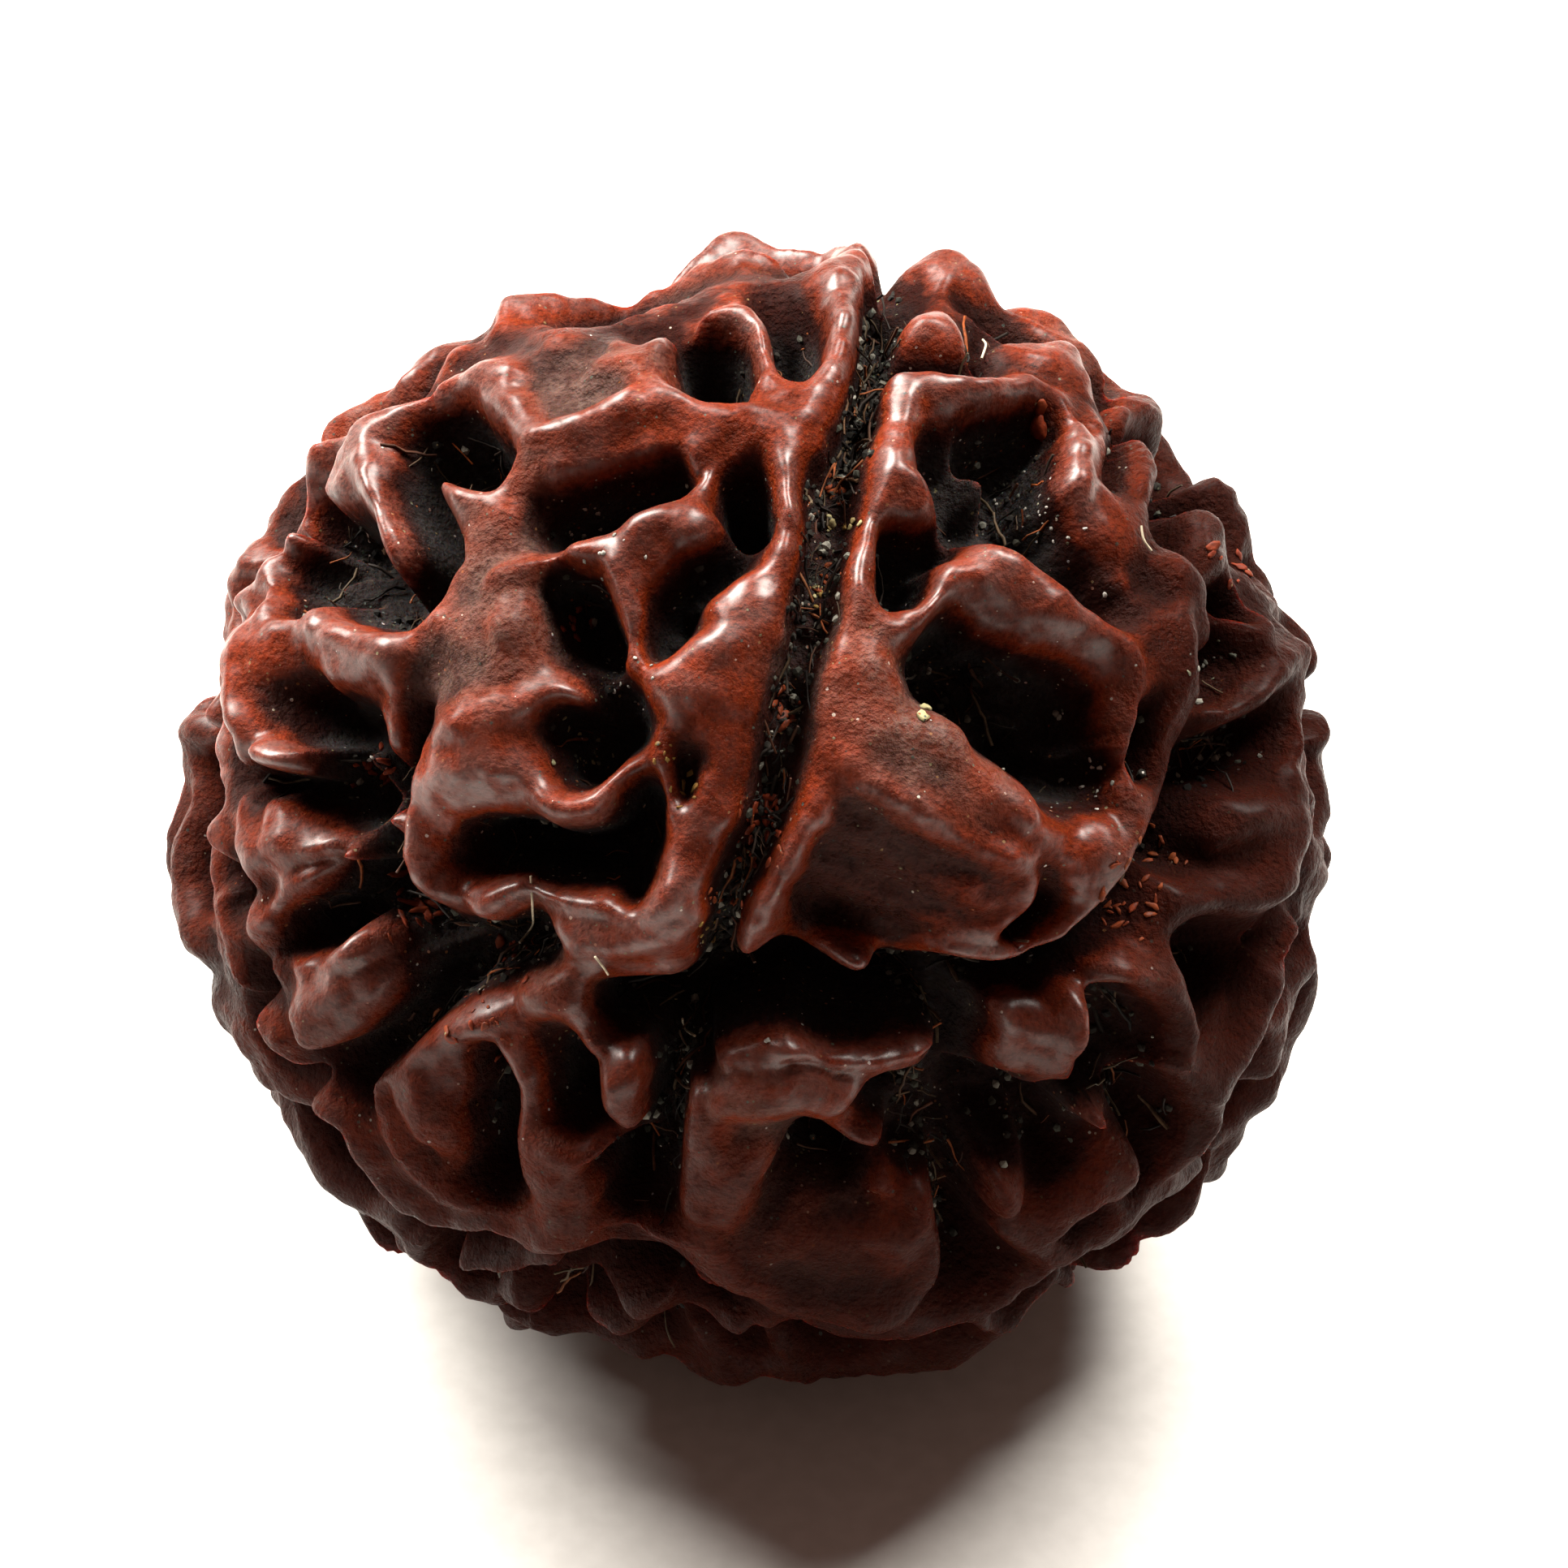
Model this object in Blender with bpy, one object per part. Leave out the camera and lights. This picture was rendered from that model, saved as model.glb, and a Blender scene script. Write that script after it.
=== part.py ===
"""A six-faced rudraksha bead at rest on its side, one pole turned up and to the front."""

import bpy
import numpy as np

# Sizes of the bead, in millimetres
GIRTH_RADIUS = 10.9
POLE_RADIUS = 9.35
CENTRE = np.array([0.151, 0.016, 10.05])
REST_SLACK = 0.03
FINENESS = 7
MOST_TRIANGLES = 11200
METRES = 0.001

# The line of sight along which the ridges of the near side were measured
SIGHT_HEIGHT = np.radians(45.0)
SIGHT_DISTANCE = 250.0
POLE_RIGHT = -0.062
POLE_UP = -0.36

# How the surface runs between the lines: the slope from a hollow's edge to a crest's edge, the
# rounding where lines meet, the swelling of wide lobes, and the softening of all edges
SLOPE_START = 0.05
SLOPE_END = 0.95
JOIN_POWER = 6.0
JOIN_SOFTNESS = 0.08
LEVEL_POWER = 3.5
LEVEL_SOFTNESS = 0.45
ROUNDING = 0.8
PUFF = 0.9
PUFF_REACH = 1.5
PUFF_BASE = 0.33
CROWN = 0.14
CROWN_REACH = 1.1
CREST_SHARE = 0.6
HOLLOW_SHARE = 1.0
DEPTH_SHARE = 1.15
REACH = 7.0
TINY = 1e-9
SOFTENING = 0.16
SOFTENING_PASSES = 3
AVERAGING = 0.6
LINE_STEP = 0.14
SIGHT_SHARE = 0.4

# The rule for the far side: pits of uneven depth, a net of ridges between them, and banked grooves
SEED = 27
CELLS = 175
GROUPS = 100
CELL_JITTER = 0.075
PIT_DEPTHS = (1.2, 2.7)
PIT_POWER = 5.0
PIT_HALF = 0.9
NET_HALF = 0.12
NET_UNEVEN = 0.12
NET_LEVEL = -0.3
NET_SWING = 0.28
WARP = 0.7
WARP_SIZE = 2.2
FINE_WARP = 0.12
FINE_WARP_SIZE = 0.9
NOISE_WAVES = 40
NEAR_SETBACK = 1.8
SETBACK_BAND = (0.15, 0.42)
GROOVE_DEPTH = -1.3
GROOVE_HALF = 0.16
GROOVE_SWAY = 0.04
GROOVE_STEPS = 90
GROOVE_STOP = 0.99
POLE_DEEPER = 0.9
SWAY_WAVES = (5.0, 9.0)
BANK_OFFSET = 0.8
BANK_HALF = 0.2
BANK_STOP = 0.86
BANK_SWAY = 0.2
BANK_WAVES = (15.0, 19.0)
BANK_DIP = -0.8
DIP_WAVES = (20.0, 30.0)
DIP_BAND = (0.2, 0.9)
FULL_TURN = 2 * np.pi

# Slight unevenness of the whole surface
SWELL = 0.1
SWELL_SIZE = 1.0
FINE_SWELL = 0.045
FINE_SWELL_SIZE = 0.45

RIGHT = np.array([1.0, 0.0, 0.0])
UP = np.array([0.0, np.sin(SIGHT_HEIGHT), np.cos(SIGHT_HEIGHT)])
TOWARD = np.array([0.0, -np.cos(SIGHT_HEIGHT), np.sin(SIGHT_HEIGHT)])

# Every line below is (half width, points). A point is (right, up, level) in millimetres as the near
# side is seen: right and up from the bead's middle, and the level over or under the ridge tops.
CREST_LINES = [
    # Upper left face, outer part: banks on the rim, the rib that drops into the pit, the wide saddle
    (0.28, [(-9.8, 3.15, -0.1), (-9.3, 3.5, 0), (-8.8, 3.65, 0), (-8.2, 3.5, 0), (-7.6, 3.25, 0),
            (-6.9, 3.05, 0)]),
    (0.28, [(-8.0, 6.5, -0.2), (-7.6, 7.0, 0), (-7.0, 7.5, 0), (-6.3, 7.9, 0), (-5.6, 8.25, 0),
            (-4.9, 8.2, 0)]),
    (0.3, [(-7.6, 6.9, 0), (-7.3, 6.7, 0)]),
    (0.22, [(-7.4, 6.5, 0), (-7.3, 6.1, -0.1), (-7.15, 5.6, -0.3), (-7.0, 5.0, -0.5), (-6.75, 4.4, -0.8)
            ]),
    (0.25, [(-9.1, 5.3, -0.1), (-8.85, 5.8, 0), (-8.4, 6.15, -0.1), (-8.0, 6.35, -0.15)]),
    (0.15, [(-9.45, 4.8, -0.2), (-9.35, 4.2, -0.1), (-9.4, 3.7, -0.1)]),
    (0.1, [(-6.05, 6.3, -0.55), (-5.7, 6.13, -0.25), (-5.3, 5.95, -0.1), (-4.9, 5.9, 0)]),
    (0.3, [(-5.15, 8.0, 0), (-4.85, 7.7, 0), (-4.5, 7.35, 0), (-4.2, 7.05, 0)]),
    (0.42, [(-4.4, 6.6, -0.2), (-4.75, 6.0, -0.4), (-5.1, 5.3, -0.55), (-5.3, 4.6, -0.6),
            (-5.5, 3.9, -0.6), (-6.1, 3.1, -0.5)]),
    (0.4, [(-6.4, 2.75, -0.45), (-5.8, 2.6, -0.5), (-5.2, 2.9, -0.45)]),
    (0.5, [(-3.9, 8.7, -0.6), (-3.6, 8.2, -0.8), (-3.2, 7.9, -0.7)]),
    (0.4, [(-2.9, 8.3, -0.3), (-2.5, 8.6, -0.35)]),
    # Upper left face, inner part: the cushion, the long crest, the flat boss and the hooked lobe
    (0.3, [(-4.2, 7.0, 0), (-3.8, 7.1, 0), (-3.3, 7.22, 0.15), (-2.9, 7.4, 0.1), (-2.4, 7.6, 0.25),
           (-1.9, 7.7, 0.15)]),
    (0.22, [(-1.9, 7.75, 0), (-1.5, 7.65, 0), (-1.2, 7.45, 0)]),
    (0.3, [(-3.8, 6.6, -0.2), (-3.0, 6.75, -0.25), (-2.3, 6.95, -0.2), (-1.7, 7.0, -0.12)]),
    (0.3, [(-1.3, 6.8, -0.1), (-0.95, 7.1, -0.05)]),
    (0.18, [(-5.0, 4.4, 0), (-4.6, 4.55, 0.1), (-4.1, 4.7, 0.15), (-3.5, 4.9, 0.15), (-3.1, 4.95, 0.1),
            (-2.7, 4.9, 0)]),
    (0.18, [(-2.7, 4.9, 0), (-2.3, 5.2, 0), (-1.95, 5.5, 0), (-1.6, 5.75, 0), (-1.2, 6.1, 0),
            (-0.8, 6.45, 0)]),
    (0.18, [(-0.8, 6.45, 0), (-0.45, 6.8, 0), (-0.1, 7.1, 0), (0.3, 7.2, 0)]),
    (0.5, [(-1.35, 5.6, 0.12), (-1.1, 5.35, 0.1)]),
    (0.28, [(-1.1, 7.4, -0.05), (-0.6, 7.5, 0), (0, 7.45, 0), (0.5, 7.3, 0), (0.95, 7.45, 0), (1.3, 7.8, 0)
            ]),
    (0.3, [(1.3, 7.8, 0), (1.5, 8.3, 0), (1.62, 8.9, 0), (1.65, 9.5, 0), (1.75, 10.0, 0), (1.95, 10.4, 0)
           ]),
    (0.22, [(0.4, 6.95, 0), (0.85, 6.9, -0.1), (1.25, 7.15, -0.15)]),
    (0.3, [(-1.9, 8.9, -0.1), (-1.3, 9.3, 0), (-0.7, 9.6, 0), (-0.2, 9.5, 0), (0.05, 9.1, -0.1),
           (0.1, 8.5, -0.2)]),
    (0.2, [(0.1, 8.5, -0.2), (0.2, 8.0, -0.2), (0.6, 7.9, -0.3)]),
    (0.2, [(-2.1, 8.6, -0.25), (-2.1, 8.1, -0.2), (-2.0, 7.9, -0.05)]),
    (0.17, [(0.5, 6.6, -0.05), (0.52, 6.0, 0), (0.68, 5.4, 0), (0.55, 4.9, 0), (0.4, 4.4, 0),
            (0.38, 3.9, 0)]),
    (0.15, [(-2.1, 4.5, -0.4), (-1.6, 4.85, -0.3)]),
    (0.32, [(-0.65, 3.85, -0.1), (-0.3, 4.1, -0.1), (0.0, 4.4, -0.05)]),
    (0.18, [(-2.65, 4.6, 0), (-2.45, 4.0, -0.05), (-2.35, 3.5, 0), (-2.35, 3.0, -0.1), (-2.4, 2.75, -0.3)
            ]),
    (0.12, [(-3.25, 3.6, -0.9), (-3.1, 3.55, -0.9)]),
    (0.38, [(-4.5, 4.0, 0), (-4.6, 3.4, 0.05), (-4.6, 2.9, -0.2)]),
    (0.3, [(-6.1, 1.3, 0), (-5.8, 1.6, 0.2), (-5.3, 1.7, 0.3), (-4.8, 1.85, 0.35), (-4.3, 2.0, 0.3)]),
    (0.25, [(-4.3, 2.0, 0.3), (-3.9, 2.15, 0.15), (-3.55, 2.15, -0.05)]),
    (0.5, [(-5.9, 0.8, 0), (-5.3, 0.9, 0.15), (-4.7, 1.1, 0.1)]),
    (0.3, [(-6.2, 0.1, -0.25), (-6.1, -0.45, -0.45), (-5.6, 0.15, -0.2), (-5.0, 0.3, -0.35)]),
    (0.2, [(-4.35, 1.4, -0.35), (-4.2, 0.8, -0.25), (-4.0, 0.35, -0.1), (-3.6, 0.1, 0), (-3.2, 0.15, 0)]),
    (0.18, [(-3.2, 0.15, 0), (-2.9, 0.4, -0.05), (-2.55, 0.75, -0.2), (-2.2, 1.0, -0.5)]),
    (0.4, [(-1.8, 2.5, 0.1), (-1.5, 2.75, 0.3), (-1.1, 2.95, 0.35), (-0.6, 3.1, 0.25), (-0.1, 3.2, 0.1),
           (0.2, 3.3, 0)]),
    (0.5, [(-1.4, 2.3, 0.15), (-0.8, 2.3, 0.15), (-0.4, 2.2, 0.05)]),
    (0.35, [(-1.2, 1.7, -0.3), (-0.7, 1.5, -0.2), (-0.5, 0.8, -0.2)]),
    (0.18, [(0.3, 3.4, 0), (0.15, 2.6, -0.05), (0.0, 2.0, -0.1), (-0.1, 1.4, -0.1), (-0.2, 0.8, -0.1)]),
    (0.18, [(-0.2, 0.8, -0.1), (-0.4, 0.2, -0.1), (-0.7, -0.4, -0.1), (-0.95, -0.9, -0.1),
            (-1.15, -1.4, -0.1)]),
    (0.14, [(-1.8, 1.3, -0.4), (-1.72, 0.8, -0.25), (-1.7, 0.3, -0.2), (-1.7, -0.2, -0.15)]),
    (0.2, [(-0.9, 0.5, 0), (-1.15, 0, 0), (-1.45, -0.5, 0), (-1.5, -0.9, -0.1), (-1.45, -1.3, -0.05)]),
    # The broad ledge left of the pole
    (0.2, [(-5.2, -1.9, -0.5), (-4.9, -1.55, -0.25), (-4.5, -1.35, -0.1), (-4.1, -1.5, 0), (-3.6, -1.7, 0)
           ]),
    (0.22, [(-3.6, -1.7, 0), (-3.1, -1.8, 0), (-2.7, -1.9, 0), (-2.3, -2.05, -0.05), (-1.95, -1.9, 0)]),
    (0.25, [(-1.95, -1.9, 0), (-1.6, -1.6, 0.05), (-1.3, -1.7, 0), (-1.1, -2.1, -0.05)]),
    (0.35, [(-3.2, -2.4, -0.3), (-2.4, -2.5, -0.3), (-1.6, -2.4, -0.25)]),
    (0.25, [(-3.3, -3.0, -0.8), (-2.4, -3.05, -0.85), (-1.5, -2.95, -0.75)]),
    # Right bank of the top groove and the knobs along it
    (0.33, [(2.7, 8.1, 0.05), (2.8, 7.8, 0)]),
    (0.17, [(2.6, 8.35, 0), (3.1, 8.25, 0), (3.6, 8.1, 0), (4.2, 8.0, 0), (4.8, 8.05, 0), (5.3, 8.1, 0)]),
    (0.17, [(5.3, 8.1, 0), (5.8, 7.95, 0), (6.0, 7.6, 0)]),
    (0.28, [(2.75, 7.5, -0.05), (2.7, 7.0, -0.05), (2.6, 6.6, 0), (2.65, 6.2, 0)]),
    (0.38, [(2.55, 5.9, 0), (3.0, 5.9, 0.05), (3.1, 5.65, -0.05)]),
    (0.2, [(2.2, 5.4, 0), (2.0, 5.0, 0), (1.9, 4.5, 0), (2.0, 4.0, 0.05), (1.8, 3.5, 0), (1.6, 3.1, 0)]),
    (0.2, [(1.5, 2.9, 0), (1.35, 2.4, 0), (1.35, 1.8, 0), (1.35, 1.2, 0), (1.15, 0.6, 0), (1.0, 0, 0)]),
    (0.2, [(1.0, 0, 0.1), (0.75, -0.6, 0.1), (0.45, -1.2, 0.1), (0.15, -1.7, 0.05), (-0.1, -2.2, -0.1)]),
    (0.18, [(-0.1, -2.2, -0.1), (-0.25, -2.7, -0.4)]),
    (0.45, [(3.2, 9.35, 0), (3.5, 9.2, 0), (3.7, 9.0, -0.1)]),
    (0.42, [(4.8, 8.9, -0.1), (5.3, 8.75, 0), (5.9, 8.6, 0.1), (6.2, 8.4, 0.05)]),
    (0.2, [(2.3, 3.6, -0.1), (2.7, 3.55, -0.1), (3.0, 3.8, -0.1)]),
    # Upper right face: the long knob, the high rim round the great hollow, the outer rims
    (0.4, [(6.1, 7.3, 0.05), (6.15, 6.9, 0.3), (6.1, 6.4, 0.35), (6.05, 5.9, 0.1)]),
    (0.08, [(6.6, 7.3, -0.1), (6.72, 6.7, -0.1), (6.6, 6.0, -0.15), (6.4, 5.5, -0.3)]),
    (0.28, [(7.3, 7.2, -0.2), (7.35, 6.8, -0.1), (7.25, 6.3, -0.1), (7.0, 5.8, -0.2), (6.8, 5.3, -0.2)]),
    (0.25, [(3.3, 3.9, 0), (3.6, 4.5, 0), (4.2, 4.8, 0), (4.8, 4.65, 0), (5.2, 4.3, 0), (5.7, 3.9, 0)]),
    (0.25, [(5.7, 3.9, 0), (6.3, 3.6, 0), (6.8, 3.35, 0), (7.1, 2.9, 0), (7.25, 2.3, -0.05)]),
    (0.1, [(3.2, 3.6, 0.05), (3.5, 4.2, 0.1), (4.1, 4.6, 0.15), (4.6, 4.3, 0.12), (5.1, 3.95, 0.08)]),
    (0.1, [(5.1, 3.95, 0.08), (5.6, 3.55, 0.05), (6.2, 3.4, 0.05), (6.7, 3.2, 0.03)]),
    (0.15, [(4.2, 3.95, -0.5), (5.1, 3.3, -0.5), (6.0, 3.0, -0.5), (6.7, 2.5, -0.5), (6.8, 1.7, -0.5)]),
    (0.1, [(7.25, 2.0, -0.1), (7.1, 1.4, -0.1), (7.1, 0.8, -0.1), (7.2, 0.4, -0.05)]),
    (0.1, [(8.0, 4.0, -0.2), (8.1, 3.2, -0.1), (8.1, 2.5, -0.1), (8.0, 1.9, -0.1), (7.9, 1.3, -0.1)]),
    (0.1, [(7.9, 1.3, -0.1), (7.7, 0.6, -0.1), (7.45, 0.1, -0.05), (7.3, -0.4, -0.05), (7.0, -0.9, -0.05)
           ]),
    (0.1, [(7.0, -0.9, -0.05), (6.8, -1.4, -0.1), (6.4, -1.9, -0.15), (5.9, -2.4, -0.3), (5.3, -2.8, -0.4)
           ]),
    (0.12, [(5.3, -2.8, -0.4), (4.6, -2.9, -0.5), (3.9, -2.85, -0.7)]),
    (0.28, [(7.1, 4.3, -0.1), (7.4, 3.9, -0.1), (7.6, 3.4, -0.15), (7.8, 2.9, -0.15), (7.6, 2.4, -0.2)]),
    (0.1, [(8.0, 4.5, -0.1), (8.3, 4.1, -0.1), (8.5, 3.7, -0.1), (8.75, 3.3, -0.15)]),
    (0.15, [(10.2, 2.95, 0), (9.9, 2.55, 0), (9.6, 2.2, -0.1), (9.2, 1.85, -0.4)]),
    (0.25, [(10.3, 2.2, 0), (10.35, 1.4, 0), (10.3, 0.6, 0), (10.25, -0.2, 0), (10.2, -0.8, 0)]),
    (0.1, [(10.0, 0.0, -0.1), (9.6, -0.15, -0.3), (9.15, -0.5, -0.6)]),
    (0.15, [(10.2, -0.9, 0), (10.0, -1.2, 0), (9.8, -1.5, 0), (9.4, -1.75, -0.1), (8.8, -1.7, -0.3)]),
    (0.12, [(8.8, -1.7, -0.3), (8.3, -1.6, -0.5)]),
    (0.13, [(7.6, -1.25, -0.5), (7.3, -1.75, -0.5), (6.9, -2.25, -0.5), (6.6, -2.55, -0.6)]),
    (0.38, [(8.3, 6.0, -0.1), (8.55, 5.6, 0), (8.8, 5.0, 0), (9.1, 4.6, 0), (9.4, 4.0, 0), (9.6, 3.5, 0)
            ]),
    # The crusted table and the smooth wedge that falls from it to the pole
    (0.5, [(2.0, 3.1, -0.05), (2.1, 2.4, -0.05), (2.1, 1.8, -0.05)]),
    (0.5, [(2.8, 1.3, -0.1), (3.4, 0.9, -0.1), (3.9, 0.4, -0.1), (4.4, -0.1, -0.1)]),
    (0.18, [(3.6, 1.5, 0.08), (3.75, 1.4, 0.05)]),
    (0.2, [(4.65, 0.2, 0.1), (5.1, -0.05, 0.08)]),
    (0.12, [(1.6, 1.2, 0.1), (1.85, 0.75, 0.15), (2.3, 0.4, 0.2), (2.8, 0.1, 0.2), (3.3, -0.2, 0.2)]),
    (0.12, [(3.3, -0.2, 0.2), (3.6, -0.4, 0.2), (4.0, -0.6, 0.15), (4.6, -0.8, 0.1), (5.1, -0.95, 0.05)]),
    (0.35, [(2.0, -0.2, -0.8), (2.8, -0.7, -0.75), (3.6, -1.2, -0.6), (4.4, -1.6, -0.45)]),
    (0.3, [(1.4, -0.9, -1.2), (2.0, -1.2, -1.5), (2.9, -1.7, -1.4), (3.7, -2.1, -1.1)]),
    (0.25, [(1.1, -1.8, -1.9), (1.9, -2.1, -2.2), (2.8, -2.4, -2.0)]),
    (0.12, [(5.3, -1.35, -0.1), (5.2, -1.8, -0.25), (4.8, -2.2, -0.5), (4.2, -2.5, -0.9), (3.6, -2.65, -1.4)
            ]),
    (0.28, [(5.7, -0.6, -0.12), (6.2, -0.8, -0.12), (6.2, -1.4, -0.2), (6.6, -0.4, -0.08)]),
    (0.16, [(1.0, -2.55, -1.7), (1.4, -2.75, -1.0), (1.8, -2.95, -0.6), (2.05, -3.05, -0.6)]),
    # Lower right face
    (0.18, [(6.8, -3.05, -0.3), (7.3, -3.2, -0.15), (7.8, -3.45, -0.05), (8.15, -3.8, 0), (8.25, -4.3, 0)
            ]),
    (0.18, [(8.25, -4.3, 0), (8.15, -4.8, -0.05)]),
    (0.12, [(5.9, -3.1, -0.6), (6.15, -3.5, -0.3), (6.25, -4.1, -0.15), (6.15, -4.6, -0.2), (5.95, -5.0, -0.4)
            ]),
    (0.45, [(5.2, -3.8, -0.9), (5.3, -4.3, -0.7), (5.1, -4.8, -0.9)]),
    (0.45, [(6.45, -5.7, 0.4), (6.5, -6.0, 0.5)]),
    (0.15, [(8.2, -5.0, -0.1), (8.5, -5.3, 0), (8.65, -5.7, 0), (8.5, -6.2, 0), (8.1, -6.7, 0)]),
    (0.15, [(8.1, -6.7, 0), (7.5, -7.3, 0), (6.9, -7.75, 0), (6.3, -8.15, 0), (5.8, -8.35, 0),
            (5.2, -8.3, 0)]),
    (0.15, [(5.2, -8.3, 0), (4.8, -8.1, -0.1)]),
    (0.38, [(7.0, -7.0, -0.15), (6.3, -7.3, -0.2), (5.8, -7.7, -0.15)]),
    (0.33, [(4.7, -7.2, 0), (4.7, -7.6, 0)]),
    (0.1, [(10.4, -2.3, 0), (10.15, -2.9, 0), (9.85, -3.5, 0), (9.55, -4.05, 0), (9.2, -4.6, 0),
           (8.8, -5.0, 0)]),
    (0.25, [(9.3, -3.4, -0.5), (9.0, -4.0, -0.45), (8.8, -4.4, -0.4)]),
    # Bottom face: the lobe under the pole, its stem, and the two plates below
    (0.35, [(-0.6, -4.8, -0.2), (0.1, -4.6, -0.1), (0.8, -4.45, 0), (1.5, -4.7, -0.1), (2.0, -4.8, -0.15)
            ]),
    (0.35, [(-0.6, -5.5, -0.15), (0.2, -5.4, -0.15), (1.0, -5.3, -0.2), (1.5, -5.5, -0.25)]),
    (0.35, [(-0.9, -6.2, -0.15), (-0.85, -6.9, -0.1), (-0.75, -7.3, -0.1), (-0.2, -6.7, -0.2)]),
    (0.1, [(-1.2, -5.3, -0.2), (-1.33, -6.2, -0.1), (-1.38, -7.0, 0), (-1.33, -7.6, 0), (-0.5, -7.55, -0.1)
           ]),
    (0.2, [(2.3, -4.8, -0.45), (2.9, -4.75, -0.5), (3.4, -4.6, -0.4), (3.85, -4.5, -0.3)]),
    (0.18, [(1.8, -6.4, -0.9), (2.4, -6.45, -0.7)]),
    (0.45, [(0.4, -8.25, -0.25), (1.2, -8.3, -0.3), (2.0, -8.3, -0.3), (2.8, -8.3, -0.2)]),
    (0.2, [(0.8, -7.65, -0.7), (1.6, -7.6, -0.8), (2.6, -7.45, -0.6)]),
    (0.13, [(-1.0, -8.2, -0.1), (-0.6, -8.6, 0), (-0.1, -8.95, 0), (0.4, -9.2, 0), (1.0, -9.35, 0)]),
    (0.13, [(1.0, -9.35, 0), (1.6, -9.4, 0), (2.3, -9.35, 0), (2.9, -9.2, 0), (3.35, -8.95, 0)]),
    (0.13, [(3.35, -8.95, 0), (3.45, -8.5, 0), (3.35, -8.0, -0.05), (3.2, -7.5, -0.2)]),
    (0.12, [(0.3, -9.75, 0), (0.8, -9.98, 0), (1.5, -10.05, 0), (2.3, -10.0, 0), (3.0, -9.85, 0)]),
    (0.12, [(3.0, -9.85, 0), (3.7, -9.6, 0), (4.4, -9.35, 0), (5.0, -9.2, 0), (5.3, -8.95, -0.1)]),
    # Lower left faces: tongue, twin lobe, the leaf-shaped bowl and the long outer ring
    (0.5, [(-2.45, -4.5, 0.0), (-2.4, -5.0, -0.05), (-2.5, -5.6, -0.1), (-2.45, -5.9, -0.15)]),
    (0.45, [(-3.95, -6.4, 0), (-3.7, -6.9, 0.1), (-3.4, -7.4, 0)]),
    (0.4, [(-3.4, -6.3, -0.1), (-3.15, -6.8, 0), (-3.0, -7.3, -0.1)]),
    (0.2, [(-4.35, -5.2, -0.3), (-4.3, -5.9, -0.15), (-4.3, -6.6, -0.05), (-4.1, -7.2, 0), (-3.8, -7.6, 0)
           ]),
    (0.33, [(-4.4, -3.6, -0.3), (-3.9, -3.6, -0.25), (-3.5, -3.9, -0.3), (-3.1, -4.4, -0.3)]),
    (0.12, [(-3.6, -2.3, -0.4), (-3.45, -2.9, -0.4), (-3.55, -3.4, -0.3)]),
    (0.14, [(-7.35, -5.15, -0.1), (-6.9, -4.9, -0.15), (-6.4, -4.5, -0.2), (-5.9, -4.25, -0.25),
            (-5.1, -4.0, -0.3)]),
    (0.12, [(-7.35, -5.3, 0), (-7.15, -5.8, 0), (-6.8, -6.3, 0), (-6.4, -6.8, 0), (-5.9, -7.2, 0)]),
    (0.12, [(-5.9, -7.2, 0), (-5.4, -7.45, 0), (-4.9, -7.6, 0), (-4.4, -7.65, 0)]),
    (0.6, [(-6.6, -5.4, -0.15), (-6.1, -6.0, -0.2), (-5.7, -6.6, -0.3)]),
    (0.4, [(-5.9, -5.0, -0.35), (-5.6, -5.5, -0.5)]),
    (0.14, [(-4.7, -4.6, -0.5), (-4.5, -5.0, -0.4)]),
    (0.14, [(-9.8, -3.2, -0.1), (-9.55, -3.8, 0), (-9.25, -4.4, 0), (-8.85, -5.0, 0), (-8.35, -5.55, 0)]),
    (0.14, [(-8.35, -5.55, 0), (-7.85, -6.0, 0), (-7.5, -6.6, 0), (-7.15, -7.1, 0), (-6.7, -7.5, 0)]),
    (0.14, [(-6.7, -7.5, 0), (-6.2, -7.8, 0), (-5.6, -8.0, 0), (-4.9, -7.95, 0), (-4.2, -8.1, 0)]),
    (0.14, [(-4.2, -8.1, 0), (-3.6, -7.95, 0), (-3.0, -7.8, -0.05), (-2.4, -8.0, 0), (-1.3, -8.05, -0.05)
            ]),
    (0.18, [(-6.9, -8.2, -0.1), (-6.1, -8.5, 0), (-5.4, -8.75, 0), (-4.6, -8.8, 0), (-3.8, -8.75, 0)]),
    (0.12, [(-2.5, -9.7, -0.1), (-2.0, -9.4, 0), (-1.3, -9.2, 0), (-0.8, -9.35, 0), (-0.4, -9.8, 0)]),
    # Left faces: the great curved lobe's edge, the step behind it, the banks and knobs of the rim
    (0.14, [(-6.0, 1.9, -0.1), (-6.3, 1.3, -0.15), (-6.5, 0.6, -0.15), (-6.6, -0.1, -0.2),
            (-6.55, -0.8, -0.3)]),
    (0.12, [(-6.55, -0.8, -0.3), (-6.35, -1.25, -0.6)]),
    (0.14, [(-7.0, 2.9, -0.05), (-6.9, 2.3, -0.15), (-7.0, 1.7, -0.3), (-7.05, 1.3, -0.5)]),
    (0.28, [(-9.3, 2.75, -0.25), (-8.6, 2.9, -0.4), (-7.8, 2.8, -0.4)]),
    (0.2, [(-9.9, 2.7, -0.1), (-9.85, 2.1, 0), (-9.75, 1.5, 0), (-9.8, 0.9, 0), (-9.85, 0.3, 0)]),
    (0.2, [(-9.85, 0.3, 0), (-9.7, -0.3, 0), (-9.5, -0.8, -0.1)]),
    (0.35, [(-9.3, 1.05, 0.1), (-8.9, 1.0, 0.2), (-8.6, 0.95, 0)]),
    (0.45, [(-9.3, 0.2, -0.15), (-9.0, -0.4, -0.2), (-8.5, -0.5, -0.3)]),
    (0.14, [(-9.4, -2.3, 0), (-9.2, -1.95, 0), (-8.95, -1.65, 0), (-8.6, -1.35, -0.1), (-8.2, -1.15, -0.1)
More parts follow.
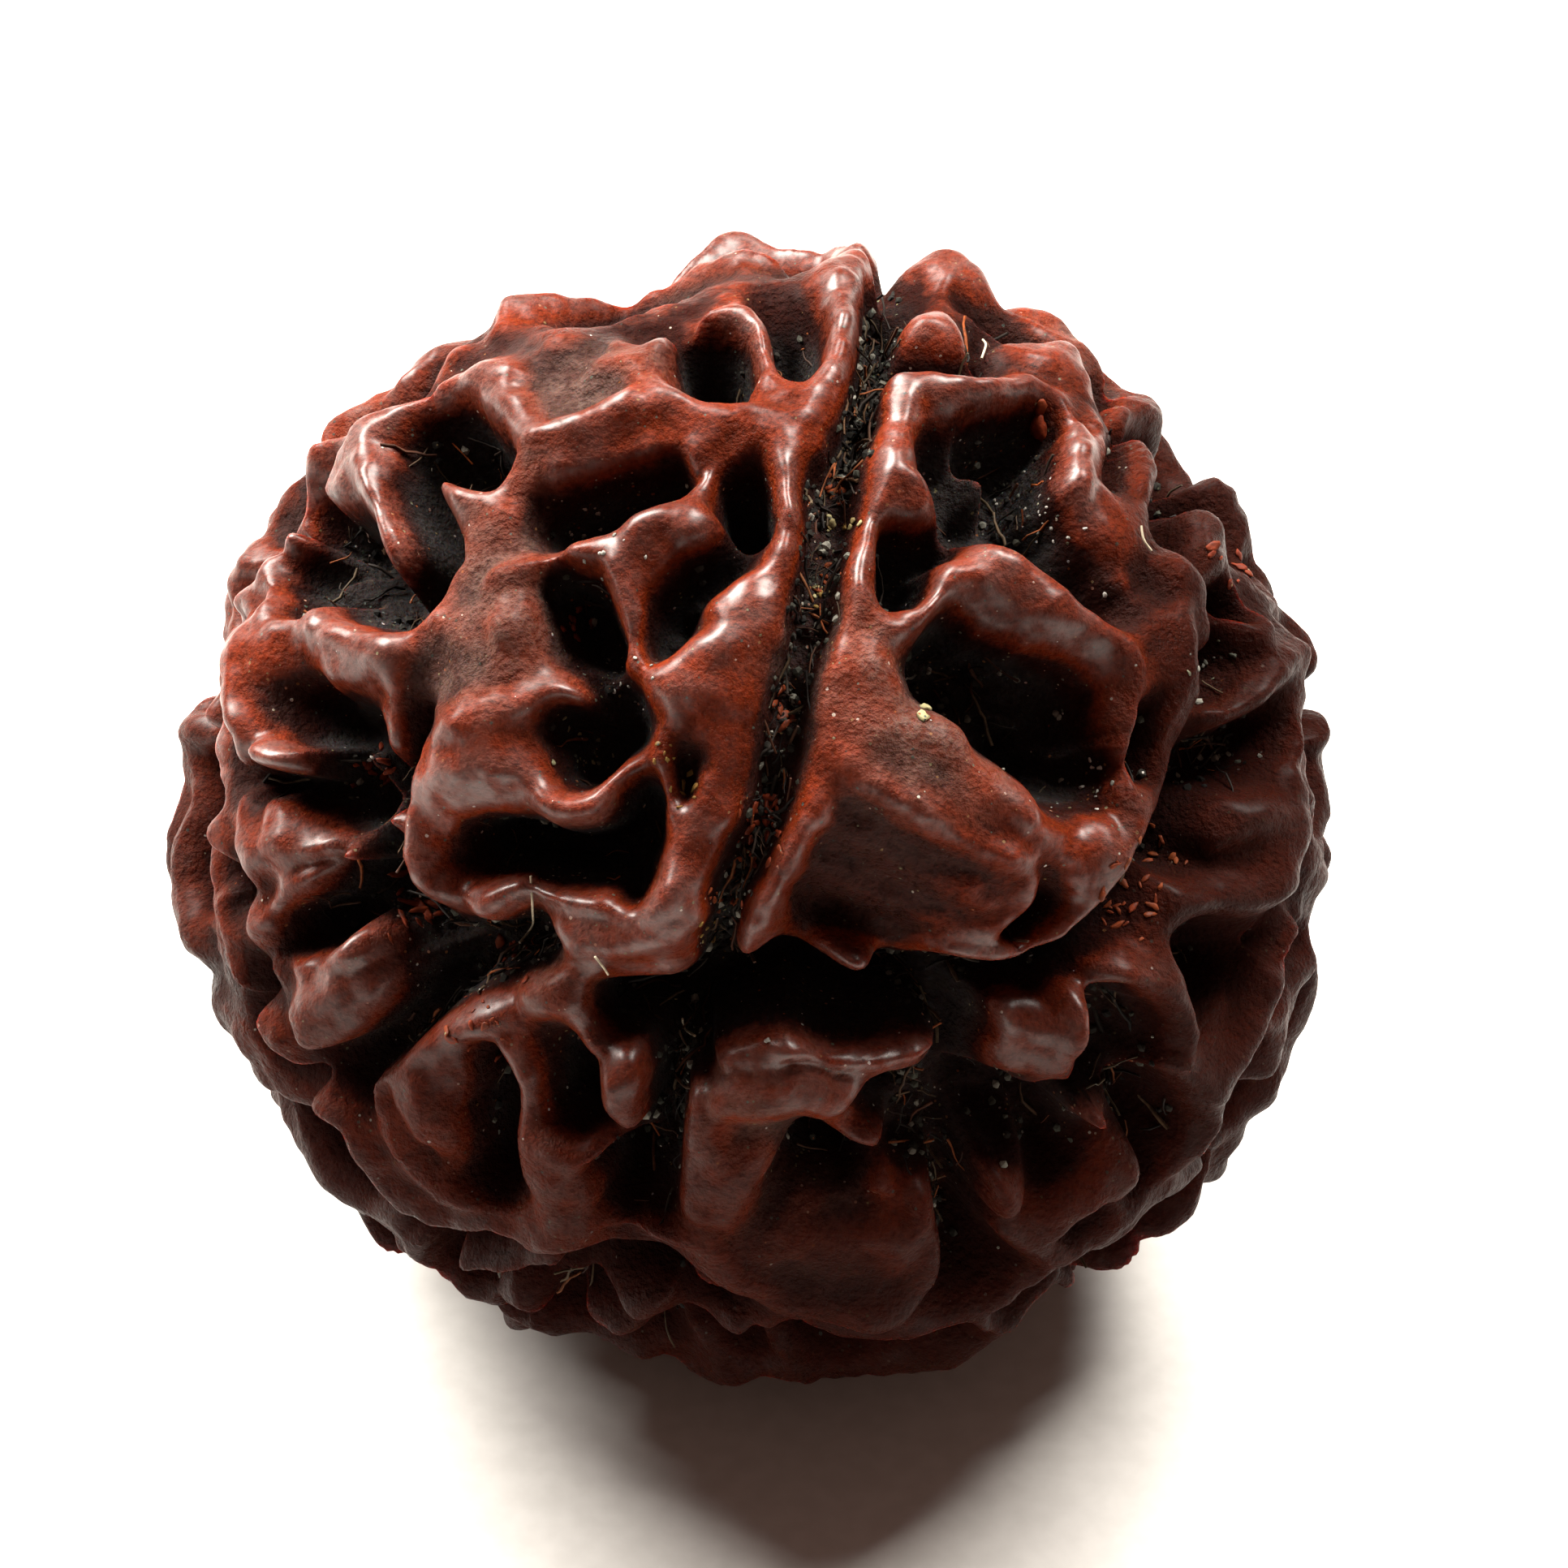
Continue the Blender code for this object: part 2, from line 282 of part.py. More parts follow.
            ]),
    (0.14, [(-8.2, -1.15, -0.1), (-7.95, -0.9, -0.1), (-7.75, -0.55, -0.15), (-7.4, -0.2, -0.3)]),
    (0.14, [(-10.3, 1.9, 0), (-10.45, 1.2, 0), (-10.45, 0.6, 0)]),
    (0.08, [(-10.3, -0.5, 0), (-10.2, -1.0, 0), (-10.15, -1.4, 0), (-10.3, -1.8, 0), (-10.1, -2.2, 0)]),
    (0.2, [(-9.9, -2.0, -0.2), (-9.6, -2.2, -0.1)]),
    (0.3, [(-9.1, -3.05, -0.15), (-8.75, -3.0, 0.15), (-8.3, -3.0, -0.2), (-7.85, -2.7, 0.15),
           (-7.45, -2.45, -0.35)]),
    (0.5, [(-8.5, -3.6, 0), (-8.0, -3.6, -0.1), (-7.5, -3.5, -0.2)]),
    (0.4, [(-8.3, -4.2, 0), (-7.7, -4.3, -0.1), (-7.2, -4.0, -0.25)]),
]

HOLLOW_LINES = [
    # The six grooves that part the faces, from the pole outward
    (0.2, [(2.4, 9.6, -1.3), (2.35, 8.9, -1.3), (2.15, 8.1, -1.2), (1.9, 7.3, -1.1), (1.5, 6.7, -1.0)]),
    (0.36, [(1.5, 6.5, -0.9), (1.45, 6.0, -0.85), (1.4, 5.2, -0.85), (1.25, 4.4, -0.85), (1.1, 3.7, -0.85)
            ]),
    (0.27, [(1.1, 3.7, -0.85), (0.85, 2.8, -0.85), (0.6, 2.0, -0.85), (0.45, 1.2, -0.85), (0.3, 0.4, -0.85)
            ]),
    (0.22, [(0.3, 0.4, -0.85), (0.1, -0.3, -0.85), (-0.25, -1.0, -0.9), (-0.5, -1.6, -1.1),
            (-0.65, -2.2, -1.4)]),
    (0.2, [(-0.65, -2.2, -1.4), (-0.7, -2.8, -1.9), (-0.8, -3.3, -2.4)]),
    (0.3, [(3.6, -3.3, -2.3), (4.8, -3.3, -1.9), (5.9, -2.85, -1.6), (6.7, -2.1, -1.5), (7.4, -1.0, -1.5)
           ]),
    (0.35, [(8.0, -0.7, -2.2), (8.1, 0.1, -2.1), (8.5, 0.9, -1.7), (9.2, 1.2, -1.4), (9.8, 1.5, -1.0)]),
    (0.3, [(4.2, -4.4, -2.2), (4.0, -5.3, -2.0), (3.9, -6.1, -1.8), (3.85, -7.3, -1.6), (3.95, -8.4, -1.7)
           ]),
    (0.22, [(-1.55, -5.0, -2.2), (-1.7, -6.0, -1.9), (-1.75, -6.8, -1.6), (-1.9, -7.4, -1.1)]),
    (0.3, [(-4.4, -2.6, -2.0), (-5.4, -2.9, -2.1), (-6.2, -3.5, -2.2), (-6.8, -4.2, -2.0),
           (-7.4, -4.75, -1.7)]),
    (0.3, [(-6.3, -2.4, -2.2), (-6.9, -1.7, -2.2), (-7.1, -0.8, -2.1), (-7.15, 0.2, -2.0),
           (-7.4, 1.1, -1.8)]),
    # The dark well round the pole
    (0.5, [(-1.2, -3.9, -2.7), (-0.2, -3.4, -2.9), (0.7, -3.3, -2.9), (1.6, -3.7, -3.0), (2.6, -3.7, -2.9)
           ]),
    (0.4, [(2.6, -3.7, -2.9), (3.4, -3.8, -2.7), (4.0, -4.0, -2.4)]),
    (0.35, [(-2.6, -3.75, -2.0), (-1.8, -3.9, -2.5), (-1.3, -4.5, -2.5)]),
    # Pits of the upper left face
    (0.42, [(-6.1, 7.0, -1.8), (-5.7, 7.05, -2.2), (-5.3, 6.7, -2.3), (-5.0, 6.5, -1.9)]),
    (0.3, [(-6.45, 6.5, -1.7), (-6.4, 5.9, -2.1), (-6.15, 5.2, -2.3), (-6.3, 4.5, -2.3), (-6.7, 3.8, -2.0)
           ]),
    (0.35, [(-8.3, 5.6, -1.8), (-7.9, 5.2, -2.0), (-7.5, 4.6, -2.0), (-7.3, 4.0, -1.8)]),
    (0.5, [(-8.7, 4.7, -1.2), (-8.4, 4.2, -1.4)]),
    (0.28, [(-3.7, 5.55, -1.5), (-3.1, 5.75, -1.8), (-2.5, 5.95, -1.9), (-1.9, 6.15, -1.7),
            (-1.6, 6.3, -1.4)]),
    (0.33, [(-0.3, 6.1, -1.4), (-0.15, 5.75, -1.9), (-0.05, 5.5, -1.7)]),
    (0.5, [(-0.95, 8.5, -2.1), (-0.65, 8.35, -2.3), (-0.5, 8.05, -2.0)]),
    (0.3, [(0.7, 9.2, -1.4), (0.85, 8.85, -1.7), (0.8, 8.5, -1.5)]),
    (0.22, [(-1.85, 3.3, -1.1), (-1.6, 3.7, -1.3), (-1.3, 4.2, -1.3), (-0.9, 4.55, -1.1), (-0.4, 5.0, -0.8)
            ]),
    (0.33, [(-3.65, 4.25, -1.4), (-3.35, 3.9, -1.7), (-3.1, 3.4, -1.8), (-2.9, 3.1, -1.6)]),
    (0.38, [(-3.5, 1.6, -1.3), (-3.0, 1.3, -1.5), (-3.3, 0.9, -1.3)]),
    (0.3, [(-2.5, 1.5, -1.4), (-2.6, 2.1, -1.3), (-2.9, 2.5, -0.9)]),
    (0.1, [(-1.35, 0.9, -0.6), (-1.35, 0.4, -0.5)]),
    (0.33, [(-5.3, -0.55, -1.6), (-4.8, -0.6, -2.2), (-4.2, -0.8, -2.4), (-3.5, -1.0, -2.4),
            (-2.8, -0.9, -2.2)]),
    (0.28, [(-2.8, -0.9, -2.2), (-2.3, -0.5, -1.9), (-2.1, 0.2, -1.4)]),
    (0.13, [(-2.4, -1.6, -0.9), (-2.35, -1.3, -1.4)]),
    # Pits of the upper right face
    (0.3, [(2.75, 5.0, -1.4), (2.85, 4.5, -1.8), (2.85, 4.15, -1.6)]),
    (0.2, [(3.1, 5.1, -1.3), (3.5, 5.1, -1.2)]),
    (0.3, [(4.3, 7.1, -1.5), (4.8, 7.0, -2.1), (5.25, 7.05, -2.0)]),
    (0.3, [(5.2, 6.8, -1.9), (5.1, 6.3, -1.9), (5.2, 5.7, -1.8), (5.5, 5.4, -1.6)]),
    (0.45, [(3.7, 6.7, -1.4), (3.9, 6.0, -1.6), (4.3, 5.7, -1.7), (4.8, 5.7, -1.7)]),
    (0.22, [(5.3, 5.3, -1.2), (5.8, 4.9, -1.2), (6.3, 4.3, -1.1), (6.7, 3.95, -0.9)]),
    (0.1, [(6.95, 7.3, -1.2), (6.98, 6.8, -0.9), (6.85, 6.3, -0.7)]),
    (0.2, [(6.3, 7.9, -1.1), (6.65, 7.8, -1.6)]),
    (0.1, [(2.6, 8.7, -0.8), (3.0, 8.55, -1.0), (3.5, 8.42, -1.0), (4.0, 8.38, -0.9)]),
    (0.1, [(4.3, 9.2, -0.6), (4.25, 8.7, -0.8)]),
    (0.5, [(3.6, 3.0, -2.1), (3.9, 2.5, -2.3), (4.5, 2.7, -2.1)]),
    (0.45, [(5.2, 2.6, -1.6), (5.9, 2.2, -1.5), (6.1, 1.6, -1.6)]),
    (0.33, [(5.4, 1.3, -2.0), (5.7, 0.8, -2.1)]),
    (0.28, [(4.5, 1.8, -1.6), (4.9, 1.5, -1.8)]),
    (0.22, [(6.2, 0.45, -1.4), (6.55, 0.8, -1.4)]),
    (0.18, [(7.48, 1.8, -0.9), (7.45, 1.2, -1.2), (7.45, 0.75, -0.9)]),
    (0.38, [(8.6, 2.6, -1.7), (8.8, 3.0, -1.4)]),
    (0.2, [(7.75, 5.3, -1.5), (7.85, 6.0, -1.4), (7.75, 6.6, -1.1)]),
    (0.18, [(8.75, 4.1, -1.3), (8.95, 3.7, -1.4)]),
    (0.38, [(8.5, -2.6, -1.6), (9.0, -2.9, -1.5), (8.5, -3.3, -1.5)]),
    (0.16, [(5.6, -1.75, -1.2), (5.3, -2.1, -1.4), (5.1, -2.35, -1.3)]),
    # Pits of the lower faces
    (0.38, [(6.7, -3.7, -1.7), (6.8, -4.3, -1.9), (6.6, -4.75, -1.8)]),
    (0.28, [(7.4, -4.4, -1.2), (7.3, -4.0, -1.3)]),
    (0.25, [(7.35, -5.2, -1.5), (7.5, -5.9, -1.6), (7.3, -6.6, -1.3)]),
    (0.38, [(4.6, -5.7, -2.1), (4.7, -6.2, -1.8), (5.3, -5.8, -1.8)]),
    (0.3, [(5.75, -6.65, -1.3), (5.7, -6.0, -1.7), (5.8, -5.4, -1.7), (6.5, -5.0, -1.6)]),
    (0.14, [(10.3, -3.3, -1.0), (9.9, -4.1, -1.2), (9.4, -4.8, -1.3), (9.0, -5.3, -1.3), (8.95, -5.8, -1.1)
            ]),
    (0.14, [(8.6, -6.7, -1.0), (8.1, -7.3, -1.2), (7.4, -7.9, -1.3), (6.7, -8.3, -1.3), (5.7, -8.65, -1.3)
            ]),
    (0.38, [(1.2, -6.6, -2.2), (1.7, -6.9, -2.1)]),
    (0.38, [(2.6, -5.7, -2.1), (3.1, -6.0, -1.8), (3.1, -6.8, -1.4)]),
    (0.15, [(0.4, -9.5, -1.3), (1.3, -9.68, -1.5), (2.2, -9.65, -1.5), (3.0, -9.5, -1.5), (3.8, -9.2, -1.6)
            ]),
    (0.28, [(-3.5, -4.9, -1.7), (-3.45, -5.4, -1.7), (-3.2, -5.75, -1.5)]),
    (0.28, [(-2.7, -6.5, -1.7), (-2.4, -6.9, -1.9), (-2.3, -7.3, -1.6)]),
    (0.25, [(-5.0, -5.0, -1.7), (-5.0, -5.7, -1.8), (-4.95, -6.4, -1.8), (-4.8, -6.9, -1.4)]),
    (0.18, [(-7.55, -5.8, -1.5), (-7.1, -6.5, -1.8), (-6.6, -7.05, -1.9), (-6.0, -7.5, -1.8),
            (-5.3, -7.8, -1.5), (-4.7, -7.85, -1.1)]),
    (0.18, [(-7.0, -7.8, -1.2), (-6.2, -8.15, -1.6), (-5.4, -8.35, -1.8), (-4.5, -8.4, -1.8),
            (-3.3, -8.35, -1.8)]),
    (0.16, [(-3.3, -8.35, -1.5), (-2.2, -8.5, -1.6), (-1.3, -8.7, -1.5), (-0.6, -9.15, -1.2)]),
    (0.15, [(-4.8, -9.15, -1.2), (-3.6, -9.2, -1.5), (-2.7, -9.15, -1.5)]),
    (0.25, [(-1.4, -9.75, -1.1), (-1.1, -9.75, -1.1)]),
    # Pits of the left faces
    (0.38, [(-8.5, 2.1, -1.2), (-8.3, 1.65, -1.5), (-7.8, 1.6, -1.6)]),
    (0.3, [(-8.1, 0.9, -1.5), (-7.9, 0.3, -1.8), (-7.9, -0.05, -1.7)]),
    (0.16, [(-9.5, 0.6, -0.9), (-9.0, 0.5, -1.2), (-8.4, 0.4, -1.5)]),
    (0.38, [(-8.4, -2.2, -1.6), (-7.8, -1.9, -1.9), (-7.5, -1.3, -2.0)]),
    (0.14, [(-6.55, 1.9, -0.9), (-6.7, 1.2, -1.2), (-6.8, 0.5, -1.5)]),
    (0.12, [(-10.05, 1.9, -0.9), (-10.12, 1.2, -1.0), (-10.1, 0.5, -1.0)]),
    (0.18, [(-9.9, -1.1, -0.9), (-9.65, -1.6, -1.0)]),
    (0.1, [(-9.35, -3.1, -0.8), (-9.2, -3.7, -1.1), (-9.0, -4.2, -1.2), (-8.6, -4.75, -1.2),
           (-8.1, -5.0, -1.4)]),
]

# The rim of the near side, clockwise from the left, and its half width
RIM_HALF = 0.4
RIM_BACK = 0.03
RIM_SWAY = 0.06
RIM_SWAY_SIZE = 1.6
RIM_FIRMNESS = 8.0
RIM = [
    (-10.95, -0.5), (-10.75, 0.2), (-10.85, 1.0), (-10.7, 1.8), (-10.3, 2.5), (-9.9, 2.95), (-9.85, 3.5),
    (-9.9, 4.1), (-9.75, 4.7), (-9.45, 5.05), (-9.2, 5.1), (-9.05, 5.6), (-8.85, 6.15), (-8.4, 6.4),
    (-8.1, 6.55), (-7.9, 6.95), (-7.5, 7.6), (-7.0, 7.8), (-6.5, 7.95), (-6.2, 8.4), (-5.8, 8.7),
    (-5.3, 8.7), (-4.9, 8.65), (-4.3, 8.95), (-3.7, 9.4), (-3.2, 9.55), (-2.9, 9.35), (-2.4, 9.02),
    (-2.0, 9.1), (-1.5, 9.5), (-1.05, 9.95), (-0.7, 10.08), (-0.3, 9.95), (0.0, 9.9), (0.3, 9.98),
    (0.5, 9.7), (0.8, 9.53), (1.1, 9.55), (1.25, 10.1), (1.5, 10.45), (2.05, 10.72), (2.4, 10.3),
    (2.5, 9.7), (2.62, 9.5), (2.8, 9.7), (2.95, 10.15), (3.3, 10.42), (3.65, 10.5), (4.0, 10.35),
    (4.2, 10.0), (4.5, 9.48), (5.1, 9.42), (5.6, 9.35), (6.0, 9.1), (6.4, 8.9), (6.9, 8.25), (7.2, 7.9),
    (7.5, 7.4), (7.7, 6.9), (8.1, 6.6), (8.6, 6.5), (8.85, 6.15), (9.3, 5.4), (9.5, 5.0), (9.7, 4.35),
    (10.0, 3.75), (10.4, 3.2), (10.6, 2.6), (10.75, 2.2), (10.95, 1.65), (10.85, 0.9), (10.78, 0.1),
    (10.7, -0.8), (10.92, -1.2), (10.7, -1.7), (10.7, -2.2), (10.8, -2.9), (10.6, -3.4), (10.25, -4.0),
    (10.15, -4.8), (9.9, -5.25), (9.2, -5.8), (8.75, -6.4), (8.5, -7.1), (8.2, -7.7), (7.6, -8.15),
    (7.3, -8.55), (6.8, -9.0), (6.2, -9.25), (5.2, -9.4), (4.3, -9.95), (3.2, -10.35), (2.0, -10.6),
    (0.5, -10.7), (-0.8, -10.6), (-1.8, -10.4), (-2.6, -10.0), (-4.0, -9.87), (-4.8, -9.75),
    (-5.4, -9.3), (-5.9, -9.05), (-6.6, -8.75), (-7.1, -8.4), (-7.4, -7.8), (-7.7, -7.25),
    (-8.2, -6.85), (-8.45, -6.2), (-8.75, -5.6), (-9.1, -5.05), (-9.6, -4.6), (-9.9, -4.0),
    (-10.0, -3.4), (-10.0, -2.95), (-10.5, -2.5), (-10.85, -1.9), (-10.98, -1.2),
]

# Where the six grooves leave the near side
GROOVE_ENDS = [(2.5, 9.6), (10.9, 1.9), (5.4, -9.3), (-1.7, -10.4), (-9.2, -5.0), (-10.6, 2.1)]


def unit(vectors):
    return vectors / np.linalg.norm(vectors, axis=-1, keepdims=True)


AXIS = unit(POLE_RIGHT * RIGHT + POLE_UP * UP + np.sqrt(1 - POLE_RIGHT**2 - POLE_UP**2) * TOWARD)
SIDE = unit(np.cross(UP, AXIS))
OWN_AXES = np.array([SIDE, np.cross(AXIS, SIDE), AXIS])


def half_sizes(level):
    """The bead's half widths at a level over or under the ridge tops, in its own axes."""
    level = np.asarray(level, float)[..., None]
    return np.array([GIRTH_RADIUS, GIRTH_RADIUS, POLE_RADIUS]) + level


def surface_points(directions):
    """Points of the smooth oblate form through the ridge tops."""
    own = directions @ OWN_AXES.T
    return (own * half_sizes(0.0)) @ OWN_AXES


def sight_lines(seen, level):
    """Eye and ray of each seen point, in the bead's own axes and squeezed to a unit ball."""
    eye = SIGHT_DISTANCE * TOWARD
    aims = seen[:, :1] * RIGHT + seen[:, 1:2] * UP
    rays = aims - eye
    sizes = half_sizes(level)
    return (OWN_AXES @ eye) / sizes, (rays @ OWN_AXES.T) / sizes


def seen_directions(seen, level):
    """Directions from the middle to the points seen at this level on the near side."""
    eye, rays = sight_lines(seen, level)
    a = (rays**2).sum(axis=1)
    b = (rays * eye).sum(axis=1)
    c = (eye**2).sum(axis=1) - 1
    root = np.sqrt(np.maximum(b**2 - a * c, 0))
    hit = eye + ((-b - root) / a)[:, None] * rays
    return unit(hit) @ OWN_AXES


def grazed_directions(seen):
    """Directions and levels of points on the rim, where the line of sight just grazes the bead."""
    eye, rays = sight_lines(seen, np.zeros(len(seen)))
    along = -(rays * eye).sum(axis=1) / (rays**2).sum(axis=1)
    nearest = eye + along[:, None] * rays
    reach = np.linalg.norm(nearest, axis=1)
    return (nearest / reach[:, None]) @ OWN_AXES, (reach - 1) * GIRTH_RADIUS


def smooth_line(points, step, closed=False):
    """A line through the points, rounded at each and cut into short steps."""
    points = np.array(points, float)
    if closed:
        points = np.concatenate([points[-1:], points, points[:2]])
    else:
        points = np.concatenate([2 * points[:1] - points[1:2], points, 2 * points[-1:] - points[-2:-1]])
    pieces = []
    for before, start, end, after in zip(points, points[1:], points[2:], points[3:]):
        count = max(1, int(np.ceil(np.linalg.norm((end - start)[:2]) / step)))
        t = (np.arange(count) / count)[:, None]
        bend = 2 * before - 5 * start + 4 * end - after
        twist = 3 * (start - end) + after - before
        pieces.append(start + 0.5 * t * (end - before + t * (bend + t * twist)))
    if not closed:
        pieces.append(points[-2:-1])
    return np.concatenate(pieces)


def wave_noise(points, size, seed):
    """Smooth unevenness, mostly from -1 to 1, summed from waves about this long in all directions."""
    rng = np.random.default_rng(seed)
    headings = unit(rng.normal(size=(NOISE_WAVES, 3)))
    numbers = headings * 2 * np.pi / (size * rng.uniform(1.5, 3.0, (NOISE_WAVES, 1)))
    phases = rng.uniform(0, 2 * np.pi, NOISE_WAVES)
    return np.cos(points @ numbers.T + phases).sum(axis=1) / np.sqrt(NOISE_WAVES)


def smooth_step(low, high, values):
    t = np.clip((values - low) / (high - low), 0, 1)
    return t * t * (3 - 2 * t)


def scattered(count, rng, jitter):
    """Points spread evenly over the bead, each moved a little by chance."""
    turn = np.pi * (3 - np.sqrt(5)) * np.arange(count)
    height = 1 - 2 * (np.arange(count) + 0.5) / count
    flat = np.sqrt(1 - height**2)
    spread = np.stack([flat * np.cos(turn), flat * np.sin(turn), height], axis=1)
    return surface_points(unit(spread + rng.normal(0, jitter, spread.shape)))


def separations(points, others):
    """Distance from every point to every one of the others."""
    squares = (points**2).sum(axis=1)[:, None] + (others**2).sum(axis=1) - 2 * points @ others.T
    return np.sqrt(np.maximum(squares, 0))


def far_net(points):
    """Distances to the net of ridges and to the pits between them, and the level of each, by rule."""
    rng = np.random.default_rng(SEED)
    middles = scattered(CELLS, rng, CELL_JITTER)
    depths = -rng.uniform(*PIT_DEPTHS, CELLS)
    group = separations(middles, scattered(GROUPS, rng, CELL_JITTER)).argmin(axis=1)
    moved = points.copy()
    for size, share, first in ((WARP_SIZE, WARP, SEED), (FINE_WARP_SIZE, FINE_WARP, SEED + 3)):
        for k in range(3):
            moved[:, k] += share * wave_noise(points, size, first + k)
    gaps = separations(moved, middles)
    nearest = gaps.argmin(axis=1)
    closest = gaps[np.arange(len(points)), nearest]
    others = np.where(group[None, :] != group[nearest][:, None], gaps, np.inf).min(axis=1)
    to_net = (others - closest) / 2 - NET_HALF - NET_UNEVEN * wave_noise(points, WARP_SIZE, SEED + 7)
    net_level = NET_LEVEL + NET_SWING * wave_noise(points, WARP_SIZE, SEED + 8)
    pull = (gaps + LEVEL_SOFTNESS) ** -PIT_POWER
    pit_level = (pull * depths).sum(axis=1) / pull.sum(axis=1)
    return to_net, closest - PIT_HALF, net_level, pit_level


def far_lines():
    """The grooves and their banks, carried on by rule from the rim to the far pole."""
    rng = np.random.default_rng(SEED + 5)
    starts, _ = grazed_directions(np.array(GROOVE_ENDS))
    steps = np.linspace(0.0, GROOVE_STOP, GROOVE_STEPS)[:, None]
    made = []
    for start in starts:
        path = unit(start * (1 - steps) - AXIS * steps)
        across = unit(np.cross(path, AXIS))
        waves = np.sin(steps * rng.uniform(*SWAY_WAVES) + rng.uniform(0, FULL_TURN))
        path = unit(path + GROOVE_SWAY * waves * np.sin(np.pi * steps) * across)
        depth = GROOVE_DEPTH - POLE_DEEPER * smooth_step(BANK_STOP, 1.0, steps[:, 0])
        made.append((False, GROOVE_HALF, path, depth, 1.0))
        on_bank = steps[:, 0] < BANK_STOP
        along = steps[on_bank]
        for turn in (-1, 1):
            waves = np.sin(along * rng.uniform(*BANK_WAVES) + rng.uniform(0, FULL_TURN))
            offset = BANK_OFFSET / GIRTH_RADIUS * (1 + BANK_SWAY * waves)
            bank = unit(path[on_bank] + turn * offset * across[on_bank])
            waves = np.sin(along[:, 0] * rng.uniform(*DIP_WAVES) + rng.uniform(0, FULL_TURN))
            made.append((True, BANK_HALF, bank, BANK_DIP * smooth_step(*DIP_BAND, waves), 1.0))
    return made


def all_lines():
    """Every line as crest or hollow, half width, directions and levels."""
    made = []
    for is_crest, lines in ((True, CREST_LINES), (False, HOLLOW_LINES)):
        for half, points in lines:
            line = smooth_line(points, LINE_STEP)
            directions = seen_directions(line[:, :2], SIGHT_SHARE * line[:, 2])
            made.append((is_crest, half, directions, line[:, 2], 1.0))
    directions, levels = grazed_directions(smooth_line(RIM, LINE_STEP, closed=True))
    behind = RIM_BACK + RIM_SWAY * wave_noise(surface_points(directions), RIM_SWAY_SIZE, SEED + 9)
    made.append((True, RIM_HALF, unit(directions - behind[:, None] * TOWARD), levels, RIM_FIRMNESS))
    return made + far_lines()


def relief(directions):
    """Level of the surface in each direction, over or under the smooth form through the ridge tops."""
    points = surface_points(directions)
    setback = NEAR_SETBACK * smooth_step(*SETBACK_BAND, unit(points) @ TOWARD)
    to_net, to_pit, net_level, pit_level = far_net(points)
    joined = {}
    for is_crest, reach, level in ((True, to_net, net_level), (False, to_pit, pit_level)):
        reach = np.maximum(reach + setback, 0)
        pull = (reach + LEVEL_SOFTNESS) ** -LEVEL_POWER
        joined[is_crest] = [(reach + JOIN_SOFTNESS) ** -JOIN_POWER, pull, pull * level]
    for is_crest, half, path, path_levels, firmness in all_lines():
        stations = surface_points(path)
        middle = stations.mean(axis=0)
        span = np.linalg.norm(stations - middle, axis=1).max() + REACH
        near = np.flatnonzero(((points - middle) ** 2).sum(axis=1) < span**2)
        apart = separations(points[near], stations)
        closest = apart.argmin(axis=1)
        distance = apart[np.arange(len(near)), closest]
        reach = np.maximum(distance - half * (CREST_SHARE if is_crest else HOLLOW_SHARE), 0)
        level = np.asarray(path_levels)[closest]
        if is_crest:
            level = level - CROWN * np.minimum(distance, CROWN_REACH) ** 2
        else:
            level = level * DEPTH_SHARE
        pull = firmness * (reach + LEVEL_SOFTNESS) ** -LEVEL_POWER
        sums = joined[is_crest]
        sums[0][near] += (reach + JOIN_SOFTNESS) ** -JOIN_POWER
        sums[1][near] += pull
        sums[2][near] += pull * level
    to_crest, to_hollow = (joined[key][0] ** (-1 / JOIN_POWER) - JOIN_SOFTNESS for key in (True, False))
    crest, hollow = (joined[key][2] / joined[key][1] for key in (True, False))
    to_crest, to_hollow = np.maximum(to_crest, 0), np.maximum(to_hollow, 0)
    rise = to_hollow / np.maximum(to_hollow + to_crest, TINY)
    swell = SWELL * wave_noise(points, SWELL_SIZE, SEED + 11)
    swell += FINE_SWELL * wave_noise(points, FINE_SWELL_SIZE, SEED + 12)
    swell += PUFF * (1 - np.exp(-to_hollow / PUFF_REACH)) - PUFF_BASE
    wall = smooth_step(SLOPE_START, SLOPE_END, rise)
    return hollow + (crest - hollow) * (wall + ROUNDING * (rise * (2 - rise) - wall)) + swell


def softened(levels, edges, edge_length):
    """The levels with their sharp edges worn round, about as far as the softening length."""
    ends = np.concatenate([edges, edges[:, ::-1]])
    counts = np.bincount(ends[:, 0], minlength=len(levels))
    for _ in range(max(1, round((SOFTENING / edge_length) ** 2 * SOFTENING_PASSES))):
        around = np.bincount(ends[:, 0], weights=levels[ends[:, 1]], minlength=len(levels)) / counts
        levels = (1 - AVERAGING) * levels + AVERAGING * around
    return levels


def clear_scene():
    for old in list(bpy.data.objects):
        bpy.data.objects.remove(old, do_unlink=True)


def bead_material():
    material = bpy.data.materials.new("stone")
    material.use_nodes = True
    shader = material.node_tree.nodes["Principled BSDF"]
    shader.inputs["Base Color"].default_value = (0.16, 0.04, 0.025, 1)
    shader.inputs["Roughness"].default_value = 0.42
    shader.inputs["Metallic"].default_value = 0.0
    return material


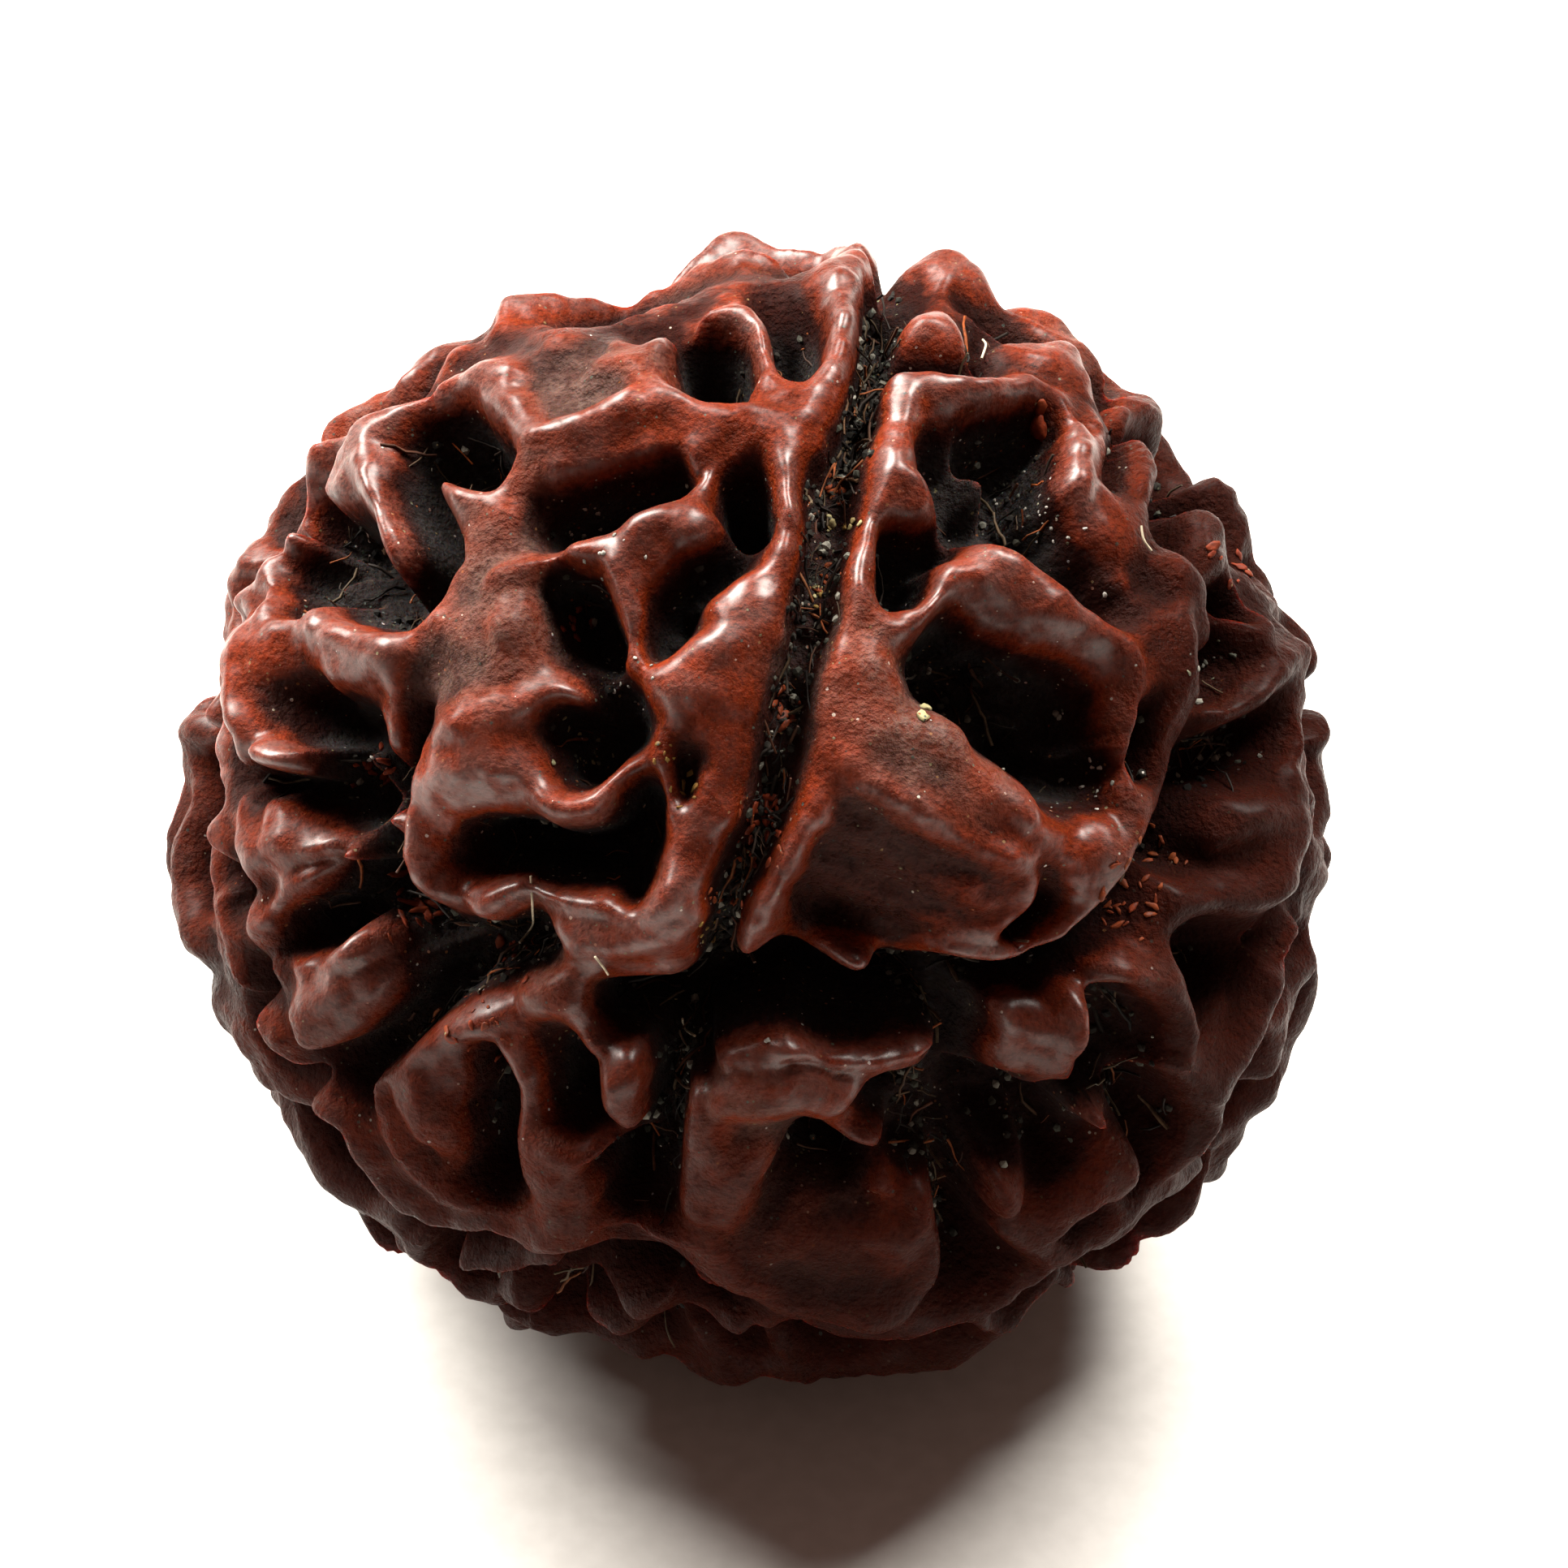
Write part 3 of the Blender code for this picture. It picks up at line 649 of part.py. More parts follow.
def shaped_ball(collection):
    """A fine ball pushed out to the bead's surface."""
    bpy.ops.mesh.primitive_ico_sphere_add(subdivisions=FINENESS, radius=1.0)
    ball = bpy.context.object
    for holder in list(ball.users_collection):
        holder.objects.unlink(ball)
    collection.objects.link(ball)
    coordinates = np.empty(len(ball.data.vertices) * 3)
    ball.data.vertices.foreach_get("co", coordinates)
    directions = unit(coordinates.reshape(-1, 3))
    edges = np.empty(len(ball.data.edges) * 2, np.int64)
    ball.data.edges.foreach_get("vertices", edges)
    edges = edges.reshape(-1, 2)
    smooth = surface_points(directions)
    edge_length = np.linalg.norm(smooth[edges[:, 0]] - smooth[edges[:, 1]], axis=1).mean()
    levels = softened(relief(directions), edges, edge_length)
    points = smooth + levels[:, None] * directions
    ball.data.vertices.foreach_set("co", (points + CENTRE).ravel() * METRES)
    ball.data.update()
    return ball


def thinned(ball):
    """The same surface with fewer triangles, close together only where it bends."""
    thin = ball.modifiers.new("thin", "DECIMATE")
    thin.ratio = MOST_TRIANGLES / len(ball.data.polygons)
    graph = bpy.context.evaluated_depsgraph_get()
    mesh = bpy.data.meshes.new_from_object(ball.evaluated_get(graph))
    ball.modifiers.clear()
    ball.data = mesh


def set_down(ball):
    """The lowest ridge tops are worn flat, all at one height, where the bead rests."""
    coordinates = np.empty(len(ball.data.vertices) * 3)
    ball.data.vertices.foreach_get("co", coordinates)
    points = coordinates.reshape(-1, 3)
    points[points[:, 2] < REST_SLACK * METRES, 2] = 0.0
    ball.data.vertices.foreach_set("co", points.ravel())
    ball.data.update()
    print("box in metres", points.min(axis=0), points.max(axis=0))


def build():
    clear_scene()
    collection = bpy.data.collections.new("rudraksha_bead")
    bpy.context.scene.collection.children.link(collection)
    bead = shaped_ball(collection)
    bead.name = "bead"
    thinned(bead)
    set_down(bead)
    bead.data.name = "bead"
    bead.data.materials.clear()
    bead.data.materials.append(bead_material())
    bead.data.shade_smooth()
    print("triangles", len(bead.data.polygons))


build()
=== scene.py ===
# %% [markdown]
# # A rudraksha bead
#
# The real object is the hard stone of a small blue fruit, dried and handled until it shines. Six deep
# furrows part it from pole to pole, and the faces between them are a maze of rounded ridges, knobs and
# pits. Ridge tops are polished red-brown; the pits hold black dust, crumbs and scraps of dry fibre.
#
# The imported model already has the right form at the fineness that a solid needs. This lesson makes the
# same form again from the same lines on a much finer ball, so that the ridges turn smoothly,
# and then gives it its colours, its polish and the dirt in its furrows.

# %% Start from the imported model
import bpy
import numpy as np
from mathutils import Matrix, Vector
from mathutils.bvhtree import BVHTree


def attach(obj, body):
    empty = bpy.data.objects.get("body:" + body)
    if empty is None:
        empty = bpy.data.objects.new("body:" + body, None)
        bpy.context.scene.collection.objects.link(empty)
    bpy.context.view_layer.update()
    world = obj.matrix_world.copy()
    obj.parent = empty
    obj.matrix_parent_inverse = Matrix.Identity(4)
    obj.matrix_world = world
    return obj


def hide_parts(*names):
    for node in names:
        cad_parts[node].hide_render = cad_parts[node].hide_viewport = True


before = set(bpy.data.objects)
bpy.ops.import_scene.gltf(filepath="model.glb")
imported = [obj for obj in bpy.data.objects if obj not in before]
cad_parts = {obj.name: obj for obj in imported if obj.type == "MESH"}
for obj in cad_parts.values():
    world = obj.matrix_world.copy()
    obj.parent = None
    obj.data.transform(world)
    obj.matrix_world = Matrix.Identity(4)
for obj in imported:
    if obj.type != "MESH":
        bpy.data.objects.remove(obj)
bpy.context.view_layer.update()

METRES = 0.001

# %% [markdown]
# ## Sizes
#
# All sizes are in millimetres and turn into metres only when a mesh is written. The bead is squat: a
# little wider across its girth than from pole to pole. Its ridges were placed from one line of sight,
# 45 degrees above the table, so the directions right, up and toward the eye are fixed first, and the
# bead's own axes, with the pole that shows, are laid out from them.

# %% The bead's sizes and the line of sight
GIRTH_RADIUS = 10.9
POLE_RADIUS = 9.35
CENTRE = np.array([0.151, 0.016, 10.05])
REST_SLACK = 0.03

SIGHT_HEIGHT = np.radians(45.0)
SIGHT_DISTANCE = 250.0
POLE_RIGHT = -0.062
POLE_UP = -0.36

RIGHT = np.array([1.0, 0.0, 0.0])
UP = np.array([0.0, np.sin(SIGHT_HEIGHT), np.cos(SIGHT_HEIGHT)])
TOWARD = np.array([0.0, -np.cos(SIGHT_HEIGHT), np.sin(SIGHT_HEIGHT)])


def unit(vectors):
    """The vectors, each made one long."""
    return vectors / np.linalg.norm(vectors, axis=-1, keepdims=True)


AXIS = unit(POLE_RIGHT * RIGHT + POLE_UP * UP + np.sqrt(1 - POLE_RIGHT**2 - POLE_UP**2) * TOWARD)
SIDE = unit(np.cross(UP, AXIS))
OWN_AXES = np.array([SIDE, np.cross(AXIS, SIDE), AXIS])
print("the pole that shows points along", AXIS.round(3))

# %% [markdown]
# ## The lines of ridges and pits
#
# A ridge is easiest to describe by the line along its top, and a pit or furrow by the line along its
# floor. Each line below is a half width and a few points: right, up and level in millimetres, where
# level 0 is the height that most ridge tops reach. They are placed one by one, one line for each
# ridge or pit that can be seen, and rounded into smooth curves later. Sculpting the bead freely would
# be quicker to start, but could not be repeated on a finer mesh, as is done here. The lists are long,
# because this surface is what the bead is; the rule that reads them is short.

# %% Lines along the ridge tops and the pit floors
CREST_LINES = [
    # Upper left face, outer part: banks on the rim, the rib that drops into the pit, the wide saddle
    (0.28, [(-9.8, 3.15, -0.1), (-9.3, 3.5, 0), (-8.8, 3.65, 0), (-8.2, 3.5, 0), (-7.6, 3.25, 0),
            (-6.9, 3.05, 0)]),
    (0.28, [(-8.0, 6.5, -0.2), (-7.6, 7.0, 0), (-7.0, 7.5, 0), (-6.3, 7.9, 0), (-5.6, 8.25, 0),
            (-4.9, 8.2, 0)]),
    (0.3, [(-7.6, 6.9, 0), (-7.3, 6.7, 0)]),
    (0.22, [(-7.4, 6.5, 0), (-7.3, 6.1, -0.1), (-7.15, 5.6, -0.3), (-7.0, 5.0, -0.5), (-6.75, 4.4, -0.8)
            ]),
    (0.25, [(-9.1, 5.3, -0.1), (-8.85, 5.8, 0), (-8.4, 6.15, -0.1), (-8.0, 6.35, -0.15)]),
    (0.15, [(-9.45, 4.8, -0.2), (-9.35, 4.2, -0.1), (-9.4, 3.7, -0.1)]),
    (0.1, [(-6.05, 6.3, -0.55), (-5.7, 6.13, -0.25), (-5.3, 5.95, -0.1), (-4.9, 5.9, 0)]),
    (0.3, [(-5.15, 8.0, 0), (-4.85, 7.7, 0), (-4.5, 7.35, 0), (-4.2, 7.05, 0)]),
    (0.42, [(-4.4, 6.6, -0.2), (-4.75, 6.0, -0.4), (-5.1, 5.3, -0.55), (-5.3, 4.6, -0.6),
            (-5.5, 3.9, -0.6), (-6.1, 3.1, -0.5)]),
    (0.4, [(-6.4, 2.75, -0.45), (-5.8, 2.6, -0.5), (-5.2, 2.9, -0.45)]),
    (0.5, [(-3.9, 8.7, -0.6), (-3.6, 8.2, -0.8), (-3.2, 7.9, -0.7)]),
    (0.4, [(-2.9, 8.3, -0.3), (-2.5, 8.6, -0.35)]),
    # Upper left face, inner part: the cushion, the long crest, the flat boss and the hooked lobe
    (0.3, [(-4.2, 7.0, 0), (-3.8, 7.1, 0), (-3.3, 7.22, 0.15), (-2.9, 7.4, 0.1), (-2.4, 7.6, 0.25),
           (-1.9, 7.7, 0.15)]),
    (0.22, [(-1.9, 7.75, 0), (-1.5, 7.65, 0), (-1.2, 7.45, 0)]),
    (0.3, [(-3.8, 6.6, -0.2), (-3.0, 6.75, -0.25), (-2.3, 6.95, -0.2), (-1.7, 7.0, -0.12)]),
    (0.3, [(-1.3, 6.8, -0.1), (-0.95, 7.1, -0.05)]),
    (0.18, [(-5.0, 4.4, 0), (-4.6, 4.55, 0.1), (-4.1, 4.7, 0.15), (-3.5, 4.9, 0.15), (-3.1, 4.95, 0.1),
            (-2.7, 4.9, 0)]),
    (0.18, [(-2.7, 4.9, 0), (-2.3, 5.2, 0), (-1.95, 5.5, 0), (-1.6, 5.75, 0), (-1.2, 6.1, 0),
            (-0.8, 6.45, 0)]),
    (0.18, [(-0.8, 6.45, 0), (-0.45, 6.8, 0), (-0.1, 7.1, 0), (0.3, 7.2, 0)]),
    (0.5, [(-1.35, 5.6, 0.12), (-1.1, 5.35, 0.1)]),
    (0.28, [(-1.1, 7.4, -0.05), (-0.6, 7.5, 0), (0, 7.45, 0), (0.5, 7.3, 0), (0.95, 7.45, 0), (1.3, 7.8, 0)
            ]),
    (0.3, [(1.3, 7.8, 0), (1.5, 8.3, 0), (1.62, 8.9, 0), (1.65, 9.5, 0), (1.75, 10.0, 0), (1.95, 10.4, 0)
           ]),
    (0.22, [(0.4, 6.95, 0), (0.85, 6.9, -0.1), (1.25, 7.15, -0.15)]),
    (0.3, [(-1.9, 8.9, -0.1), (-1.3, 9.3, 0), (-0.7, 9.6, 0), (-0.2, 9.5, 0), (0.05, 9.1, -0.1),
           (0.1, 8.5, -0.2)]),
    (0.2, [(0.1, 8.5, -0.2), (0.2, 8.0, -0.2), (0.6, 7.9, -0.3)]),
    (0.2, [(-2.1, 8.6, -0.25), (-2.1, 8.1, -0.2), (-2.0, 7.9, -0.05)]),
    (0.17, [(0.5, 6.6, -0.05), (0.52, 6.0, 0), (0.68, 5.4, 0), (0.55, 4.9, 0), (0.4, 4.4, 0),
            (0.38, 3.9, 0)]),
    (0.15, [(-2.1, 4.5, -0.4), (-1.6, 4.85, -0.3)]),
    (0.32, [(-0.65, 3.85, -0.1), (-0.3, 4.1, -0.1), (0.0, 4.4, -0.05)]),
    (0.18, [(-2.65, 4.6, 0), (-2.45, 4.0, -0.05), (-2.35, 3.5, 0), (-2.35, 3.0, -0.1), (-2.4, 2.75, -0.3)
            ]),
    (0.12, [(-3.25, 3.6, -0.9), (-3.1, 3.55, -0.9)]),
    (0.38, [(-4.5, 4.0, 0), (-4.6, 3.4, 0.05), (-4.6, 2.9, -0.2)]),
    (0.3, [(-6.1, 1.3, 0), (-5.8, 1.6, 0.2), (-5.3, 1.7, 0.3), (-4.8, 1.85, 0.35), (-4.3, 2.0, 0.3)]),
    (0.25, [(-4.3, 2.0, 0.3), (-3.9, 2.15, 0.15), (-3.55, 2.15, -0.05)]),
    (0.5, [(-5.9, 0.8, 0), (-5.3, 0.9, 0.15), (-4.7, 1.1, 0.1)]),
    (0.3, [(-6.2, 0.1, -0.25), (-6.1, -0.45, -0.45), (-5.6, 0.15, -0.2), (-5.0, 0.3, -0.35)]),
    (0.2, [(-4.35, 1.4, -0.35), (-4.2, 0.8, -0.25), (-4.0, 0.35, -0.1), (-3.6, 0.1, 0), (-3.2, 0.15, 0)]),
    (0.18, [(-3.2, 0.15, 0), (-2.9, 0.4, -0.05), (-2.55, 0.75, -0.2), (-2.2, 1.0, -0.5)]),
    (0.4, [(-1.8, 2.5, 0.1), (-1.5, 2.75, 0.3), (-1.1, 2.95, 0.35), (-0.6, 3.1, 0.25), (-0.1, 3.2, 0.1),
           (0.2, 3.3, 0)]),
    (0.5, [(-1.4, 2.3, 0.15), (-0.8, 2.3, 0.15), (-0.4, 2.2, 0.05)]),
    (0.35, [(-1.2, 1.7, -0.3), (-0.7, 1.5, -0.2), (-0.5, 0.8, -0.2)]),
    (0.18, [(0.3, 3.4, 0), (0.15, 2.6, -0.05), (0.0, 2.0, -0.1), (-0.1, 1.4, -0.1), (-0.2, 0.8, -0.1)]),
    (0.18, [(-0.2, 0.8, -0.1), (-0.4, 0.2, -0.1), (-0.7, -0.4, -0.1), (-0.95, -0.9, -0.1),
            (-1.15, -1.4, -0.1)]),
    (0.14, [(-1.8, 1.3, -0.4), (-1.72, 0.8, -0.25), (-1.7, 0.3, -0.2), (-1.7, -0.2, -0.15)]),
    (0.2, [(-0.9, 0.5, 0), (-1.15, 0, 0), (-1.45, -0.5, 0), (-1.5, -0.9, -0.1), (-1.45, -1.3, -0.05)]),
    # The broad ledge left of the pole
    (0.2, [(-5.2, -1.9, -0.5), (-4.9, -1.55, -0.25), (-4.5, -1.35, -0.1), (-4.1, -1.5, 0), (-3.6, -1.7, 0)
           ]),
    (0.22, [(-3.6, -1.7, 0), (-3.1, -1.8, 0), (-2.7, -1.9, 0), (-2.3, -2.05, -0.05), (-1.95, -1.9, 0)]),
    (0.25, [(-1.95, -1.9, 0), (-1.6, -1.6, 0.05), (-1.3, -1.7, 0), (-1.1, -2.1, -0.05)]),
    (0.35, [(-3.2, -2.4, -0.3), (-2.4, -2.5, -0.3), (-1.6, -2.4, -0.25)]),
    (0.25, [(-3.3, -3.0, -0.8), (-2.4, -3.05, -0.85), (-1.5, -2.95, -0.75)]),
    # Right bank of the top groove and the knobs along it
    (0.33, [(2.7, 8.1, 0.05), (2.8, 7.8, 0)]),
    (0.17, [(2.6, 8.35, 0), (3.1, 8.25, 0), (3.6, 8.1, 0), (4.2, 8.0, 0), (4.8, 8.05, 0), (5.3, 8.1, 0)]),
    (0.17, [(5.3, 8.1, 0), (5.8, 7.95, 0), (6.0, 7.6, 0)]),
    (0.28, [(2.75, 7.5, -0.05), (2.7, 7.0, -0.05), (2.6, 6.6, 0), (2.65, 6.2, 0)]),
    (0.38, [(2.55, 5.9, 0), (3.0, 5.9, 0.05), (3.1, 5.65, -0.05)]),
    (0.2, [(2.2, 5.4, 0), (2.0, 5.0, 0), (1.9, 4.5, 0), (2.0, 4.0, 0.05), (1.8, 3.5, 0), (1.6, 3.1, 0)]),
    (0.2, [(1.5, 2.9, 0), (1.35, 2.4, 0), (1.35, 1.8, 0), (1.35, 1.2, 0), (1.15, 0.6, 0), (1.0, 0, 0)]),
    (0.2, [(1.0, 0, 0.1), (0.75, -0.6, 0.1), (0.45, -1.2, 0.1), (0.15, -1.7, 0.05), (-0.1, -2.2, -0.1)]),
    (0.18, [(-0.1, -2.2, -0.1), (-0.25, -2.7, -0.4)]),
    (0.45, [(3.2, 9.35, 0), (3.5, 9.2, 0), (3.7, 9.0, -0.1)]),
    (0.42, [(4.8, 8.9, -0.1), (5.3, 8.75, 0), (5.9, 8.6, 0.1), (6.2, 8.4, 0.05)]),
    (0.2, [(2.3, 3.6, -0.1), (2.7, 3.55, -0.1), (3.0, 3.8, -0.1)]),
    # Upper right face: the long knob, the high rim round the great hollow, the outer rims
    (0.4, [(6.1, 7.3, 0.05), (6.15, 6.9, 0.3), (6.1, 6.4, 0.35), (6.05, 5.9, 0.1)]),
    (0.08, [(6.6, 7.3, -0.1), (6.72, 6.7, -0.1), (6.6, 6.0, -0.15), (6.4, 5.5, -0.3)]),
    (0.28, [(7.3, 7.2, -0.2), (7.35, 6.8, -0.1), (7.25, 6.3, -0.1), (7.0, 5.8, -0.2), (6.8, 5.3, -0.2)]),
    (0.25, [(3.3, 3.9, 0), (3.6, 4.5, 0), (4.2, 4.8, 0), (4.8, 4.65, 0), (5.2, 4.3, 0), (5.7, 3.9, 0)]),
    (0.25, [(5.7, 3.9, 0), (6.3, 3.6, 0), (6.8, 3.35, 0), (7.1, 2.9, 0), (7.25, 2.3, -0.05)]),
    (0.1, [(3.2, 3.6, 0.05), (3.5, 4.2, 0.1), (4.1, 4.6, 0.15), (4.6, 4.3, 0.12), (5.1, 3.95, 0.08)]),
    (0.1, [(5.1, 3.95, 0.08), (5.6, 3.55, 0.05), (6.2, 3.4, 0.05), (6.7, 3.2, 0.03)]),
    (0.15, [(4.2, 3.95, -0.5), (5.1, 3.3, -0.5), (6.0, 3.0, -0.5), (6.7, 2.5, -0.5), (6.8, 1.7, -0.5)]),
    (0.1, [(7.25, 2.0, -0.1), (7.1, 1.4, -0.1), (7.1, 0.8, -0.1), (7.2, 0.4, -0.05)]),
    (0.1, [(8.0, 4.0, -0.2), (8.1, 3.2, -0.1), (8.1, 2.5, -0.1), (8.0, 1.9, -0.1), (7.9, 1.3, -0.1)]),
    (0.1, [(7.9, 1.3, -0.1), (7.7, 0.6, -0.1), (7.45, 0.1, -0.05), (7.3, -0.4, -0.05), (7.0, -0.9, -0.05)
           ]),
    (0.1, [(7.0, -0.9, -0.05), (6.8, -1.4, -0.1), (6.4, -1.9, -0.15), (5.9, -2.4, -0.3), (5.3, -2.8, -0.4)
           ]),
    (0.12, [(5.3, -2.8, -0.4), (4.6, -2.9, -0.5), (3.9, -2.85, -0.7)]),
    (0.28, [(7.1, 4.3, -0.1), (7.4, 3.9, -0.1), (7.6, 3.4, -0.15), (7.8, 2.9, -0.15), (7.6, 2.4, -0.2)]),
    (0.1, [(8.0, 4.5, -0.1), (8.3, 4.1, -0.1), (8.5, 3.7, -0.1), (8.75, 3.3, -0.15)]),
    (0.15, [(10.2, 2.95, 0), (9.9, 2.55, 0), (9.6, 2.2, -0.1), (9.2, 1.85, -0.4)]),
    (0.25, [(10.3, 2.2, 0), (10.35, 1.4, 0), (10.3, 0.6, 0), (10.25, -0.2, 0), (10.2, -0.8, 0)]),
    (0.1, [(10.0, 0.0, -0.1), (9.6, -0.15, -0.3), (9.15, -0.5, -0.6)]),
    (0.15, [(10.2, -0.9, 0), (10.0, -1.2, 0), (9.8, -1.5, 0), (9.4, -1.75, -0.1), (8.8, -1.7, -0.3)]),
    (0.12, [(8.8, -1.7, -0.3), (8.3, -1.6, -0.5)]),
    (0.13, [(7.6, -1.25, -0.5), (7.3, -1.75, -0.5), (6.9, -2.25, -0.5), (6.6, -2.55, -0.6)]),
    (0.38, [(8.3, 6.0, -0.1), (8.55, 5.6, 0), (8.8, 5.0, 0), (9.1, 4.6, 0), (9.4, 4.0, 0), (9.6, 3.5, 0)
            ]),
    # The crusted table and the smooth wedge that falls from it to the pole
    (0.5, [(2.0, 3.1, -0.05), (2.1, 2.4, -0.05), (2.1, 1.8, -0.05)]),
    (0.5, [(2.8, 1.3, -0.1), (3.4, 0.9, -0.1), (3.9, 0.4, -0.1), (4.4, -0.1, -0.1)]),
    (0.18, [(3.6, 1.5, 0.08), (3.75, 1.4, 0.05)]),
    (0.2, [(4.65, 0.2, 0.1), (5.1, -0.05, 0.08)]),
    (0.12, [(1.6, 1.2, 0.1), (1.85, 0.75, 0.15), (2.3, 0.4, 0.2), (2.8, 0.1, 0.2), (3.3, -0.2, 0.2)]),
    (0.12, [(3.3, -0.2, 0.2), (3.6, -0.4, 0.2), (4.0, -0.6, 0.15), (4.6, -0.8, 0.1), (5.1, -0.95, 0.05)]),
    (0.35, [(2.0, -0.2, -0.8), (2.8, -0.7, -0.75), (3.6, -1.2, -0.6), (4.4, -1.6, -0.45)]),
    (0.3, [(1.4, -0.9, -1.2), (2.0, -1.2, -1.5), (2.9, -1.7, -1.4), (3.7, -2.1, -1.1)]),
    (0.25, [(1.1, -1.8, -1.9), (1.9, -2.1, -2.2), (2.8, -2.4, -2.0)]),
    (0.12, [(5.3, -1.35, -0.1), (5.2, -1.8, -0.25), (4.8, -2.2, -0.5), (4.2, -2.5, -0.9), (3.6, -2.65, -1.4)
            ]),
    (0.28, [(5.7, -0.6, -0.12), (6.2, -0.8, -0.12), (6.2, -1.4, -0.2), (6.6, -0.4, -0.08)]),
    (0.16, [(1.0, -2.55, -1.7), (1.4, -2.75, -1.0), (1.8, -2.95, -0.6), (2.05, -3.05, -0.6)]),
    # Lower right face
    (0.18, [(6.8, -3.05, -0.3), (7.3, -3.2, -0.15), (7.8, -3.45, -0.05), (8.15, -3.8, 0), (8.25, -4.3, 0)
            ]),
    (0.18, [(8.25, -4.3, 0), (8.15, -4.8, -0.05)]),
    (0.12, [(5.9, -3.1, -0.6), (6.15, -3.5, -0.3), (6.25, -4.1, -0.15), (6.15, -4.6, -0.2),
            (5.95, -5.0, -0.4)]),
    (0.45, [(5.2, -3.8, -0.9), (5.3, -4.3, -0.7), (5.1, -4.8, -0.9)]),
    (0.45, [(6.45, -5.7, 0.4), (6.5, -6.0, 0.5)]),
    (0.15, [(8.2, -5.0, -0.1), (8.5, -5.3, 0), (8.65, -5.7, 0), (8.5, -6.2, 0), (8.1, -6.7, 0)]),
    (0.15, [(8.1, -6.7, 0), (7.5, -7.3, 0), (6.9, -7.75, 0), (6.3, -8.15, 0), (5.8, -8.35, 0),
            (5.2, -8.3, 0)]),
    (0.15, [(5.2, -8.3, 0), (4.8, -8.1, -0.1)]),
    (0.38, [(7.0, -7.0, -0.15), (6.3, -7.3, -0.2), (5.8, -7.7, -0.15)]),
    (0.33, [(4.7, -7.2, 0), (4.7, -7.6, 0)]),
    (0.1, [(10.4, -2.3, 0), (10.15, -2.9, 0), (9.85, -3.5, 0), (9.55, -4.05, 0), (9.2, -4.6, 0),
           (8.8, -5.0, 0)]),
    (0.25, [(9.3, -3.4, -0.5), (9.0, -4.0, -0.45), (8.8, -4.4, -0.4)]),
    # Bottom face: the lobe under the pole, its stem, and the two plates below
    (0.35, [(-0.6, -4.8, -0.2), (0.1, -4.6, -0.1), (0.8, -4.45, 0), (1.5, -4.7, -0.1), (2.0, -4.8, -0.15)
            ]),
    (0.35, [(-0.6, -5.5, -0.15), (0.2, -5.4, -0.15), (1.0, -5.3, -0.2), (1.5, -5.5, -0.25)]),
    (0.35, [(-0.9, -6.2, -0.15), (-0.85, -6.9, -0.1), (-0.75, -7.3, -0.1), (-0.2, -6.7, -0.2)]),
    (0.1, [(-1.2, -5.3, -0.2), (-1.33, -6.2, -0.1), (-1.38, -7.0, 0), (-1.33, -7.6, 0), (-0.5, -7.55, -0.1)
           ]),
    (0.2, [(2.3, -4.8, -0.45), (2.9, -4.75, -0.5), (3.4, -4.6, -0.4), (3.85, -4.5, -0.3)]),
    (0.18, [(1.8, -6.4, -0.9), (2.4, -6.45, -0.7)]),
    (0.45, [(0.4, -8.25, -0.25), (1.2, -8.3, -0.3), (2.0, -8.3, -0.3), (2.8, -8.3, -0.2)]),
    (0.2, [(0.8, -7.65, -0.7), (1.6, -7.6, -0.8), (2.6, -7.45, -0.6)]),
    (0.13, [(-1.0, -8.2, -0.1), (-0.6, -8.6, 0), (-0.1, -8.95, 0), (0.4, -9.2, 0), (1.0, -9.35, 0)]),
    (0.13, [(1.0, -9.35, 0), (1.6, -9.4, 0), (2.3, -9.35, 0), (2.9, -9.2, 0), (3.35, -8.95, 0)]),
    (0.13, [(3.35, -8.95, 0), (3.45, -8.5, 0), (3.35, -8.0, -0.05), (3.2, -7.5, -0.2)]),
    (0.12, [(0.3, -9.75, 0), (0.8, -9.98, 0), (1.5, -10.05, 0), (2.3, -10.0, 0), (3.0, -9.85, 0)]),
    (0.12, [(3.0, -9.85, 0), (3.7, -9.6, 0), (4.4, -9.35, 0), (5.0, -9.2, 0), (5.3, -8.95, -0.1)]),
    # Lower left faces: tongue, twin lobe, the leaf-shaped bowl and the long outer ring
    (0.5, [(-2.45, -4.5, 0.0), (-2.4, -5.0, -0.05), (-2.5, -5.6, -0.1), (-2.45, -5.9, -0.15)]),
    (0.45, [(-3.95, -6.4, 0), (-3.7, -6.9, 0.1), (-3.4, -7.4, 0)]),
    (0.4, [(-3.4, -6.3, -0.1), (-3.15, -6.8, 0), (-3.0, -7.3, -0.1)]),
    (0.2, [(-4.35, -5.2, -0.3), (-4.3, -5.9, -0.15), (-4.3, -6.6, -0.05), (-4.1, -7.2, 0), (-3.8, -7.6, 0)
           ]),
    (0.33, [(-4.4, -3.6, -0.3), (-3.9, -3.6, -0.25), (-3.5, -3.9, -0.3), (-3.1, -4.4, -0.3)]),
    (0.12, [(-3.6, -2.3, -0.4), (-3.45, -2.9, -0.4), (-3.55, -3.4, -0.3)]),
    (0.14, [(-7.35, -5.15, -0.1), (-6.9, -4.9, -0.15), (-6.4, -4.5, -0.2), (-5.9, -4.25, -0.25),
            (-5.1, -4.0, -0.3)]),
    (0.12, [(-7.35, -5.3, 0), (-7.15, -5.8, 0), (-6.8, -6.3, 0), (-6.4, -6.8, 0), (-5.9, -7.2, 0)]),
    (0.12, [(-5.9, -7.2, 0), (-5.4, -7.45, 0), (-4.9, -7.6, 0), (-4.4, -7.65, 0)]),
    (0.6, [(-6.6, -5.4, -0.15), (-6.1, -6.0, -0.2), (-5.7, -6.6, -0.3)]),
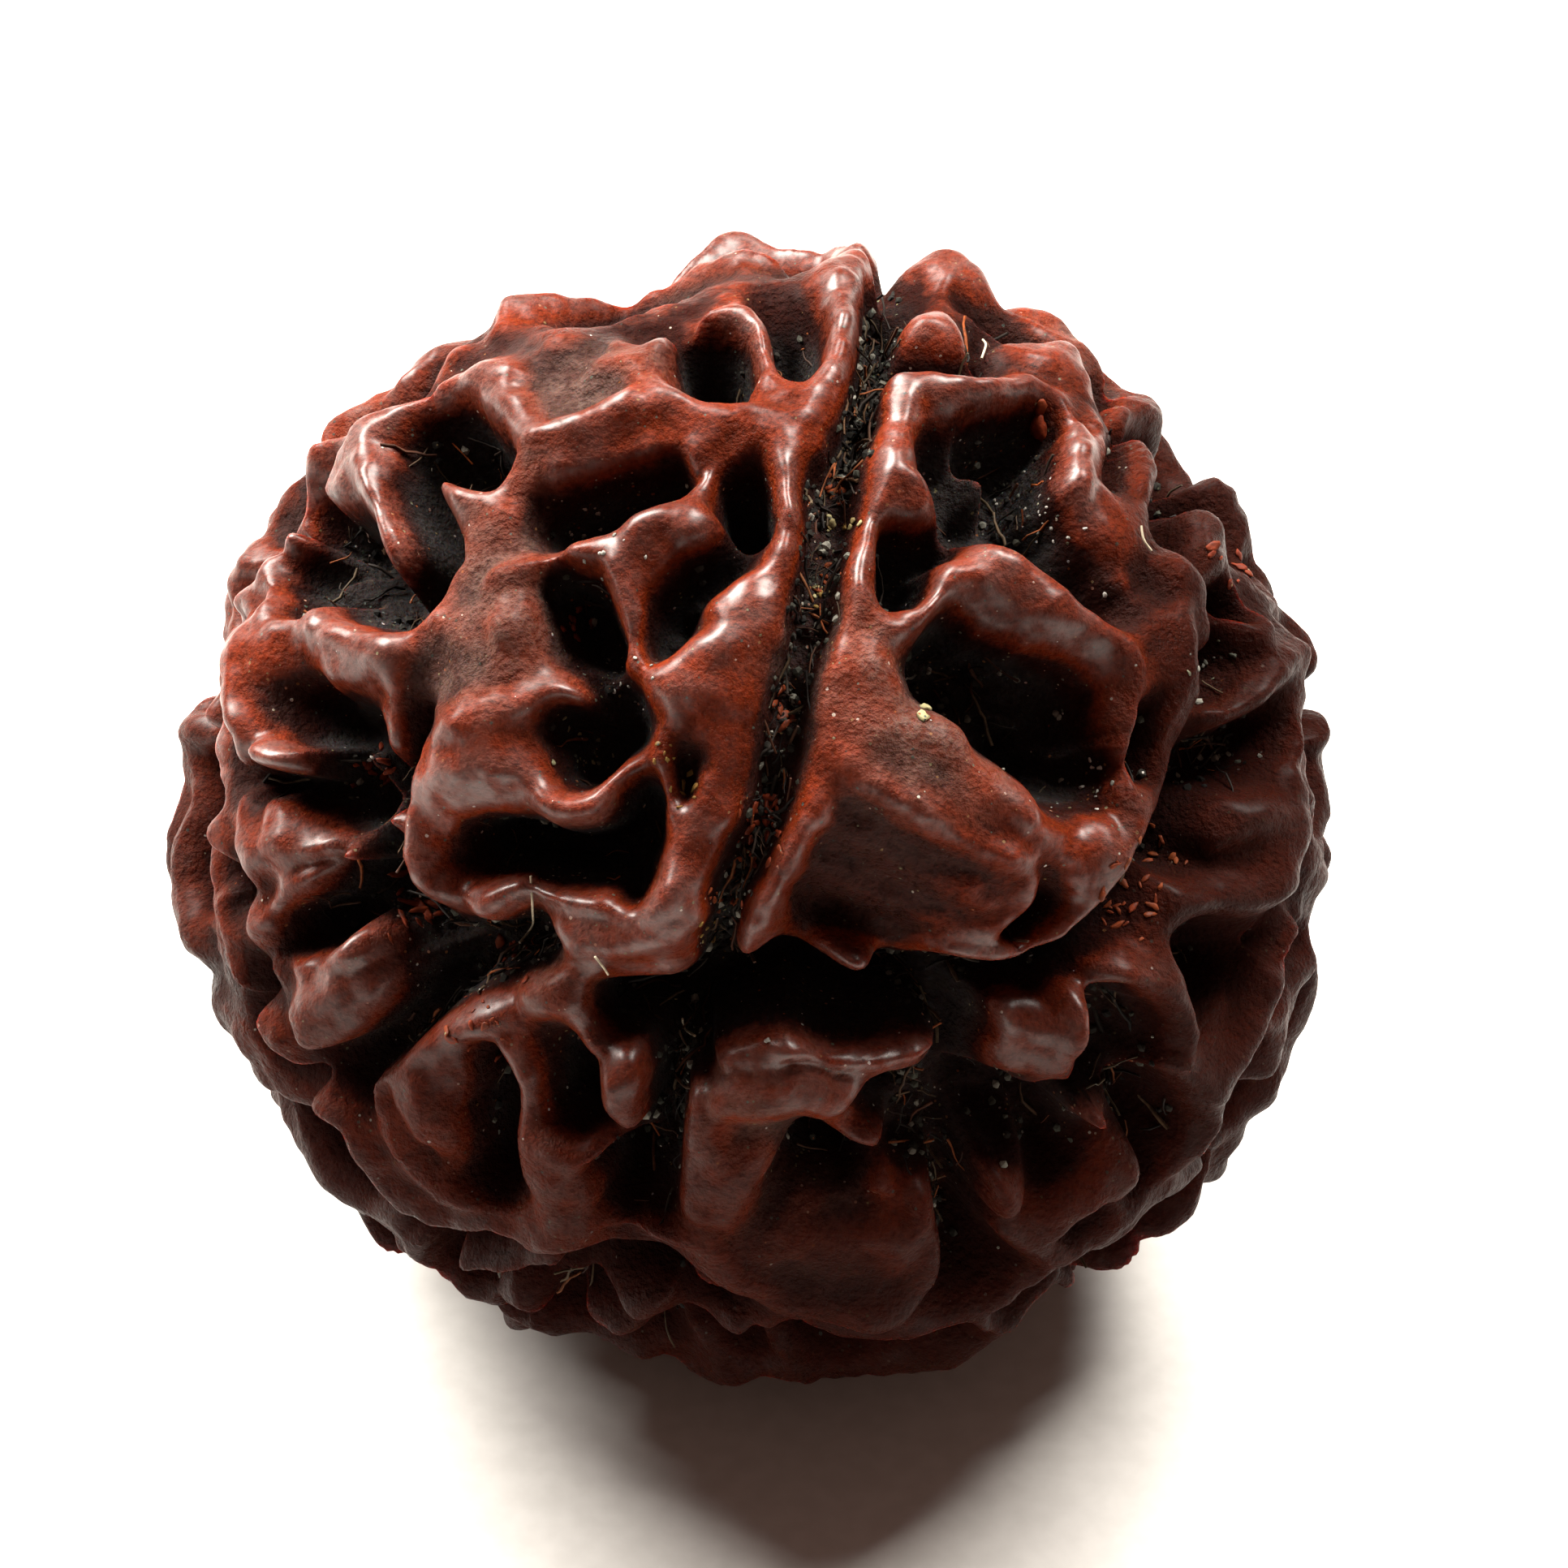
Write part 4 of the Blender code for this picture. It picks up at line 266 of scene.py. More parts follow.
    (0.4, [(-5.9, -5.0, -0.35), (-5.6, -5.5, -0.5)]),
    (0.14, [(-4.7, -4.6, -0.5), (-4.5, -5.0, -0.4)]),
    (0.14, [(-9.8, -3.2, -0.1), (-9.55, -3.8, 0), (-9.25, -4.4, 0), (-8.85, -5.0, 0), (-8.35, -5.55, 0)]),
    (0.14, [(-8.35, -5.55, 0), (-7.85, -6.0, 0), (-7.5, -6.6, 0), (-7.15, -7.1, 0), (-6.7, -7.5, 0)]),
    (0.14, [(-6.7, -7.5, 0), (-6.2, -7.8, 0), (-5.6, -8.0, 0), (-4.9, -7.95, 0), (-4.2, -8.1, 0)]),
    (0.14, [(-4.2, -8.1, 0), (-3.6, -7.95, 0), (-3.0, -7.8, -0.05), (-2.4, -8.0, 0), (-1.3, -8.05, -0.05)
            ]),
    (0.18, [(-6.9, -8.2, -0.1), (-6.1, -8.5, 0), (-5.4, -8.75, 0), (-4.6, -8.8, 0), (-3.8, -8.75, 0)]),
    (0.12, [(-2.5, -9.7, -0.1), (-2.0, -9.4, 0), (-1.3, -9.2, 0), (-0.8, -9.35, 0), (-0.4, -9.8, 0)]),
    # Left faces: the great curved lobe's edge, the step behind it, the banks and knobs of the rim
    (0.14, [(-6.0, 1.9, -0.1), (-6.3, 1.3, -0.15), (-6.5, 0.6, -0.15), (-6.6, -0.1, -0.2),
            (-6.55, -0.8, -0.3)]),
    (0.12, [(-6.55, -0.8, -0.3), (-6.35, -1.25, -0.6)]),
    (0.14, [(-7.0, 2.9, -0.05), (-6.9, 2.3, -0.15), (-7.0, 1.7, -0.3), (-7.05, 1.3, -0.5)]),
    (0.28, [(-9.3, 2.75, -0.25), (-8.6, 2.9, -0.4), (-7.8, 2.8, -0.4)]),
    (0.2, [(-9.9, 2.7, -0.1), (-9.85, 2.1, 0), (-9.75, 1.5, 0), (-9.8, 0.9, 0), (-9.85, 0.3, 0)]),
    (0.2, [(-9.85, 0.3, 0), (-9.7, -0.3, 0), (-9.5, -0.8, -0.1)]),
    (0.35, [(-9.3, 1.05, 0.1), (-8.9, 1.0, 0.2), (-8.6, 0.95, 0)]),
    (0.45, [(-9.3, 0.2, -0.15), (-9.0, -0.4, -0.2), (-8.5, -0.5, -0.3)]),
    (0.14, [(-9.4, -2.3, 0), (-9.2, -1.95, 0), (-8.95, -1.65, 0), (-8.6, -1.35, -0.1), (-8.2, -1.15, -0.1)
            ]),
    (0.14, [(-8.2, -1.15, -0.1), (-7.95, -0.9, -0.1), (-7.75, -0.55, -0.15), (-7.4, -0.2, -0.3)]),
    (0.14, [(-10.3, 1.9, 0), (-10.45, 1.2, 0), (-10.45, 0.6, 0)]),
    (0.08, [(-10.3, -0.5, 0), (-10.2, -1.0, 0), (-10.15, -1.4, 0), (-10.3, -1.8, 0), (-10.1, -2.2, 0)]),
    (0.2, [(-9.9, -2.0, -0.2), (-9.6, -2.2, -0.1)]),
    (0.3, [(-9.1, -3.05, -0.15), (-8.75, -3.0, 0.15), (-8.3, -3.0, -0.2), (-7.85, -2.7, 0.15),
           (-7.45, -2.45, -0.35)]),
    (0.5, [(-8.5, -3.6, 0), (-8.0, -3.6, -0.1), (-7.5, -3.5, -0.2)]),
    (0.4, [(-8.3, -4.2, 0), (-7.7, -4.3, -0.1), (-7.2, -4.0, -0.25)]),
]

HOLLOW_LINES = [
    # The six grooves that part the faces, from the pole outward
    (0.2, [(2.4, 9.6, -1.3), (2.35, 8.9, -1.3), (2.15, 8.1, -1.2), (1.9, 7.3, -1.1), (1.5, 6.7, -1.0)]),
    (0.36, [(1.5, 6.5, -0.9), (1.45, 6.0, -0.85), (1.4, 5.2, -0.85), (1.25, 4.4, -0.85), (1.1, 3.7, -0.85)
            ]),
    (0.27, [(1.1, 3.7, -0.85), (0.85, 2.8, -0.85), (0.6, 2.0, -0.85), (0.45, 1.2, -0.85), (0.3, 0.4, -0.85)
            ]),
    (0.22, [(0.3, 0.4, -0.85), (0.1, -0.3, -0.85), (-0.25, -1.0, -0.9), (-0.5, -1.6, -1.1),
            (-0.65, -2.2, -1.4)]),
    (0.2, [(-0.65, -2.2, -1.4), (-0.7, -2.8, -1.9), (-0.8, -3.3, -2.4)]),
    (0.3, [(3.6, -3.3, -2.3), (4.8, -3.3, -1.9), (5.9, -2.85, -1.6), (6.7, -2.1, -1.5), (7.4, -1.0, -1.5)
           ]),
    (0.35, [(8.0, -0.7, -2.2), (8.1, 0.1, -2.1), (8.5, 0.9, -1.7), (9.2, 1.2, -1.4), (9.8, 1.5, -1.0)]),
    (0.3, [(4.2, -4.4, -2.2), (4.0, -5.3, -2.0), (3.9, -6.1, -1.8), (3.85, -7.3, -1.6), (3.95, -8.4, -1.7)
           ]),
    (0.22, [(-1.55, -5.0, -2.2), (-1.7, -6.0, -1.9), (-1.75, -6.8, -1.6), (-1.9, -7.4, -1.1)]),
    (0.3, [(-4.4, -2.6, -2.0), (-5.4, -2.9, -2.1), (-6.2, -3.5, -2.2), (-6.8, -4.2, -2.0),
           (-7.4, -4.75, -1.7)]),
    (0.3, [(-6.3, -2.4, -2.2), (-6.9, -1.7, -2.2), (-7.1, -0.8, -2.1), (-7.15, 0.2, -2.0),
           (-7.4, 1.1, -1.8)]),
    # The dark well round the pole
    (0.5, [(-1.2, -3.9, -2.7), (-0.2, -3.4, -2.9), (0.7, -3.3, -2.9), (1.6, -3.7, -3.0), (2.6, -3.7, -2.9)
           ]),
    (0.4, [(2.6, -3.7, -2.9), (3.4, -3.8, -2.7), (4.0, -4.0, -2.4)]),
    (0.35, [(-2.6, -3.75, -2.0), (-1.8, -3.9, -2.5), (-1.3, -4.5, -2.5)]),
    # Pits of the upper left face
    (0.42, [(-6.1, 7.0, -1.8), (-5.7, 7.05, -2.2), (-5.3, 6.7, -2.3), (-5.0, 6.5, -1.9)]),
    (0.3, [(-6.45, 6.5, -1.7), (-6.4, 5.9, -2.1), (-6.15, 5.2, -2.3), (-6.3, 4.5, -2.3), (-6.7, 3.8, -2.0)
           ]),
    (0.35, [(-8.3, 5.6, -1.8), (-7.9, 5.2, -2.0), (-7.5, 4.6, -2.0), (-7.3, 4.0, -1.8)]),
    (0.5, [(-8.7, 4.7, -1.2), (-8.4, 4.2, -1.4)]),
    (0.28, [(-3.7, 5.55, -1.5), (-3.1, 5.75, -1.8), (-2.5, 5.95, -1.9), (-1.9, 6.15, -1.7),
            (-1.6, 6.3, -1.4)]),
    (0.33, [(-0.3, 6.1, -1.4), (-0.15, 5.75, -1.9), (-0.05, 5.5, -1.7)]),
    (0.5, [(-0.95, 8.5, -2.1), (-0.65, 8.35, -2.3), (-0.5, 8.05, -2.0)]),
    (0.3, [(0.7, 9.2, -1.4), (0.85, 8.85, -1.7), (0.8, 8.5, -1.5)]),
    (0.22, [(-1.85, 3.3, -1.1), (-1.6, 3.7, -1.3), (-1.3, 4.2, -1.3), (-0.9, 4.55, -1.1), (-0.4, 5.0, -0.8)
            ]),
    (0.33, [(-3.65, 4.25, -1.4), (-3.35, 3.9, -1.7), (-3.1, 3.4, -1.8), (-2.9, 3.1, -1.6)]),
    (0.38, [(-3.5, 1.6, -1.3), (-3.0, 1.3, -1.5), (-3.3, 0.9, -1.3)]),
    (0.3, [(-2.5, 1.5, -1.4), (-2.6, 2.1, -1.3), (-2.9, 2.5, -0.9)]),
    (0.1, [(-1.35, 0.9, -0.6), (-1.35, 0.4, -0.5)]),
    (0.33, [(-5.3, -0.55, -1.6), (-4.8, -0.6, -2.2), (-4.2, -0.8, -2.4), (-3.5, -1.0, -2.4),
            (-2.8, -0.9, -2.2)]),
    (0.28, [(-2.8, -0.9, -2.2), (-2.3, -0.5, -1.9), (-2.1, 0.2, -1.4)]),
    (0.13, [(-2.4, -1.6, -0.9), (-2.35, -1.3, -1.4)]),
    # Pits of the upper right face
    (0.3, [(2.75, 5.0, -1.4), (2.85, 4.5, -1.8), (2.85, 4.15, -1.6)]),
    (0.2, [(3.1, 5.1, -1.3), (3.5, 5.1, -1.2)]),
    (0.3, [(4.3, 7.1, -1.5), (4.8, 7.0, -2.1), (5.25, 7.05, -2.0)]),
    (0.3, [(5.2, 6.8, -1.9), (5.1, 6.3, -1.9), (5.2, 5.7, -1.8), (5.5, 5.4, -1.6)]),
    (0.45, [(3.7, 6.7, -1.4), (3.9, 6.0, -1.6), (4.3, 5.7, -1.7), (4.8, 5.7, -1.7)]),
    (0.22, [(5.3, 5.3, -1.2), (5.8, 4.9, -1.2), (6.3, 4.3, -1.1), (6.7, 3.95, -0.9)]),
    (0.1, [(6.95, 7.3, -1.2), (6.98, 6.8, -0.9), (6.85, 6.3, -0.7)]),
    (0.2, [(6.3, 7.9, -1.1), (6.65, 7.8, -1.6)]),
    (0.1, [(2.6, 8.7, -0.8), (3.0, 8.55, -1.0), (3.5, 8.42, -1.0), (4.0, 8.38, -0.9)]),
    (0.1, [(4.3, 9.2, -0.6), (4.25, 8.7, -0.8)]),
    (0.5, [(3.6, 3.0, -2.1), (3.9, 2.5, -2.3), (4.5, 2.7, -2.1)]),
    (0.45, [(5.2, 2.6, -1.6), (5.9, 2.2, -1.5), (6.1, 1.6, -1.6)]),
    (0.33, [(5.4, 1.3, -2.0), (5.7, 0.8, -2.1)]),
    (0.28, [(4.5, 1.8, -1.6), (4.9, 1.5, -1.8)]),
    (0.22, [(6.2, 0.45, -1.4), (6.55, 0.8, -1.4)]),
    (0.18, [(7.48, 1.8, -0.9), (7.45, 1.2, -1.2), (7.45, 0.75, -0.9)]),
    (0.38, [(8.6, 2.6, -1.7), (8.8, 3.0, -1.4)]),
    (0.2, [(7.75, 5.3, -1.5), (7.85, 6.0, -1.4), (7.75, 6.6, -1.1)]),
    (0.18, [(8.75, 4.1, -1.3), (8.95, 3.7, -1.4)]),
    (0.38, [(8.5, -2.6, -1.6), (9.0, -2.9, -1.5), (8.5, -3.3, -1.5)]),
    (0.16, [(5.6, -1.75, -1.2), (5.3, -2.1, -1.4), (5.1, -2.35, -1.3)]),
    # Pits of the lower faces
    (0.38, [(6.7, -3.7, -1.7), (6.8, -4.3, -1.9), (6.6, -4.75, -1.8)]),
    (0.28, [(7.4, -4.4, -1.2), (7.3, -4.0, -1.3)]),
    (0.25, [(7.35, -5.2, -1.5), (7.5, -5.9, -1.6), (7.3, -6.6, -1.3)]),
    (0.38, [(4.6, -5.7, -2.1), (4.7, -6.2, -1.8), (5.3, -5.8, -1.8)]),
    (0.3, [(5.75, -6.65, -1.3), (5.7, -6.0, -1.7), (5.8, -5.4, -1.7), (6.5, -5.0, -1.6)]),
    (0.14, [(10.3, -3.3, -1.0), (9.9, -4.1, -1.2), (9.4, -4.8, -1.3), (9.0, -5.3, -1.3), (8.95, -5.8, -1.1)
            ]),
    (0.14, [(8.6, -6.7, -1.0), (8.1, -7.3, -1.2), (7.4, -7.9, -1.3), (6.7, -8.3, -1.3), (5.7, -8.65, -1.3)
            ]),
    (0.38, [(1.2, -6.6, -2.2), (1.7, -6.9, -2.1)]),
    (0.38, [(2.6, -5.7, -2.1), (3.1, -6.0, -1.8), (3.1, -6.8, -1.4)]),
    (0.15, [(0.4, -9.5, -1.3), (1.3, -9.68, -1.5), (2.2, -9.65, -1.5), (3.0, -9.5, -1.5), (3.8, -9.2, -1.6)
            ]),
    (0.28, [(-3.5, -4.9, -1.7), (-3.45, -5.4, -1.7), (-3.2, -5.75, -1.5)]),
    (0.28, [(-2.7, -6.5, -1.7), (-2.4, -6.9, -1.9), (-2.3, -7.3, -1.6)]),
    (0.25, [(-5.0, -5.0, -1.7), (-5.0, -5.7, -1.8), (-4.95, -6.4, -1.8), (-4.8, -6.9, -1.4)]),
    (0.18, [(-7.55, -5.8, -1.5), (-7.1, -6.5, -1.8), (-6.6, -7.05, -1.9), (-6.0, -7.5, -1.8),
            (-5.3, -7.8, -1.5), (-4.7, -7.85, -1.1)]),
    (0.18, [(-7.0, -7.8, -1.2), (-6.2, -8.15, -1.6), (-5.4, -8.35, -1.8), (-4.5, -8.4, -1.8),
            (-3.3, -8.35, -1.8)]),
    (0.16, [(-3.3, -8.35, -1.5), (-2.2, -8.5, -1.6), (-1.3, -8.7, -1.5), (-0.6, -9.15, -1.2)]),
    (0.15, [(-4.8, -9.15, -1.2), (-3.6, -9.2, -1.5), (-2.7, -9.15, -1.5)]),
    (0.25, [(-1.4, -9.75, -1.1), (-1.1, -9.75, -1.1)]),
    # Pits of the left faces
    (0.38, [(-8.5, 2.1, -1.2), (-8.3, 1.65, -1.5), (-7.8, 1.6, -1.6)]),
    (0.3, [(-8.1, 0.9, -1.5), (-7.9, 0.3, -1.8), (-7.9, -0.05, -1.7)]),
    (0.16, [(-9.5, 0.6, -0.9), (-9.0, 0.5, -1.2), (-8.4, 0.4, -1.5)]),
    (0.38, [(-8.4, -2.2, -1.6), (-7.8, -1.9, -1.9), (-7.5, -1.3, -2.0)]),
    (0.14, [(-6.55, 1.9, -0.9), (-6.7, 1.2, -1.2), (-6.8, 0.5, -1.5)]),
    (0.12, [(-10.05, 1.9, -0.9), (-10.12, 1.2, -1.0), (-10.1, 0.5, -1.0)]),
    (0.18, [(-9.9, -1.1, -0.9), (-9.65, -1.6, -1.0)]),
    (0.1, [(-9.35, -3.1, -0.8), (-9.2, -3.7, -1.1), (-9.0, -4.2, -1.2), (-8.6, -4.75, -1.2),
           (-8.1, -5.0, -1.4)]),
]

# The rim of the near side, clockwise from the left. Its line lies a little behind the place where the
# line of sight grazes, sways by chance, and holds its level more firmly than the other lines do.
RIM_HALF = 0.4
RIM_BACK = 0.03
RIM_SWAY = 0.06
RIM_SWAY_SIZE = 1.6
RIM_FIRMNESS = 8.0
RIM = [
    (-10.95, -0.5), (-10.75, 0.2), (-10.85, 1.0), (-10.7, 1.8), (-10.3, 2.5), (-9.9, 2.95), (-9.85, 3.5),
    (-9.9, 4.1), (-9.75, 4.7), (-9.45, 5.05), (-9.2, 5.1), (-9.05, 5.6), (-8.85, 6.15), (-8.4, 6.4),
    (-8.1, 6.55), (-7.9, 6.95), (-7.5, 7.6), (-7.0, 7.8), (-6.5, 7.95), (-6.2, 8.4), (-5.8, 8.7),
    (-5.3, 8.7), (-4.9, 8.65), (-4.3, 8.95), (-3.7, 9.4), (-3.2, 9.55), (-2.9, 9.35), (-2.4, 9.02),
    (-2.0, 9.1), (-1.5, 9.5), (-1.05, 9.95), (-0.7, 10.08), (-0.3, 9.95), (0.0, 9.9), (0.3, 9.98),
    (0.5, 9.7), (0.8, 9.53), (1.1, 9.55), (1.25, 10.1), (1.5, 10.45), (2.05, 10.72), (2.4, 10.3),
    (2.5, 9.7), (2.62, 9.5), (2.8, 9.7), (2.95, 10.15), (3.3, 10.42), (3.65, 10.5), (4.0, 10.35),
    (4.2, 10.0), (4.5, 9.48), (5.1, 9.42), (5.6, 9.35), (6.0, 9.1), (6.4, 8.9), (6.9, 8.25), (7.2, 7.9),
    (7.5, 7.4), (7.7, 6.9), (8.1, 6.6), (8.6, 6.5), (8.85, 6.15), (9.3, 5.4), (9.5, 5.0), (9.7, 4.35),
    (10.0, 3.75), (10.4, 3.2), (10.6, 2.6), (10.75, 2.2), (10.95, 1.65), (10.85, 0.9), (10.78, 0.1),
    (10.7, -0.8), (10.92, -1.2), (10.7, -1.7), (10.7, -2.2), (10.8, -2.9), (10.6, -3.4), (10.25, -4.0),
    (10.15, -4.8), (9.9, -5.25), (9.2, -5.8), (8.75, -6.4), (8.5, -7.1), (8.2, -7.7), (7.6, -8.15),
    (7.3, -8.55), (6.8, -9.0), (6.2, -9.25), (5.2, -9.4), (4.3, -9.95), (3.2, -10.35), (2.0, -10.6),
    (0.5, -10.7), (-0.8, -10.6), (-1.8, -10.4), (-2.6, -10.0), (-4.0, -9.87), (-4.8, -9.75),
    (-5.4, -9.3), (-5.9, -9.05), (-6.6, -8.75), (-7.1, -8.4), (-7.4, -7.8), (-7.7, -7.25),
    (-8.2, -6.85), (-8.45, -6.2), (-8.75, -5.6), (-9.1, -5.05), (-9.6, -4.6), (-9.9, -4.0),
    (-10.0, -3.4), (-10.0, -2.95), (-10.5, -2.5), (-10.85, -1.9), (-10.98, -1.2),
]

# Where the six grooves leave the near side
GROOVE_ENDS = [(2.5, 9.6), (10.9, 1.9), (5.4, -9.3), (-1.7, -10.4), (-9.2, -5.0), (-10.6, 2.1)]
# The first of the floor lines are the furrows between the faces
FURROW_LINES = 11

print(len(CREST_LINES), "ridge lines,", len(HOLLOW_LINES), "pit and furrow lines,", len(RIM), "rim points")

# %% [markdown]
# ## From the line of sight to the bead
#
# A point seen at (right, up) is somewhere along a ray from the eye. Where that ray meets the squat
# form is found as for any ball: the form is squeezed to a unit ball, and a quadratic equation gives
# the nearer crossing. On the rim the ray only grazes, so there the point of the ray that comes
# nearest to the middle is taken, and how near it comes tells how high the rim stands.

# %% Casting the lines onto the squat form
SIGHT_SHARE = 0.4
LINE_STEP = 0.14


def half_sizes(level):
    """The bead's half widths at a level over or under the ridge tops, in its own axes."""
    level = np.asarray(level, float)[..., None]
    return np.array([GIRTH_RADIUS, GIRTH_RADIUS, POLE_RADIUS]) + level


def surface_points(directions):
    """Points of the smooth oblate form through the ridge tops."""
    own = directions @ OWN_AXES.T
    return (own * half_sizes(0.0)) @ OWN_AXES


def sight_lines(seen, level):
    """Eye and ray of each seen point, in the bead's own axes and squeezed to a unit ball."""
    eye = SIGHT_DISTANCE * TOWARD
    aims = seen[:, :1] * RIGHT + seen[:, 1:2] * UP
    rays = aims - eye
    sizes = half_sizes(level)
    return (OWN_AXES @ eye) / sizes, (rays @ OWN_AXES.T) / sizes


def seen_directions(seen, level):
    """Directions from the middle to the points seen at this level on the near side."""
    eye, rays = sight_lines(seen, level)
    a = (rays**2).sum(axis=1)
    b = (rays * eye).sum(axis=1)
    c = (eye**2).sum(axis=1) - 1
    root = np.sqrt(np.maximum(b**2 - a * c, 0))
    hit = eye + ((-b - root) / a)[:, None] * rays
    return unit(hit) @ OWN_AXES


def grazed_directions(seen):
    """Directions and levels of points on the rim, where the line of sight just grazes the bead."""
    eye, rays = sight_lines(seen, np.zeros(len(seen)))
    along = -(rays * eye).sum(axis=1) / (rays**2).sum(axis=1)
    nearest = eye + along[:, None] * rays
    reach = np.linalg.norm(nearest, axis=1)
    return (nearest / reach[:, None]) @ OWN_AXES, (reach - 1) * GIRTH_RADIUS


def smooth_line(points, step, closed=False):
    """A line through the points, rounded at each and cut into short steps."""
    points = np.array(points, float)
    if closed:
        points = np.concatenate([points[-1:], points, points[:2]])
    else:
        points = np.concatenate([2 * points[:1] - points[1:2], points, 2 * points[-1:] - points[-2:-1]])
    pieces = []
    for before, start, end, after in zip(points, points[1:], points[2:], points[3:]):
        count = max(1, int(np.ceil(np.linalg.norm((end - start)[:2]) / step)))
        t = (np.arange(count) / count)[:, None]
        bend = 2 * before - 5 * start + 4 * end - after
        twist = 3 * (start - end) + after - before
        pieces.append(start + 0.5 * t * (end - before + t * (bend + t * twist)))
    if not closed:
        pieces.append(points[-2:-1])
    return np.concatenate(pieces)


rim_directions, rim_levels = grazed_directions(smooth_line(RIM, LINE_STEP, closed=True))
print("the rim stands from", rim_levels.min().round(2), "to", rim_levels.max().round(2), "mm")

# %% [markdown]
# ## The side that is not seen
#
# The far side of a bead like this carries the same kind of relief, so it is grown by rule. Pit middles
# are scattered evenly over the whole form and each is moved a little by chance. Halfway between two
# middles runs a ridge, as between the cells of a honeycomb; some neighbours are joined, so their pits
# run together into a winding hollow. Slow waves bend the whole net. The six furrows go on from the rim
# to the far pole, each between two knobbly banks. On the near side the net is pushed back, so that
# there it only fills what the placed lines leave open.

# %% Waves and scattered middles
SEED = 27
CELLS = 175
GROUPS = 100
CELL_JITTER = 0.075
PIT_DEPTHS = (1.2, 2.7)
PIT_POWER = 5.0
PIT_HALF = 0.9
NET_HALF = 0.12
NET_UNEVEN = 0.12
NET_LEVEL = -0.3
NET_SWING = 0.28
WARP = 0.7
WARP_SIZE = 2.2
FINE_WARP = 0.12
FINE_WARP_SIZE = 0.9
NOISE_WAVES = 40
WAVE_SPREAD = (1.5, 3.0)
FULL_TURN = 2 * np.pi
GOLDEN_TURN = np.pi * (3 - np.sqrt(5))
NEAR_SETBACK = 1.8
SETBACK_BAND = (0.15, 0.42)


def wave_noise(points, size, seed):
    """Smooth unevenness, mostly from -1 to 1, with bumps about this wide, summed from many waves."""
    rng = np.random.default_rng(seed)
    headings = unit(rng.normal(size=(NOISE_WAVES, 3)))
    numbers = headings * FULL_TURN / (size * rng.uniform(*WAVE_SPREAD, (NOISE_WAVES, 1)))
    phases = rng.uniform(0, FULL_TURN, NOISE_WAVES)
    return np.cos(points @ numbers.T + phases).sum(axis=1) / np.sqrt(NOISE_WAVES)


def smooth_step(low, high, values):
    """0 at low and before it, 1 at high and past it, and an eased change between them."""
    t = np.clip((values - low) / (high - low), 0, 1)
    return t * t * (3 - 2 * t)


def scattered(count, rng, jitter):
    """Points spread evenly over the bead, each moved a little by chance."""
    turn = GOLDEN_TURN * np.arange(count)
    height = 1 - 2 * (np.arange(count) + 0.5) / count
    flat = np.sqrt(1 - height**2)
    spread = np.stack([flat * np.cos(turn), flat * np.sin(turn), height], axis=1)
    return surface_points(unit(spread + rng.normal(0, jitter, spread.shape)))


def separations(points, others):
    """Distance from every point to every one of the others."""
    squares = (points**2).sum(axis=1)[:, None] + (others**2).sum(axis=1) - 2 * points @ others.T
    return np.sqrt(np.maximum(squares, 0))


print(CELLS, "pit middles by rule, in", GROUPS, "groups")

# %% The net of ridges between the middles
def far_net(points):
    """Distances to the net of ridges and to the pits between them, and the level of each, by rule."""
    rng = np.random.default_rng(SEED)
    middles = scattered(CELLS, rng, CELL_JITTER)
    depths = -rng.uniform(*PIT_DEPTHS, CELLS)
    group = separations(middles, scattered(GROUPS, rng, CELL_JITTER)).argmin(axis=1)
    moved = points.copy()
    for size, share, first in ((WARP_SIZE, WARP, SEED), (FINE_WARP_SIZE, FINE_WARP, SEED + 3)):
        for k in range(3):
            moved[:, k] += share * wave_noise(points, size, first + k)
    gaps = separations(moved, middles)
    nearest = gaps.argmin(axis=1)
    closest = gaps[np.arange(len(points)), nearest]
    others = np.where(group[None, :] != group[nearest][:, None], gaps, np.inf).min(axis=1)
    to_net = (others - closest) / 2 - NET_HALF - NET_UNEVEN * wave_noise(points, WARP_SIZE, SEED + 7)
    net_level = NET_LEVEL + NET_SWING * wave_noise(points, WARP_SIZE, SEED + 8)
    pull = (gaps + LEVEL_SOFTNESS) ** -PIT_POWER
    pit_level = (pull * depths).sum(axis=1) / pull.sum(axis=1)
    return to_net, closest - PIT_HALF, net_level, pit_level


# %% The furrows and their banks, from the rim to the far pole
GROOVE_DEPTH = -1.3
GROOVE_HALF = 0.16
GROOVE_SWAY = 0.04
GROOVE_STEPS = 90
GROOVE_STOP = 0.99
POLE_DEEPER = 0.9
SWAY_WAVES = (5.0, 9.0)
BANK_OFFSET = 0.8
BANK_HALF = 0.2
BANK_STOP = 0.86
BANK_SWAY = 0.2
BANK_WAVES = (15.0, 19.0)
BANK_DIP = -0.8
DIP_WAVES = (20.0, 30.0)
DIP_BAND = (0.2, 0.9)


